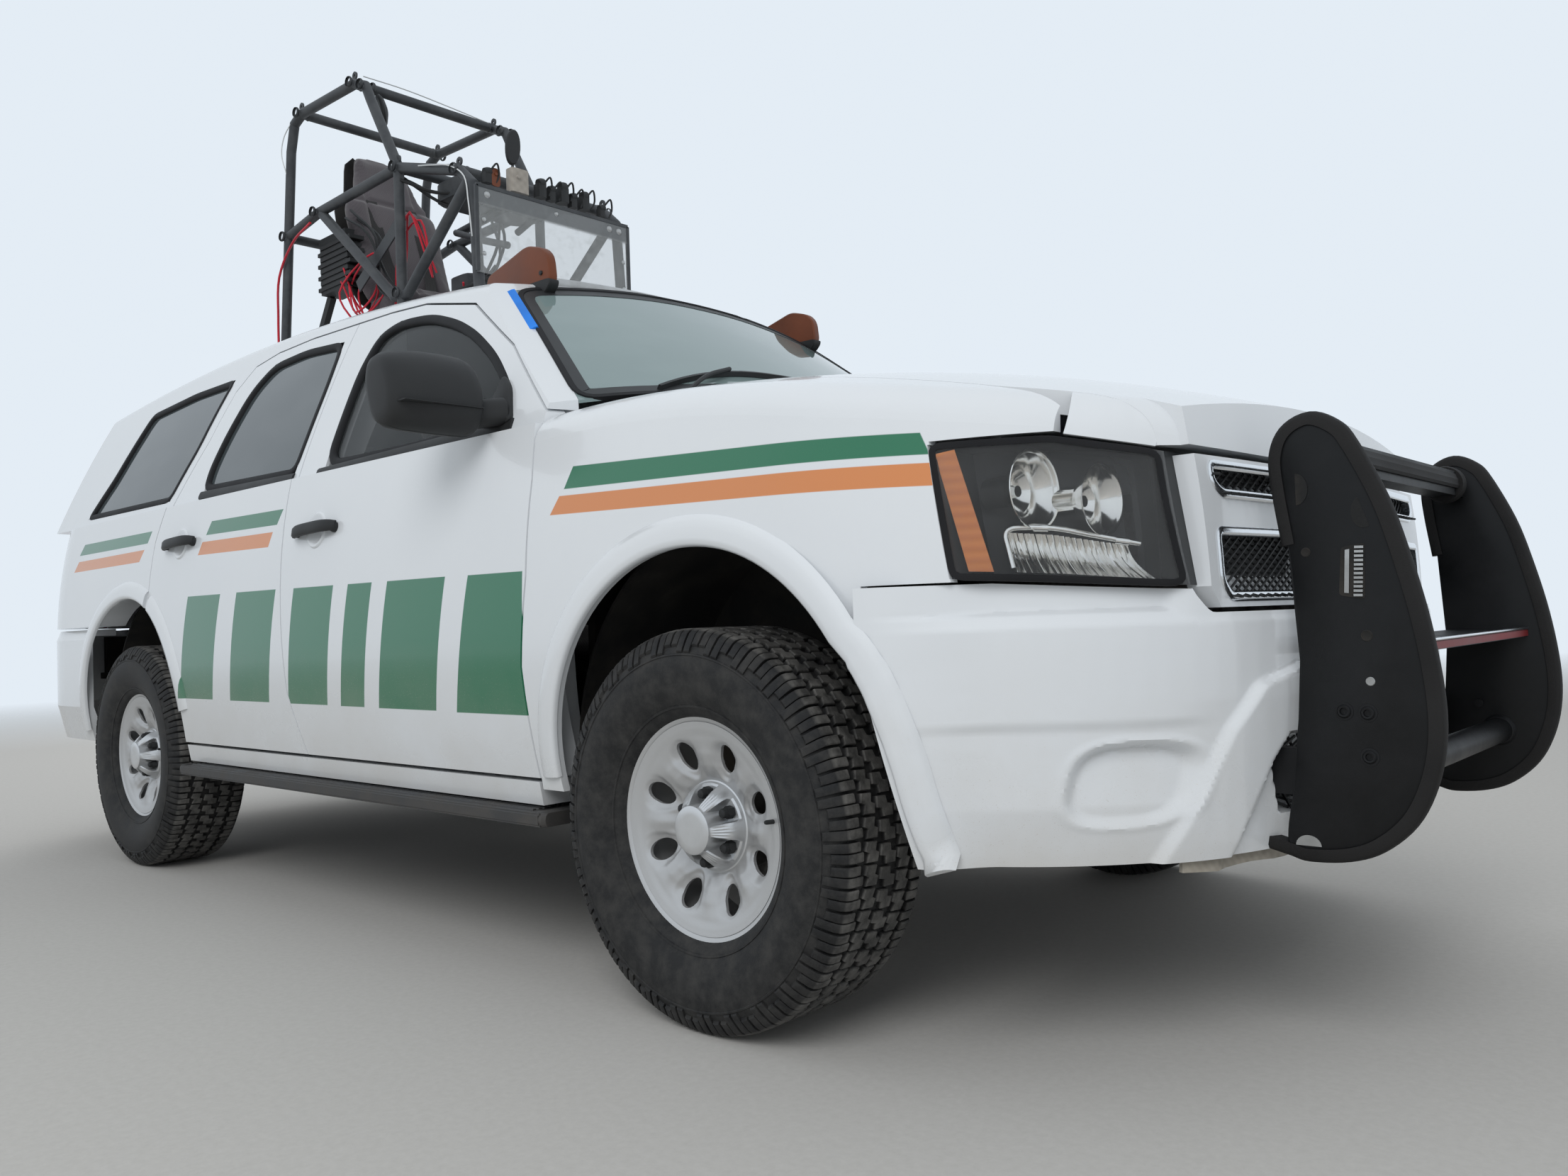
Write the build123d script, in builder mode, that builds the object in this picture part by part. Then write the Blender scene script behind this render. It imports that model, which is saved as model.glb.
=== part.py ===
"""A full-size four-door police sport utility vehicle with a front push bumper and a roof driving cage.

Millimetres, +X forward, +Y left, +Z up. The origin is on the ground in the middle of the
overall box. Tables of points give X from the front axle, forward positive, unless they say so.
"""
import os
from math import asin, cos, degrees, radians, sin, sqrt, tan

from build123d import *

os.makedirs("parts", exist_ok=True)

# Driving dimensions of the vehicle
WHEELBASE = 2946
FRONT_OVERHANG = 985
REAR_OVERHANG = 1194
GUARD_REACH = 220
HALF_WIDTH = 1000
FRONT_TRACK = 1732
REAR_TRACK = 1702
SILL_Z = 462
WAIST_Z = 800
BELT_Z = 1270

# Clearances
DOOR_GAP = 6
PANEL_GAP = 3
GLASS_GAP = 0.4
SEAT_GAP = 0.3

# Wheel and tyre, 265/70R17 on a steel rim
TYRE_R = 395
TYRE_WIDTH = 268
TREAD_WIDTH = 216
RIM_LIP_R = 233
RIM_WIDTH = 202
RIM_WALL = 7
WHEEL_BORE_R = 42
WHEEL_HOLES = 8

# Front axle station in the model's frame
FRONT_REACH = FRONT_OVERHANG + GUARD_REACH
REAR_REACH = WHEELBASE + REAR_OVERHANG
AXLE_X = (REAR_REACH - FRONT_REACH) / 2

# Body side, one arc from sill to belt, then a leaning greenhouse side
SIDE_R = 2000
GREEN_BELT_Y = 926
GREEN_LEAN = 20.5
GREEN_R = 4000
DOOR_WALL = 95
GREEN_WALL = 42
FENDER_WALL = 18
GLASS_T = 5
GLASS_SET = 9

# Nose and tail in plan
NOSE_CORNER_R = 800
NOSE_CORNER_X = 235
NOSE_TURN = 55.75
NOSE_X = 935
NOSE_R = 8000
TAIL_CORNER_R = 460
TAIL_CORNER_X = -WHEELBASE - 644
TAIL_TURN = 74
TAIL_X = -WHEELBASE - 1129
TAIL_R = 4000

# Hood and roof crowns: station and height of the top, long radius, cross radius
HOOD_TOP_X, HOOD_TOP_Z, HOOD_LONG_R, HOOD_CROWN_R = -330, 1394, 3700, 4060
ROOF_TOP_X, ROOF_TOP_Z, ROOF_LONG_R, ROOF_CROWN_R = -2500, 1900, 11000, 5000
HOOD_T = 40
SHOULDER_R = 90
RAIL_R = 60

# Windscreen and rear screen: each is part of a large leaning cylinder
SCREEN_X, SCREEN_Z, SCREEN_SLOPE, SCREEN_R = -360, 1385, 34.5, 3000
TAILGATE_X, TAILGATE_Z, TAILGATE_SLOPE, TAILGATE_R = -WHEELBASE - 1116, 1270, 76.0, 2600

# Wheel arches: centre station behind or ahead of the axle, centre height, opening radius
ARCH_X = 20
ARCH_Z = 505
ARCH_R = 445
LINER_R = 500
LINER_T = 8

# Joint places
KINGPIN_IN = 75
CUT_SLANT = 16.0


def station(x):
    """X in the model's frame for a distance ahead of the front axle."""
    return AXLE_X + x


def aft(points):
    """Points typed from the rear axle, with the station given from the front axle."""
    return [(x - WHEELBASE, other) for x, other in points]


def crown_height(x, y, top_x, top_z, long_r, crown_r, inset):
    """Height of the hood or roof surface at a point, set in by inset."""
    centre_z = top_z - long_r
    edge = top_z - inset - (crown_r - inset - sqrt((crown_r - inset) ** 2 - y**2))
    return centre_z + sqrt((edge - centre_z) ** 2 - (x - top_x) ** 2)


def half_width(z, inset=0):
    """Half width of the lower body at a height, on the surface set in by inset."""
    return HALF_WIDTH - SIDE_R + sqrt((SIDE_R - inset) ** 2 - (z - WAIST_Z) ** 2)


def green_width(z, inset=0):
    """Half width of the greenhouse at a height, on the surface set in by inset."""
    lean = radians(GREEN_LEAN)
    centre_y = GREEN_BELT_Y - GREEN_R * cos(lean)
    centre_z = BELT_Z - GREEN_R * sin(lean)
    return centre_y + sqrt((GREEN_R - inset) ** 2 - (z - centre_z) ** 2)


def side_half_width(z):
    """Half width of the whole side at a height."""
    return half_width(z) if z < BELT_Z else green_width(z)


def side_plane(offset=0):
    """Side-view plane: first axis forward from the front axle, second up, seen from the right."""
    return Plane(origin=(AXLE_X, -offset, 0), x_dir=(1, 0, 0), z_dir=(0, -1, 0))


def plan_plane(height=0):
    """Plan-view plane: first axis forward from the front axle, second to the left."""
    return Plane(origin=(AXLE_X, 0, height), x_dir=(1, 0, 0), z_dir=(0, 0, 1))


def front_plane(x):
    """Front-view plane at a station: first axis to the left, second up."""
    return Plane(origin=(station(x), 0, 0), x_dir=(0, 1, 0), z_dir=(1, 0, 0))


def band_points(width_at, low, high, outer, inner, shift=0):
    """Corners and middles of a wall section between two insets, for a width function."""
    middle = (low + high) / 2
    out = [(width_at(z, outer) + shift, z) for z in (low, middle, high)]
    back = [(width_at(z, inner) + shift, z) for z in (high, middle, low)]
    return out, back


def band_sketch(plane, width_at, low, high, outer, inner, shift=0):
    """A wall section: the outer and inner arcs of the body side, joined top and bottom."""
    out, back = band_points(width_at, low, high, outer, inner, shift)
    with BuildSketch(plane) as section:
        with BuildLine():
            ThreePointArc(*out)
            Line(out[2], back[0])
            ThreePointArc(*back)
            Line(back[2], out[0])
        make_face()
    return section.sketch


def side_wall(width_at, rear, front, low, high, outer, inner):
    """A straight run of the right body side between two insets."""
    plane = Plane(origin=(station(rear), 0, 0), x_dir=(0, -1, 0), z_dir=(-1, 0, 0))
    with BuildPart() as wall:
        add(band_sketch(plane, width_at, low, high, outer, inner))
        extrude(amount=front - rear, dir=(1, 0, 0))
    return wall.part


def lower_wall(rear, front, low, high, outer, inner):
    """A straight run of the right side below the belt."""
    return side_wall(half_width, rear, front, low, high, outer, inner)


def upper_wall(rear, front, low, high, outer, inner):
    """A straight run of the right side above the belt."""
    return side_wall(green_width, rear, front, low, high, outer, inner)


def corner_wall(x, centre_y, turn, low, high, outer, inner):
    """A wall turned about a vertical axis on the right side; turn is signed."""
    axis_point = (station(x), -centre_y, 0)
    plane = Plane(origin=axis_point, x_dir=(0, -1, 0), z_dir=(-1, 0, 0))
    with BuildPart() as corner:
        add(band_sketch(plane, half_width, low, high, outer, inner, -centre_y))
        revolve(axis=Axis(axis_point, (0, 0, 1)), revolution_arc=turn)
    return corner.part


def end_wall(end_x, radius, half_y, low, high, outer, inner):
    """The right half of a gently curved nose or tail wall, turned about a far vertical axis."""
    facing = 1 if end_x > -WHEELBASE / 2 else -1
    axis_point = (station(end_x - facing * radius), 0, 0)
    plane = Plane(origin=axis_point, x_dir=(facing, 0, 0), z_dir=(0, -facing, 0))
    turn = degrees(asin(half_y / radius))
    with BuildPart() as end:
        add(band_sketch(plane, half_width, low, high, outer, inner, radius - HALF_WIDTH))
        revolve(axis=Axis(axis_point, (0, 0, 1)), revolution_arc=-facing * turn)
    return end.part


def barrel_section(sketch_plane, width_at, low, high, core):
    """Sketch between a core line and the barrel arc of the body side, on a radial plane."""
    with BuildSketch(sketch_plane) as section:
        with BuildLine():
            ThreePointArc(
                (width_at(low), low),
                (width_at(WAIST_Z), WAIST_Z),
                (width_at(high), high),
            )
            Polyline((width_at(high), high), (core, high), (core, low), (width_at(low), low))
        make_face()
    return section.sketch


def corner_solid(x, centre_y, turn, low, high, inset, core=0):
    """A barrel corner turned about a vertical axis on the right side; turn is signed."""
    axis_point = (station(x), -centre_y, 0)
    plane = Plane(origin=axis_point, x_dir=(0, -1, 0), z_dir=(-1, 0, 0))
    with BuildPart() as corner:
        add(barrel_section(plane, lambda z: half_width(z, inset) - centre_y, low, high, core))
        revolve(axis=Axis(axis_point, (0, 0, 1)), revolution_arc=turn)
    return corner.part


def end_solid(end_x, radius, half_y, low, high, inset, depth):
    """The right half of a gently curved nose, turned about a far vertical axis."""
    axis_point = (station(end_x - radius), 0, 0)
    plane = Plane(origin=axis_point, x_dir=(1, 0, 0), z_dir=(0, -1, 0))
    shift = radius - HALF_WIDTH
    with BuildPart() as end:
        add(
            barrel_section(
                plane, lambda z: half_width(z, inset) + shift, low, high, radius - depth
            )
        )
        revolve(axis=Axis(axis_point, (0, 0, 1)), revolution_arc=-degrees(asin(half_y / radius)))
    return end.part


def nose_sides(rear, low, high, inset):
    """The nose below the hood surface as one solid with its rounded front corners."""
    front = NOSE_CORNER_X
    centre_y = HALF_WIDTH - NOSE_CORNER_R
    end_y = centre_y + NOSE_CORNER_R * cos(radians(NOSE_TURN))
    depth = NOSE_X - NOSE_CORNER_X - centre_y
    with BuildPart() as block:
        with BuildSketch(front_plane(rear)):
            with BuildLine():
                ThreePointArc(
                    (-half_width(low, inset), low),
                    (-half_width(WAIST_Z, inset), WAIST_Z),
                    (-half_width(high, inset), high),
                )
                Line((-half_width(high, inset), high), (half_width(high, inset), high))
                ThreePointArc(
                    (half_width(high, inset), high),
                    (half_width(WAIST_Z, inset), WAIST_Z),
                    (half_width(low, inset), low),
                )
                Line((half_width(low, inset), low), (-half_width(low, inset), low))
            make_face()
        extrude(amount=front - rear)
        add(corner_solid(front, centre_y, NOSE_TURN, low, high, inset))
        add(end_solid(NOSE_X, NOSE_R, end_y, low, high, inset, depth))
        with Locations((station(front + depth / 2 - 20), -centre_y, (low + high) / 2)):
            Box(depth - 80, 2 * centre_y, high - low)
        mirror(about=Plane.XZ)
    return block.part


def under_crown(top_x, top_z, long_r, crown_r, rear, front, low, half, inset=0):
    """Everything under a doubly curved roof or hood surface set in by inset."""
    centre_z = top_z - long_r
    top = top_z - inset
    cross_r = crown_r - inset
    edge = top - (cross_r - sqrt(cross_r**2 - half**2))
    axis = Axis((station(top_x), 0, centre_z), (0, 1, 0))
    with BuildPart() as crown:
        for reach in (rear - top_x, front - top_x):
            with BuildSketch(front_plane(top_x)):
                with BuildLine():
                    ThreePointArc((-half, edge), (0, top), (half, edge))
                    Polyline((half, edge), (half, low), (-half, low), (-half, edge))
                make_face()
            revolve(axis=axis, revolution_arc=degrees(asin(reach / (low - centre_z))))
    return crown.part


def leaning_cylinder(x, z, slope, radius, inset, side):
    """A long cylinder whose surface passes the point x, z and leans by slope; side is 1 or -1."""
    along = (-side * cos(radians(slope)), 0, sin(radians(slope)))
    normal = (side * sin(radians(slope)), 0, cos(radians(slope)))
    centre = (station(x) - radius * normal[0], 0, z - radius * normal[2])
    plane = Plane(origin=centre, x_dir=normal, z_dir=along)
    with BuildPart() as cylinder:
        with BuildSketch(plane):
            Circle(radius - inset)
        extrude(amount=6000, both=True)
    return cylinder.part


def nose_block(inset, top_inset, low=440):
    """Hood, fenders and lamps as one solid, set in by inset at the sides and top_inset on top."""
    hood = under_crown(
        HOOD_TOP_X, HOOD_TOP_Z, HOOD_LONG_R, HOOD_CROWN_R, -700, 1250, 350, 1150, top_inset
    )
    block = nose_sides(-560, low, 1420, inset) & hood
    shoulder = [
        edge
        for edge in block.edges()
        if edge.center().Z > 1150 and abs(edge.center().Y) > 600 and edge.length > 250
    ]
    return block.fillet(max(SHOULDER_R - inset, 20), shoulder)


def green_block(inset):
    """Greenhouse from the belt to the roof as one solid, set in by inset."""
    low, high = BELT_Z - 60, 1990
    with BuildPart() as sides:
        with BuildSketch(front_plane(TAIL_X - 225)):
            with BuildLine():
                middle = (BELT_Z + 1880) / 2
                ThreePointArc(
                    (-green_width(low, inset), low),
                    (-green_width(middle, inset), middle),
                    (-green_width(high, inset), high),
                )
                Line((-green_width(high, inset), high), (green_width(high, inset), high))
                ThreePointArc(
                    (green_width(high, inset), high),
                    (green_width(middle, inset), middle),
                    (green_width(low, inset), low),
                )
                Line((green_width(low, inset), low), (-green_width(low, inset), low))
            make_face()
        extrude(amount=225 - TAIL_X)
    roof = under_crown(
        ROOF_TOP_X, ROOF_TOP_Z, ROOF_LONG_R, ROOF_CROWN_R, TAIL_X - 325, 200, 900, 1150, inset
    )
    body = sides.part & roof
    rails = [
        edge
        for edge in body.edges()
        if edge.length > 900 and edge.center().Z > 1750 and abs(edge.center().Y) > 550
    ]
    if RAIL_R - inset > 10:
        body = body.fillet(RAIL_R - inset, rails)
    screen = leaning_cylinder(SCREEN_X, SCREEN_Z, SCREEN_SLOPE, SCREEN_R, inset, 1)
    rear = leaning_cylinder(TAILGATE_X, TAILGATE_Z, TAILGATE_SLOPE, TAILGATE_R, inset, -1)
    return body & screen & rear


def side_prism(outline, near=0, far=1200):
    """A side-view outline drawn out to the right of the centre plane."""
    with BuildPart() as prism:
        with BuildSketch(side_plane(near)):
            with BuildLine():
                Polyline(*outline, close=True)
            make_face()
        extrude(amount=far - near)
    return prism.part


def slanted_prism(outline, grow=0, depth=700):
    """A side-view outline taken inward on a slant, so that a door's edges clear as it opens."""
    start = 1060
    slant = tan(radians(CUT_SLANT))
    shifted = [(x - (start - side_half_width(z)) * slant, z) for x, z in outline]
    with BuildPart() as prism:
        with BuildSketch(side_plane(start)):
            with BuildLine():
                Polyline(*shifted, close=True)
            make_face()
            if grow:
                offset(amount=grow, kind=Kind.INTERSECTION, mode=Mode.REPLACE)
        extrude(amount=depth, dir=(sin(radians(CUT_SLANT)), cos(radians(CUT_SLANT)), 0))
    return prism.part


def box_between(x0, x1, y0, y1, z0, z1):
    """A box between two stations, two distances to the left and two heights."""
    with BuildPart() as box:
        with Locations((station((x0 + x1) / 2), (y0 + y1) / 2, (z0 + z1) / 2)):
            Box(abs(x1 - x0), abs(y1 - y0), abs(z1 - z0))
    return box.part


def tube_run(points, radius):
    """A round tube through points given as x from the front axle, y and z, straight runs."""
    with BuildPart() as run:
        for start, end in zip(points[:-1], points[1:]):
            a = Vector(station(start[0]), start[1], start[2])
            b = Vector(station(end[0]), end[1], end[2])
            with BuildSketch(Plane(origin=a, z_dir=(b - a).normalized())):
                Circle(radius)
            extrude(amount=(b - a).length)
        for x, y, z in points[1:-1]:
            with Locations((station(x), y, z)):
                Sphere(radius)
    return run.part


def both_sides(solid):
    """A solid and its mirror image across the centre plane, as two solids of one piece."""
    return Compound(children=[solid, mirror(solid, about=Plane.XZ)])


def save(solid, name):
    """Label a finished piece and write it."""
    solid.label = name
    export_step(solid, f"parts/{name}.step")


def single(solid):
    """The largest solid of a boolean result, without slivers."""
    return solid.solids().sort_by(SortBy.VOLUME)[-1]


# Cut lines of the right side, x from the front axle and z
FENDER_CUT = [(-497, SILL_Z), (-523, 715), (-499, 917), (-499, 1137), (-512, 1300)]
PILLAR_LINE = [(-760, 1512), (-1050, 1690), (-1350, 1757), (-1560, 1775)]
CENTRE_CUT = [
    (-1765, 1783), (-1735, 1500), (-1718, 1270), (-1700, 900), (-1678, 640), (-1600, SILL_Z),
]
REAR_TOP = aft([(861, 1795), (616, 1790), (466, 1765)])
REAR_CUT = aft([(398, 1680), (374, 1500), (291, 1290), (241, 1150), (231, 930)])
REAR_FOOT = aft([(231, 800), (446, 560), (466, SILL_Z)])
FRONT_DOOR_OUTLINE = FENDER_CUT + PILLAR_LINE + CENTRE_CUT
REAR_DOOR_OUTLINE = CENTRE_CUT[::-1] + REAR_TOP + REAR_CUT + REAR_FOOT
NOSE_REGION = FENDER_CUT + [(-506, 1364), (-480, 1600), (1400, 1600), (1400, 200), (-497, 200)]

# Window openings of the right side, x from the front axle and z
FRONT_WINDOW = [
    (-670, 1300), (-700, 1390), (-824, 1498), (-973, 1590), (-1107, 1652), (-1281, 1708),
    (-1467, 1728), (-1565, 1700), (-1590, 1594), (-1579, 1469), (-1565, 1288), (-1100, 1283),
]
REAR_WINDOW = [(-1755, 1290), (-1757, 1422), (-1768, 1574), (-1808, 1728)]
REAR_WINDOW += aft([(861, 1752), (643, 1742), (551, 1660), (512, 1502), (498, 1379), (521, 1305)])
QUARTER_WINDOW = aft([
    (234, 1296), (306, 1480), (326, 1740), (-17, 1742), (-403, 1716), (-486, 1459), (-596, 1300),
])

# Half outlines in plan, x from the front axle and distance from the centre plane
SCREEN_BASE = [(-392, 0), (-404, 300), (-438, 600), (-492, 838)]
SCREEN_TOP = [(-990, 655), (-966, 350), (-955, 0)]
HOOD_REAR = [(-340, 0), (-352, 300), (-392, 600), (-440, 790)]
HOOD_FRONT = [(430, 790), (600, 770), (735, 700), (1100, 640), (1100, 0)]
ROOF_FRONT = [(-972, 0), (-982, 350), (-1004, 600)]
ROOF_HALF = 600
HOOD_LIP_Z = 1070

# Lamps, bumper joint and tail, side view of the right side
HEADLAMP = [(546, 1088), (584, 858), (885, 834), (854, 1061), (719, 1092)]
LAMP_DEPTH = 120
LENS_T = 5
TAIL_LAMP = aft([(-1254, 1262), (-814, 1262), (-869, 1050), (-884, 870), (-1254, 870)])
QUARTER_FOOT_Z = 868
GATE_LOW = [(0, 868), (715, 868), (722, 1268)]
GATE_HIGH = [(700, 1310), (618, 1748), (590, 1900), (0, 1900)]
ROOF_REAR = aft([(-904, 600), (-949, 0)])
GATE_PLAN = aft([(-949, 0), (-904, 600), (-904, 800), (-1454, 800), (-1454, 0)])
GATE_GLASS = [(0, 1300), (640, 1300), (655, 1330), (590, 1700), (560, 1728), (0, 1742)]
REAR_ARCH_X = -WHEELBASE + 26
REAR_ARCH_R = 455


def mirrored(half):
    """A closed outline from a half outline whose second column is the distance off centre."""
    return [(x, -y) for x, y in half] + [(x, y) for x, y in half[::-1] if y > 0]


def mirrored_front(half):
    """A closed front-view outline from half points given as distance off centre and height."""
    return [(-y, z) for y, z in half] + [(y, z) for y, z in half[::-1] if y > 0]


def arch_prism(x, radius, near, far):
    """A round wheel opening about a station, through the right side."""
    with BuildPart() as prism:
        with BuildSketch(side_plane(near)):
            with Locations((x, ARCH_Z)):
                Circle(radius)
        extrude(amount=far - near)
    return prism.part


def grown_plan(half, grow, low, high):
    """A mirrored plan outline grown or shrunk, drawn up between two heights."""
    with BuildPart() as prism:
        with BuildSketch(plan_plane(low)):
            with BuildLine():
                Polyline(*mirrored(half), close=True)
            make_face()
            if grow:
                offset(amount=grow, kind=Kind.INTERSECTION, mode=Mode.REPLACE)
        extrude(amount=high - low)
    return prism.part


def grown_front(half, grow, rear, front):
    """A mirrored front-view outline grown or shrunk, drawn forward between two stations."""
    with BuildPart() as prism:
        with BuildSketch(front_plane(rear)):
            with BuildLine():
                Polyline(*mirrored_front(half), close=True)
            make_face()
            if grow:
                offset(amount=grow, kind=Kind.INTERSECTION, mode=Mode.REPLACE)
        extrude(amount=front - rear)
    return prism.part


def grown_side(outline, grow, near, far):
    """A side-view outline grown or shrunk, drawn out to the right between two distances."""
    with BuildPart() as prism:
        with BuildSketch(side_plane(near)):
            with BuildLine():
                Polyline(*outline, close=True)
            make_face()
            if grow:
                offset(amount=grow, kind=Kind.INTERSECTION, mode=Mode.REPLACE)
        extrude(amount=far - near)
    return prism.part


# Walls of the cabin
RING_WALL = 90
PILLAR_STEP = 6
PILLAR_WALL = 49
GATE_WALL = 60
ROCKER_LOW = SILL_Z - 60
ROCKER_HIGH = SILL_Z - 6
TAIL_CENTRE_Y = HALF_WIDTH - TAIL_CORNER_R
TAIL_END_Y = TAIL_CENTRE_Y + TAIL_CORNER_R * cos(radians(TAIL_TURN))
green_outer = green_block(0)
green_face = green_block(GLASS_SET)
green_back = green_block(GLASS_SET + GLASS_T)
below_belt = box_between(TAIL_X - 425, 100, -1200, 1200, 1000, BELT_Z)
rear_arch = arch_prism(REAR_ARCH_X, REAR_ARCH_R, 700, 1100)
front_arch = arch_prism(ARCH_X, ARCH_R, 700, 1100)


def tail_wall(low, high, outer, inner):
    """The right rear corner and half of the tail as one wall."""
    corner = corner_wall(TAIL_CORNER_X, TAIL_CENTRE_Y, -TAIL_TURN, low, high, outer, inner)
    return corner + end_wall(TAIL_X, TAIL_R, TAIL_END_Y, low, high, outer, inner)


def save_pair(solid, name):
    """Write a right-hand piece and its left-hand mirror image as two nodes."""
    save(Part() + solid, f"{name}_right")
    save(mirror(Part() + solid, about=Plane.XZ), f"{name}_left")


# Doors and their panes
DOORS = [
    # name, outline, window outline
    ("front_door", FRONT_DOOR_OUTLINE, FRONT_WINDOW),
    ("rear_door", REAR_DOOR_OUTLINE, REAR_WINDOW),
]
door_wall = lower_wall(-2900, -400, ROCKER_LOW, BELT_Z, 0, DOOR_WALL) + upper_wall(
    -2900, -400, BELT_Z, 1850, 0, GREEN_WALL
)
for name, outline, window in DOORS:
    door = door_wall & slanted_prism(outline, -DOOR_GAP / 2)
    door = single(door - side_prism(window, 300) - rear_arch)
    pane = grown_side(window, -GLASS_GAP, 500, 1100)
    save_pair(door, name)
    save_pair(single((green_face & pane) - green_back), f"{name}_glass")

# Fixed body sides: rocker, pillars, roof rail and quarter panel in one pressing
front_opening = slanted_prism(FRONT_DOOR_OUTLINE, DOOR_GAP / 2)
rear_opening = slanted_prism(REAR_DOOR_OUTLINE, DOOR_GAP / 2)
nose_opening = slanted_prism(NOSE_REGION, DOOR_GAP / 2)
screen_opening = grown_plan(SCREEN_BASE + SCREEN_TOP, GLASS_GAP, 1250, 1900)
gate_opening = grown_front(GATE_LOW + GATE_HIGH, DOOR_GAP, TAIL_X - 225, TAIL_X + 315) & grown_plan(
    GATE_PLAN, DOOR_GAP, 800, 2000
)
lamp_opening = grown_side(TAIL_LAMP, GLASS_GAP, 600, 1100)
inboard = box_between(TAIL_X - 425, 1400, -ROOF_HALF - SEAT_GAP, 1200, 200, 2100)
side_lower = lower_wall(TAIL_CORNER_X, -400, ROCKER_LOW, BELT_Z, 0, DOOR_WALL)
side_lower = side_lower + tail_wall(QUARTER_FOOT_Z, BELT_Z, 0, DOOR_WALL)
side_lower = side_lower - box_between(TAIL_X - 325, REAR_ARCH_X, -1200, 0, 300, QUARTER_FOOT_Z)
side_upper = green_outer - green_block(RING_WALL) - below_belt - inboard
side = side_lower + side_upper
side = side - front_opening - rear_opening - nose_opening - screen_opening
side = side - gate_opening - lamp_opening - rear_arch
side = single(side - side_prism(QUARTER_WINDOW, 300))
POSTS = [
    # rear, front, top, front of the seal
    (-575, -522, 1345, -541),
    (-1790, -1645, 1800, -1645),
]
post_in = DOOR_WALL + PILLAR_STEP
body_side = side + lower_wall(
    REAR_ARCH_X + 462, -505, ROCKER_LOW, ROCKER_HIGH, 0, post_in + PILLAR_WALL
)
for rear, front, top, seal_front in POSTS:
    lower = lower_wall(rear, front, ROCKER_LOW, BELT_Z, post_in, post_in + PILLAR_WALL)
    upper = upper_wall(rear, front, BELT_Z, top, GREEN_WALL + PILLAR_STEP, RING_WALL + 40)
    seal = lower_wall(
        rear, seal_front, ROCKER_HIGH + 60, 1200, DOOR_WALL + SEAT_GAP, post_in + 1
    )
    body_side = body_side + ((lower + upper + seal) - inboard - screen_opening)
body_side = single(body_side)
save_pair(body_side, "body_side")
quarter_pane = (green_face & grown_side(QUARTER_WINDOW, -GLASS_GAP, 500, 1100)) - green_back
save(both_sides(single(quarter_pane)), "quarter_glass")

# Roof panel between the two body sides
roof_shell = green_outer - green_block(GREEN_WALL)
roof = roof_shell & grown_plan(ROOF_FRONT + ROOF_REAR, 0, 1650, 2000)
save(single(roof - gate_opening), "roof_panel")

# Windscreen
screen_shell = green_outer - green_block(6)
windscreen = screen_shell & grown_plan(SCREEN_BASE + SCREEN_TOP, -GLASS_GAP, 1250, 1900)
save(single(windscreen), "windscreen")

# Liftgate with its rear screen
gate_prism = grown_front(GATE_LOW + GATE_HIGH, 0, TAIL_X - 225, TAIL_X + 375) & grown_plan(
    GATE_PLAN, 0, 800, 2000
)
gate_half = tail_wall(QUARTER_FOOT_Z, BELT_Z, 0, GATE_WALL)
gate_lower = gate_half + mirror(gate_half, about=Plane.XZ)
gate_upper = (green_outer - green_block(GATE_WALL)) - below_belt
gate_upper = gate_upper - box_between(TAIL_X + 375, 100, -1200, 1200, 1000, 2100)
gate_window = grown_front(GATE_GLASS, 0, TAIL_X - 325, TAIL_X + 575)
gate = single(((gate_lower + gate_upper) & gate_prism) - gate_window)
save(Part() + gate, "liftgate")
gate_pane = (green_face & grown_front(GATE_GLASS, -GLASS_GAP, TAIL_X - 325, TAIL_X + 375)) - green_back
save(single(gate_pane), "liftgate_glass")

# Tail lamps
lamp_wall = tail_wall(QUARTER_FOOT_Z, BELT_Z - 3, 0, GATE_WALL)
lamp_wall = lamp_wall + lower_wall(
    TAIL_CORNER_X - 110, TAIL_CORNER_X, QUARTER_FOOT_Z, BELT_Z - 3, 0, GATE_WALL
)
tail_lamp = single((lamp_wall & side_prism(TAIL_LAMP, 500, 1100)) - gate_opening)
save(both_sides(tail_lamp), "tail_lamps")

# Hood, fenders, cowl and headlamps
APRON_Z = 1140
nose_outer = nose_block(0, 0)
hood_prism = grown_plan(HOOD_REAR + HOOD_FRONT, 0, HOOD_LIP_Z, 1500)
lamp_gap = grown_side(HEADLAMP, GLASS_GAP, 450, 1100)
hood = (nose_outer & hood_prism) - nose_block(HOOD_T, HOOD_T, 430)
hood = single(hood - grown_side(HEADLAMP, DOOR_GAP, 450, 1100) - mirror(
    grown_side(HEADLAMP, DOOR_GAP, 450, 1100), about=Plane.XZ
))
save(Part() + hood, "hood")

hood_opening = grown_plan(HOOD_REAR + HOOD_FRONT, DOOR_GAP, 1000, 1500)
fender_region = side_prism(
    [(-600, 440), (437, 440), (437, 852), (586, 852), (548, 1094), (725, 1099), (735, 1450),
     (-600, 1450)],
    300,
    1200,
)
fender = (nose_outer - nose_block(FENDER_WALL, FENDER_WALL, 430)) & fender_region
behind_cut = slanted_prism(
    FENDER_CUT + [(-506, 1364), (-480, 1600), (-900, 1600), (-900, 200), (-497, 200)],
    DOOR_GAP / 2,
)
fender = fender - behind_cut - hood_opening - lamp_gap - front_arch - screen_opening
fender = fender - box_between(-700, 1400, -780, 0, 300, 1500)
fender = single(fender + lower_wall(-420, 220, APRON_Z, APRON_Z + 12, FENDER_WALL / 2, 225))
save(both_sides(fender), "front_fenders")

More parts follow.
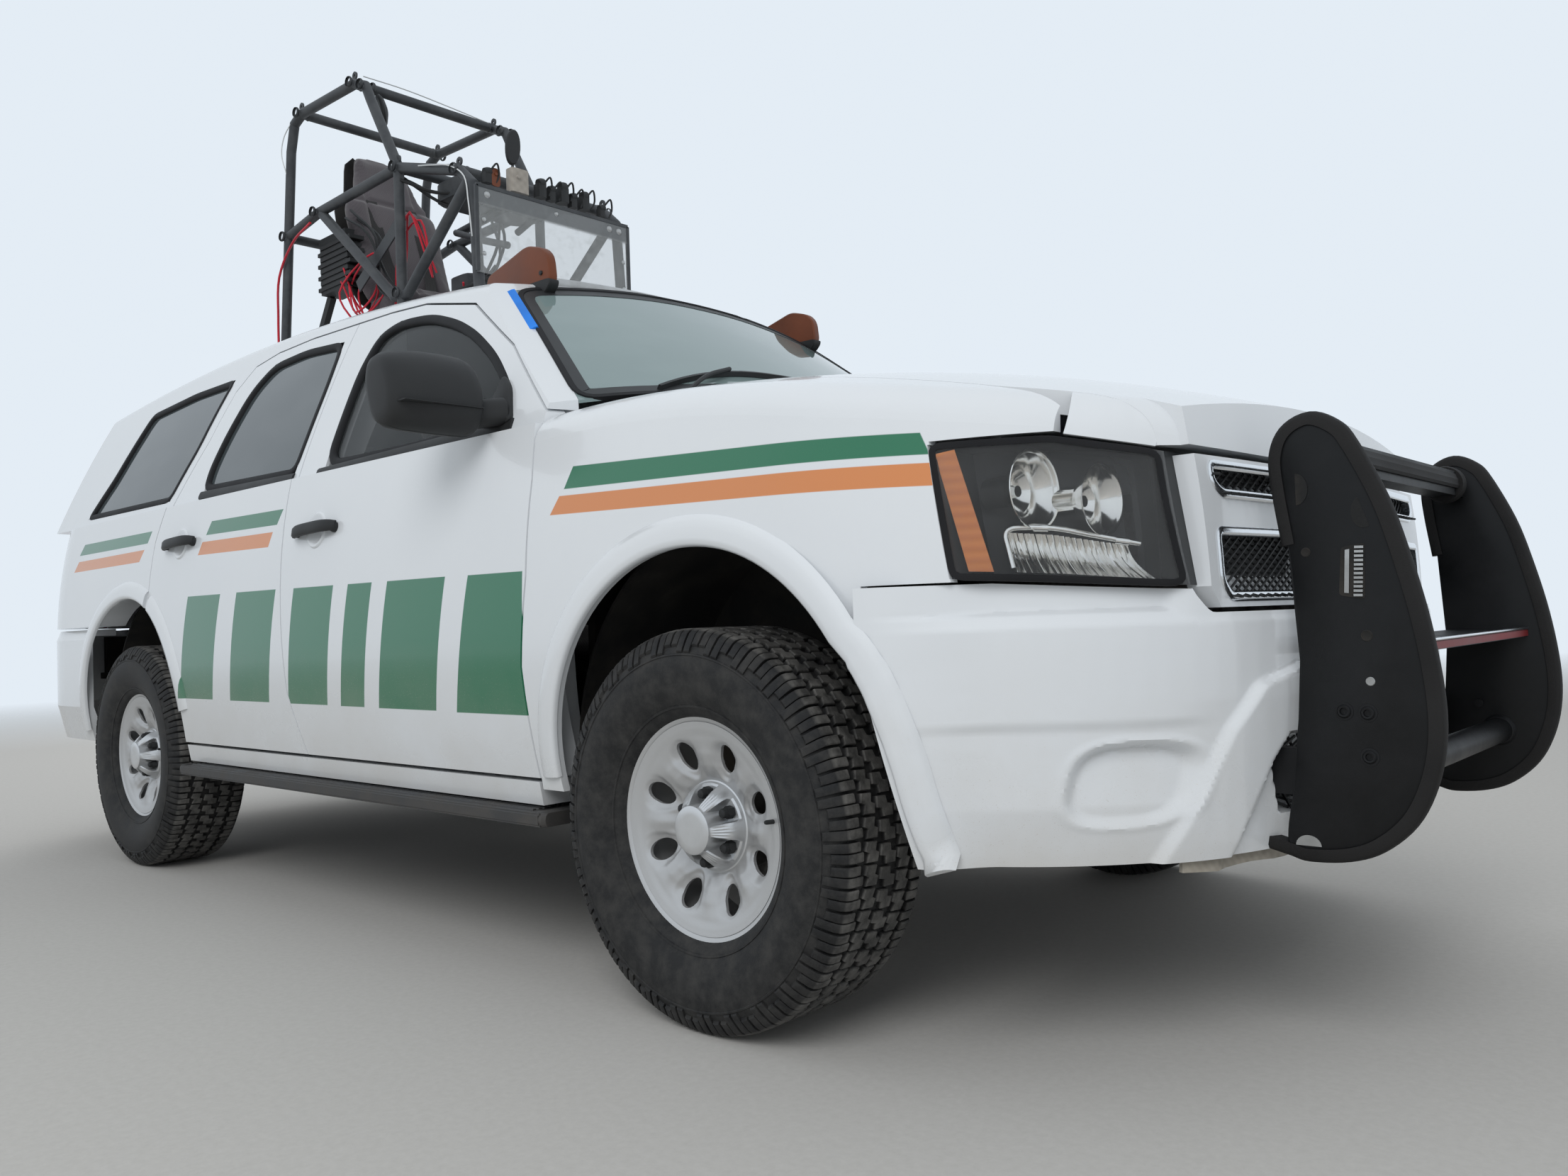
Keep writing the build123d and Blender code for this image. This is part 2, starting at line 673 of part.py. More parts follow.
COWL_OUTLINE = [(-350, 0), (-362, 300), (-400, 600), (-446, 776), (-470, 776), (-440, 602),
                (-406, 300), (-394, 0)]
cowl_shell = nose_block(20, 20) - nose_block(45, 45, 430)
cowl = cowl_shell & grown_plan(COWL_OUTLINE, -2, 1200, 1500)
save(single(cowl - hood_opening), "cowl")

lens_block = nose_block(2, 2)
housing_block = nose_block(2 + LENS_T + SEAT_GAP, 2 + LENS_T + SEAT_GAP)
lamp_prism = side_prism(HEADLAMP, 450, 1100)
lens = single((lens_block & lamp_prism) - nose_block(2 + LENS_T, 2 + LENS_T, 430))
save(both_sides(lens), "headlamp_lenses")
cavity = nose_block(LAMP_DEPTH - 12, LAMP_DEPTH - 12, 430)
housing = (housing_block & lamp_prism) - nose_block(LAMP_DEPTH, LAMP_DEPTH, 430)
housing = housing - (grown_side(HEADLAMP, -8, 450, 1100) - cavity)
save(both_sides(single(housing)), "headlamp_housings")

# Grille: a surround with two pockets, open to the mesh at their floor
GRILLE_OUTLINE = [(0, 792), (600, 792), (632, 830), (640, 1058), (0, 1062)]
GRILLE_UPPER = [(0, 990), (560, 990), (590, 1010), (590, 1040), (0, 1044)]
GRILLE_LOWER = [(0, 812), (560, 812), (590, 840), (590, 925), (0, 930)]
GRILLE_WALL = 42
POCKET_DEPTH = 34
grille = nose_outer - nose_block(GRILLE_WALL, GRILLE_WALL, 430)
grille = grille & grown_front(GRILLE_OUTLINE, -PANEL_GAP, 600, 1100)
pocket_skin = nose_outer - nose_block(POCKET_DEPTH, POCKET_DEPTH, 430)
for opening in (GRILLE_UPPER, GRILLE_LOWER):
    grille = grille - (pocket_skin & grown_front(opening, 0, 500, 1100))
save(single(grille - lamp_gap - mirror(lamp_gap, about=Plane.XZ)), "grille")

# Bumpers: one section carried round each corner, then across
FRONT_BUMPER_R = 666
FRONT_BUMPER_Y = 304
FRONT_BUMPER_X = FRONT_OVERHANG - FRONT_BUMPER_R
FRONT_BUMPER = [
    # out from the corner arc, height
    (-52, 372), (-26, 374), (-8, 470), (-6, 598), (0, 614), (2, 772), (-8, 792), (-58, 828),
    (-84, 828), (-30, 772), (-30, 614), (-36, 470),
]
BUMPER_BACK = 30
REAR_BUMPER_R = 500
REAR_BUMPER_Y = 485
REAR_BUMPER_X = -REAR_REACH + REAR_BUMPER_R
REAR_BUMPER = [
    (-70, 420), (-30, 430), (0, 560), (0, 820), (-14, 858), (-110, 860), (-110, 834), (-26, 834),
    (-26, 560), (-60, 452),
]
REAR_BACK = 26
INTAKE = [(0, 430), (500, 430), (560, 560), (540, 585), (0, 585)]
BUMPER_EDGE = [(437, 900), (437, 770), (449, 704), (484, 548), (526, 360), (100, 360), (100, 900)]


def bumper(x, centre_y, radius, section, facing, run):
    """A bumper from a section of points out from its corner arc; run is its straight side."""
    axis_point = (station(x), -centre_y, 0)
    points = [(radius + out, z) for out, z in section]
    side = Plane(origin=axis_point, x_dir=(0, -1, 0), z_dir=(-1, 0, 0))
    end = Plane(origin=axis_point, x_dir=(facing, 0, 0), z_dir=(0, -facing, 0))
    with BuildPart() as half:
        with BuildSketch(side):
            with BuildLine():
                Polyline(*points, close=True)
            make_face()
        revolve(axis=Axis(axis_point, (0, 0, 1)), revolution_arc=facing * 90)
        with BuildSketch(end):
            with BuildLine():
                Polyline(*points, close=True)
            make_face()
        extrude(amount=centre_y, dir=(0, 1, 0))
        with BuildSketch(side):
            with BuildLine():
                Polyline(*points, close=True)
            make_face()
        extrude(amount=run, dir=(-facing, 0, 0))
        mirror(about=Plane.XZ)
    return half.part


front_bumper = bumper(FRONT_BUMPER_X, FRONT_BUMPER_Y, FRONT_BUMPER_R, FRONT_BUMPER, 1, 100)
edge_cut = side_prism(BUMPER_EDGE, 600, 1200)
front_bumper = front_bumper - edge_cut - mirror(edge_cut, about=Plane.XZ)
front_bumper = front_bumper - box_between(300, 1200, -640, 640, 787, 900)
front_bumper = front_bumper - grown_front(INTAKE, 0, 300, 1200)
save(single(front_bumper), "front_bumper")

rear_bumper = bumper(REAR_BUMPER_X, REAR_BUMPER_Y, REAR_BUMPER_R, REAR_BUMPER, -1, 500)
rear_bumper = rear_bumper - rear_arch - mirror(rear_arch, about=Plane.XZ)
rear_bumper = rear_bumper - box_between(-WHEELBASE - 434, -2000, -1100, 1100, 300, 900)
save(single(rear_bumper), "rear_bumper")

# Door mirrors
MIRROR_IN, MIRROR_OUT = 985, 1210
with BuildPart() as mirror_head:
    with BuildSketch(side_plane(MIRROR_IN)):
        with Locations((-735, 1352)):
            RectangleRounded(270, 190, 80)
    extrude(amount=MIRROR_OUT - MIRROR_IN)
    fillet(mirror_head.edges().group_by(Axis.Y)[0], 30)
mirror_arm = side_prism([(-560, 1215), (-600, 1330), (-690, 1330), (-690, 1235)], 900, 1000)
mirror_arm = mirror_arm - lower_wall(-900, -400, 1100, BELT_Z + SEAT_GAP, -SEAT_GAP, 120)
mirror_arm = mirror_arm - upper_wall(-900, -400, BELT_Z - 5, 1450, -SEAT_GAP, 120)
save_pair(single(mirror_head.part + single(mirror_arm)), "mirror")

# Chassis rails, crossmembers and beams
RAIL_IN, RAIL_OUT = 410, 480
FLOOR_Z = ROCKER_HIGH + SEAT_GAP
FLOOR_T = 30
FLOOR_HALF = half_width(FLOOR_Z, post_in + PILLAR_WALL) - SEAT_GAP
CARGO_Z = 656
RAIL = [
    (870, 430), (-330, 430), (-480, 335), (-2350, 335), (-2600, 520),
    (TAIL_X + 155, 520), (TAIL_X + 115, 565),
    (-REAR_REACH + REAR_BACK + SEAT_GAP, 565), (-REAR_REACH + REAR_BACK + SEAT_GAP, CARGO_Z),
    (-2550, CARGO_Z), (-2300, ROCKER_HIGH), (-500, ROCKER_HIGH), (-380, 560), (870, 560),
]
CROSSMEMBERS = [
    # rear, front, low, high
    (690, 770, 440, 540),
    (-700, -620, 345, 375),
    (-1320, -1240, 345, 420),
    (-2330, -2250, 345, 365),
    (-WHEELBASE - 274, -WHEELBASE - 204, 540, 640),
    (TAIL_X + 15, TAIL_X + 85, 570, 640),
]
frame = side_prism(RAIL, RAIL_IN, RAIL_OUT)
frame = frame + mirror(frame, about=Plane.XZ)
for rear, front, low, high in CROSSMEMBERS:
    frame = frame + box_between(rear, front, -RAIL_IN - 10, RAIL_IN + 10, low, high)
beam_front = FRONT_OVERHANG - BUMPER_BACK - SEAT_GAP
frame = frame + box_between(800, 860, -RAIL_OUT, RAIL_OUT, 550, 700)
frame = frame + box_between(850, beam_front, -FRONT_BUMPER_Y + 4, FRONT_BUMPER_Y - 4, 640, 700)
save(single(frame), "chassis_frame")

# Running boards on brackets from the rails
BOARD_FRONT, BOARD_REAR = -468, -2440
BOARD_LOW, BOARD_HIGH = 362, 392
board = box_between(BOARD_REAR, BOARD_FRONT, -HALF_WIDTH, -790, BOARD_LOW, BOARD_HIGH)
for x in (-700, -1450, -2200):
    board = board + box_between(
        x - 25, x + 25, -860, -RAIL_OUT - SEAT_GAP, BOARD_HIGH - 4, ROCKER_LOW - SEAT_GAP
    )
save(both_sides(single(board)), "running_boards")

# Body tub: floor, firewall, wheel liners, aprons and rear valance
FIREWALL_REAR, FIREWALL_FRONT = -530, -505
LINER_IN, LINER_OUT = 520, 870
HOUSE_R = 470
HOUSE_IN, HOUSE_OUT = 660, 874
TUNNEL_HALF, TUNNEL_Z = 150, 640
LATCH_X = TAIL_X + GATE_WALL + 2.9


def half_ring(x, radius, wall, near, far):
    """The upper half of a wheel liner: a half tube about a wheel, from near to far out."""
    with BuildPart() as ring:
        with BuildSketch(side_plane(near)):
            with Locations((x, ARCH_Z)):
                Circle(radius + wall)
                Circle(radius, mode=Mode.SUBTRACT)
            with Locations((x, ARCH_Z - radius)):
                Rectangle(3 * radius, 2 * radius, mode=Mode.SUBTRACT)
        extrude(amount=far - near)
    return ring.part


def half_disc(x, radius, low, near, far):
    """The inner wall of a wheel liner above a height."""
    with BuildPart() as disc:
        with BuildSketch(side_plane(near)):
            with Locations((x, ARCH_Z)):
                Circle(radius)
            with Locations((x, low - radius)):
                Rectangle(3 * radius, 2 * radius, mode=Mode.SUBTRACT)
        extrude(amount=far - near)
    return disc.part


tunnel = [(0, TUNNEL_Z), (TUNNEL_HALF - 20, TUNNEL_Z), (TUNNEL_HALF, FLOOR_Z - 1), (0, FLOOR_Z - 1)]
tunnel_top = [
    (0, TUNNEL_Z + 20), (TUNNEL_HALF, TUNNEL_Z + 20), (TUNNEL_HALF + 25, FLOOR_Z), (0, FLOOR_Z),
]
FLOOR_STEP = [(-2285, FLOOR_Z), (-2420, CARGO_Z + SEAT_GAP), (-2405, 682), (-2265, FLOOR_Z + FLOOR_T)]
tub = box_between(-2290, FIREWALL_FRONT, -FLOOR_HALF, FLOOR_HALF, FLOOR_Z, FLOOR_Z + FLOOR_T)
tub = tub + side_prism(FLOOR_STEP, -HOUSE_IN, HOUSE_IN)
tub = tub + box_between(TAIL_X + 25, -2410, -HOUSE_IN, HOUSE_IN, CARGO_Z + SEAT_GAP, 682)
tub = tub + box_between(
    TAIL_X + 225, REAR_ARCH_X - HOUSE_R - 20, -780, 780, CARGO_Z + SEAT_GAP, 682
)
tub = tub + box_between(FIREWALL_REAR, FIREWALL_FRONT, -800, 800, FLOOR_Z, 1215)
tub = tub + grown_front(tunnel_top, 0, -2200, FIREWALL_FRONT)
tub = tub - grown_front(tunnel, 0, -2190, 0)
valance = box_between(TAIL_X + 25, TAIL_X + 55, -700, 700, CARGO_Z + SEAT_GAP, 834 - SEAT_GAP)
tub = tub + valance
tub = tub + box_between(TAIL_X + 54, TAIL_X + 85, -30, 30, 680, QUARTER_FOOT_Z - DOOR_GAP)
tub = tub + box_between(LATCH_X, TAIL_X + 85, -30, 30, 850, 900)
cowl_rest = HOOD_TOP_Z - 45 - 1.1
tub = tub + box_between(FIREWALL_FRONT - 1, -365, -700, 700, 1200, 1215)
tub = tub + box_between(-385, -365, -60, 60, 1200, cowl_rest)
for side in (1, -1):
    front_liner = half_ring(ARCH_X, LINER_R, LINER_T, LINER_IN, LINER_OUT)
    front_liner = front_liner + half_disc(ARCH_X, LINER_R + 4, 620, LINER_IN - 8, LINER_IN)
    with BuildPart() as apron:
        with BuildSketch(side_plane(745)):
            with Locations((-90, (APRON_Z - SEAT_GAP + 880) / 2)):
                Rectangle(660, APRON_Z - SEAT_GAP - 880)
            with Locations((ARCH_X, ARCH_Z)):
                Circle(LINER_R + 4, mode=Mode.SUBTRACT)
        extrude(amount=15)
    liner_foot = box_between(FIREWALL_FRONT - 5, -484, -800, -LINER_IN, 500, 560)
    house = half_ring(REAR_ARCH_X, HOUSE_R, LINER_T, HOUSE_IN - 8, HOUSE_OUT)
    house = house + half_disc(REAR_ARCH_X, HOUSE_R + 4, CARGO_Z + 2, HOUSE_IN - 8, HOUSE_IN)
    lining = front_liner + apron.part + liner_foot + house
    tub = tub + (lining if side == -1 else mirror(lining, about=Plane.XZ))
save(single(tub), "floor_pan")

# Wheels: steel rims with tyres, made on the right and mirrored
RIM_SEAT_R = 215
LIP_T = 6
SPINDLE_R = 30
RUN_GAP = 0.1
SPINDLE_END = 15.7
DISC_PITCH_R = 172
DISC_HOLE_R = 16


def wheel_section(x, half_track):
    """Section plane of a right wheel: first axis out from the hub, second outboard."""
    return Plane(origin=(station(x), -half_track, TYRE_R), x_dir=(0, 0, 1), z_dir=(1, 0, 0))


def wheel_face(x, half_track, outboard=0):
    """Plane across a right wheel, facing outboard."""
    return Plane(
        origin=(station(x), -half_track - outboard, TYRE_R), x_dir=(1, 0, 0), z_dir=(0, -1, 0)
    )


def tyre_solid(x, half_track):
    """A hollow tyre from bead to tread."""
    half, tread = TYRE_WIDTH / 2, TREAD_WIDTH / 2 - 4
    lip, bead = RIM_LIP_R + 1, RIM_SEAT_R + SEAT_GAP
    edge = RIM_WIDTH / 2 - LIP_T - SEAT_GAP
    wall = 13
    axle = Axis((station(x), 0, TYRE_R), (0, 1, 0))
    with BuildPart() as tyre:
        with BuildSketch(wheel_section(x, half_track)):
            with BuildLine():
                Polyline(
                    (lip + 3, -edge - 2), (lip, -edge), (bead, -edge), (bead, -edge + 18),
                    (lip + 2, -edge + 16),
                )
                ThreePointArc((lip + 2, -edge + 16), (312, -half + wall), (378, -tread + 8))
                ThreePointArc((378, -tread + 8), (381, 0), (378, tread - 8))
                ThreePointArc((378, tread - 8), (312, half - wall), (lip + 2, edge - 16))
                Polyline(
                    (lip + 2, edge - 16), (bead, edge - 18), (bead, edge), (lip, edge),
                    (lip + 3, edge + 2),
                )
                ThreePointArc((lip + 3, edge + 2), (316, half), (384, tread + 8))
                Line((384, tread + 8), (TYRE_R - 3, tread))
                ThreePointArc((TYRE_R - 3, tread), (TYRE_R, 0), (TYRE_R - 3, -tread))
                Line((TYRE_R - 3, -tread), (384, -tread - 8))
                ThreePointArc((384, -tread - 8), (316, -half), (lip + 3, -edge - 2))
            make_face()
        revolve(axis=axle)
    return tyre.part


def rim_solid(x, half_track):
    """A steel wheel with its disc, hand holes, hub sleeve and centre cap."""
    half, inner = RIM_WIDTH / 2, RIM_SEAT_R - RIM_WALL
    axle = Axis((station(x), 0, TYRE_R), (0, 1, 0))
    outline = [
        (0, 64), (32, 61), (WHEEL_BORE_R, 50), (WHEEL_BORE_R, 30), (95, 30), (125, 56), (158, 56),
        (186, 34), (inner, 32), (inner, half), (RIM_LIP_R, half), (RIM_LIP_R, half - LIP_T),
        (RIM_SEAT_R, half - LIP_T), (RIM_SEAT_R, LIP_T - half), (RIM_LIP_R, LIP_T - half),
        (RIM_LIP_R, -half), (inner, -half), (inner, 20), (182, 24), (156, 46), (130, 46), (100, 20),
        (38, 20), (38, -30), (SPINDLE_R + RUN_GAP, -30), (SPINDLE_R + RUN_GAP, 16), (0, 16),
    ]
    with BuildPart() as rim:
        with BuildSketch(wheel_section(x, half_track)):
            with BuildLine():
                Polyline(*outline, close=True)
            make_face()
        revolve(axis=axle)
        with BuildSketch(wheel_face(x, half_track, 10)):
            with PolarLocations(DISC_PITCH_R, WHEEL_HOLES):
                Circle(DISC_HOLE_R)
        extrude(amount=60, mode=Mode.SUBTRACT)
    return rim.part


WHEELS = [
    # name, station, half track
    ("front", 0, FRONT_TRACK / 2),
    ("rear", -WHEELBASE, REAR_TRACK / 2),
]
for name, x, half_track in WHEELS:
    save_pair(tyre_solid(x, half_track), f"{name}_tyre")
    save_pair(rim_solid(x, half_track), f"{name}_rim")

# Knuckles and front suspension
KINGPIN_Y = FRONT_TRACK / 2 - KINGPIN_IN
KINGPIN_LEAN = 12.0
CASTER = 3.5
KNUCKLE_LOW, KNUCKLE_HIGH = -110, 130
LOWER_PAD, UPPER_PAD = 60, 30
kingpin_dir = Vector(-tan(radians(CASTER)), tan(radians(KINGPIN_LEAN)), 1).normalized()
kingpin_point = Vector(station(0), -KINGPIN_Y, TYRE_R)


def kingpin_cylinder(low, high, radius):
    """A cylinder along the right kingpin axis between two distances from the hub height."""
    with BuildPart() as pin:
        with BuildSketch(Plane(origin=kingpin_point + kingpin_dir * low, z_dir=kingpin_dir)):
            Circle(radius)
        extrude(amount=high - low)
    return pin.part


def kingpin_at(along):
    """Point on the right kingpin axis, x given from the front axle."""
    point = kingpin_point + kingpin_dir * along
    return (point.X - AXLE_X, point.Y, point.Z)


def axle_cylinder(x, inner, outer, radius):
    """A cylinder across the right side at hub height between two distances from the centre."""
    with BuildPart() as cylinder:
        with BuildSketch(wheel_face(x, inner)):
            Circle(radius)
        extrude(amount=outer - inner)
    return cylinder.part


half_front = FRONT_TRACK / 2
half_rear = REAR_TRACK / 2
knuckle = kingpin_cylinder(KNUCKLE_LOW, KNUCKLE_HIGH, 28)
knuckle = knuckle + axle_cylinder(0, KINGPIN_Y - 20, half_front + SPINDLE_END, SPINDLE_R)
knuckle = knuckle + axle_cylinder(0, half_front - 45, half_front - 35, 95)
knuckle = knuckle + box_between(-130, 0, -KINGPIN_Y - 8, -KINGPIN_Y + 14, 372, 398)
save_pair(single(knuckle), "knuckle")

lower_ball = kingpin_at(KNUCKLE_LOW - SEAT_GAP - LOWER_PAD / 2)
upper_ball = kingpin_at(KNUCKLE_HIGH + SEAT_GAP + UPPER_PAD / 2)
arms = kingpin_cylinder(KNUCKLE_LOW - SEAT_GAP - LOWER_PAD, KNUCKLE_LOW - SEAT_GAP, 26)
upper_arms = kingpin_cylinder(KNUCKLE_HIGH + SEAT_GAP, KNUCKLE_HIGH + SEAT_GAP + UPPER_PAD, 24)
for x in (110, -110):
    arms = arms + tube_run([lower_ball, (x, -450, 322)], 15)
    upper_arms = upper_arms + tube_run([upper_ball, (x, -495, 540)], 12)
arms = arms + box_between(-150, 150, -RAIL_OUT + 2, -430, 300, 430 - SEAT_GAP)
upper_arms = upper_arms + box_between(-135, 135, -504, -RAIL_OUT - SEAT_GAP, 520, 556)
RACK_X, RACK_Z = -190, 390
rack = tube_run([(RACK_X, 0, RACK_Z), (RACK_X, -400, RACK_Z)], 28)
rack = rack + tube_run([(RACK_X, -390, RACK_Z), (-130, -655, RACK_Z)], 10)
rack = rack + box_between(RACK_X - 30, RACK_X + 30, -440, -395, RACK_Z - 20, 430 - SEAT_GAP)
rack = rack + mirror(rack, about=Plane.XZ)
right_arms = [single(arms), single(upper_arms)]
left_arms = [mirror(arm, about=Plane.XZ) for arm in right_arms]
save(Compound(children=right_arms + left_arms + [single(rack)]), "front_suspension")

# Rear axle on coil springs and trailing arms
axle = axle_cylinder(-WHEELBASE, 0, half_rear - 45, 45)
axle = axle + axle_cylinder(-WHEELBASE, half_rear - 60, half_rear + SPINDLE_END, SPINDLE_R)
axle = axle + axle_cylinder(-WHEELBASE, half_rear - 45, half_rear - 35, 140)
with BuildPart() as spring:
    with BuildSketch(plan_plane(TYRE_R)):
        with Locations((-WHEELBASE, -445)):
            Circle(55)
    extrude(amount=520 - SEAT_GAP - TYRE_R)
ARM_X, ARM_Y = -2290, -388
axle = axle + spring.part + tube_run([(-WHEELBASE, ARM_Y, 352), (ARM_X, ARM_Y, 318)], 19)
axle = axle + box_between(ARM_X - 26, ARM_X + 26, ARM_Y - 18, ARM_Y + 18, 296, 345 - SEAT_GAP)
axle = axle + mirror(axle, about=Plane.XZ)
with BuildPart() as differential:
    with Locations((station(-WHEELBASE), 0, TYRE_R)):
        Sphere(145)
save(single(axle + differential.part), "rear_axle")

# Engine, gearbox and drive shaft as plain blocks, radiator on its crossmember
engine = box_between(-330, 420, -330, 330, 440, 1030)
engine = engine + box_between(-40, 60, -RAIL_IN + SEAT_GAP, RAIL_IN - SEAT_GAP, 450, 500)
gearbox = tube_run([(-320, 0, 520), (-1150, 0, 470)], 110)
shaft = tube_run([(-1140, 0, 470), (-WHEELBASE + 170, 0, 385)], 36)
engine = engine + gearbox + shaft
STOP_X, STOP_Y = 730, 150
stop_top = crown_height(
    STOP_X + 12, STOP_Y + 12, HOOD_TOP_X, HOOD_TOP_Z, HOOD_LONG_R, HOOD_CROWN_R, HOOD_T
)
radiator = box_between(700, 760, -380, 380, 540 + SEAT_GAP, 1040)
radiator = radiator + box_between(
    STOP_X - 12, STOP_X + 12, STOP_Y - 12, STOP_Y + 12, 1030, stop_top - SEAT_GAP
)
save(Compound(children=[single(engine), single(radiator)]), "powertrain")

# Fuel tank, exhaust and spare wheel
SPARE_X = TAIL_X + 465
tank = box_between(-2200, -1380, 60, 395, 300, ROCKER_HIGH)
exhaust = tube_run(
    [(-370, -300, 400), (-500, -250, 295), (-1420, -250, 295), (-1500, -250, 320)], 28
)
exhaust = exhaust + box_between(-2150, -1480, -370, -130, 255, 375)
exhaust = exhaust + box_between(-1800, -1760, -260, -240, 370, ROCKER_HIGH)
with BuildPart() as spare:
    with BuildSketch(plan_plane(440)):
        with Locations((SPARE_X, 0)):
            Circle(360)
    extrude(amount=200)
    with BuildSketch(plan_plane(440)):
        with Locations((SPARE_X, 0)):
            Circle(200)
    extrude(amount=90, mode=Mode.SUBTRACT)
    with BuildSketch(plan_plane(530)):
        with Locations((SPARE_X, 0)):
            Circle(60)
    extrude(amount=CARGO_Z - 530)
save(Compound(children=[single(tank), single(exhaust), single(spare.part)]), "underbody")

# Seats and dashboard
FRONT_SEAT = [
    (-1060, 660), (-1070, 810), (-1480, 775), (-1590, 1380), (-1615, 1560), (-1690, 1555),
    (-1710, 1380), (-1640, 720), (-1560, 640), (-1560, 487), (-1120, 487), (-1120, 640),
]
REAR_SEAT = [
    (-1950, 650), (-1955, 800), (-2330, 775), (-2440, 1330), (-2455, 1400), (-2540, 1390),
    (-2480, 700), (-2330, 700), (-2250, 640), (-2250, 487), (-2000, 487), (-2000, 640),
]
front_seat = side_prism(FRONT_SEAT, 180, 655)
rear_seat = single(side_prism(REAR_SEAT, -600, 600) - box_between(-2300, -1900, -185, 185, 400, 664))
seats = [front_seat, mirror(front_seat, about=Plane.XZ), rear_seat]
save(Compound(children=seats), "seats")

DASH = [
    (FIREWALL_REAR - SEAT_GAP, 940), (FIREWALL_REAR - SEAT_GAP, 1225), (-700, 1235), (-820, 1185),
    (-845, 1080), (-770, 960), (-640, 900),
]
WHEEL_X, WHEEL_Y, WHEEL_Z, WHEEL_R = -980, 380, 1105, 185
dash = side_prism(DASH, -770, 770)
column_dir = Vector(-cos(radians(25)), 0, sin(radians(25)))
with BuildPart() as steering:
    with BuildSketch(
        Plane(origin=(station(WHEEL_X), WHEEL_Y, WHEEL_Z), x_dir=(0, 1, 0), z_dir=column_dir)
    ):
        Circle(WHEEL_R)
        Circle(WHEEL_R - 28, mode=Mode.SUBTRACT)
        Rectangle(2 * WHEEL_R - 30, 40)
    extrude(amount=26)
column = tube_run([(WHEEL_X - 4, WHEEL_Y, WHEEL_Z + 2), (-740, WHEEL_Y, 1000)], 34)
save(single(dash + steering.part + column), "dashboard")

# Push bumper: two wing plates with a ribbed bar, a shelf and a tube between them
WING = [
    (970, 1058), (1029, 1112), (1075, 1075), (1135, 945), (1168, 800), (1205, 621), (1195, 540),
    (1168, 483), (1100, 400), (1031, 367), (985, 367), (978, 480), (992, 600), (999, 700), (988, 897),
]
WING_IN, WING_OUT = 462, 488
wings = side_prism(WING, WING_IN, WING_OUT)
wings = wings + box_between(870 + SEAT_GAP, 1010, -WING_OUT + 6, -WING_IN, 470, 550)
wings = wings + mirror(wings, about=Plane.XZ)
push_bar = wings + box_between(1000, 1048, -WING_IN - 2, WING_IN + 2, 1026, 1080)
push_bar = push_bar + box_between(1005, 1160, -WING_IN - 2, WING_IN + 2, 708, 726)
push_bar = push_bar + tube_run([(1095, WING_IN + 2, 500), (1095, -WING_IN - 2, 500)], 27)
save(single(push_bar), "push_bumper")

# Roof equipment: a bar over the windscreen and a driving cage with its own seat
roof_skin = green_block(-SEAT_GAP)
BAR_END = [
    (-1240, 1700), (-1242, 1834), (-1046, 1884), (-973, 1863), (-944, 1834), (-936, 1760),
    (-974, 1725), (-1020, 1700),
]
bar_end = side_prism(BAR_END, 545, 575)
roof_bar = bar_end + mirror(bar_end, about=Plane.XZ)
roof_bar = roof_bar + tube_run([(-1060, -550, 1838), (-1060, 550, 1838)], 24)
save(single(roof_bar - roof_skin), "roof_bar")

CAGE_R = 19
CAGE_HALF = 310
ELBOW = (-2163, 2493)
SIDE_RUNS = [
    [(-3090, 1850), (-3072, 2046), (-2990, 2790), (-2955, 2895), (-2890, 2918), (-2460, 2900),
     (-2380, 2865), (-2345, 2800), ELBOW, (-2159, 2035), (-2159, 1850)],
    [ELBOW, (-1770, 2372), (-1694, 2305), (-1674, 1992), (-1665, 1840)],
    [ELBOW, (-2771, 2483), (-3035, 2448)],
    [(-2736, 2468), (-2210, 2030), (-2160, 2030)],
    [(-1719, 2320), (-2119, 2022), (-2159, 2022)],
]
CROSS_TUBES = [(-2890, 2918), (-2460, 2900), ELBOW, (-3035, 2448), (-1770, 2372)]
cage = Part()
for run in SIDE_RUNS:
    for side in (1, -1):
        cage = cage + tube_run([(x, side * CAGE_HALF, z) for x, z in run], CAGE_R)
for x, z in CROSS_TUBES:
    cage = cage + tube_run([(x, -CAGE_HALF, z), (x, CAGE_HALF, z)], CAGE_R)
for x in (-3090, -2159, -1666):
    for side in (1, -1):
        y = side * CAGE_HALF
        cage = cage + box_between(x - 45, x + 45, y - 45, y + 45, 1840, 1908 if x < -2000 else 1880)
cage = cage + tube_run([(-1760, 0, 2372), (-2255, 0, 2345)], 16)
with BuildPart() as cage_wheel:
    with BuildSketch(Plane(origin=(station(-2280), 0, 2350), x_dir=(0, 1, 0), z_dir=column_dir)):
        Circle(165)
        Circle(139, mode=Mode.SUBTRACT)
        Rectangle(300, 36)
    extrude(amount=24)
cage = cage + cage_wheel.part
save(single(cage - roof_skin), "cage_frame")

PANEL_X = -1674 + CAGE_R + SEAT_GAP
save(single(box_between(PANEL_X, PANEL_X + 6, -330, 330, 1995, 2290)), "cage_screen")
CAGE_SEAT = [
    (-2330, 2060), (-2320, 2150), (-2600, 2120), (-2800, 2560), (-2870, 2850), (-2950, 2830),
    (-2900, 2560), (-2740, 2060), (-2620, 2040), (-2620, 1850), (-2420, 1850), (-2420, 2040),
]
cage_seat = side_prism(CAGE_SEAT, -215, 215)
save(single(cage_seat - roof_skin), "cage_seat")
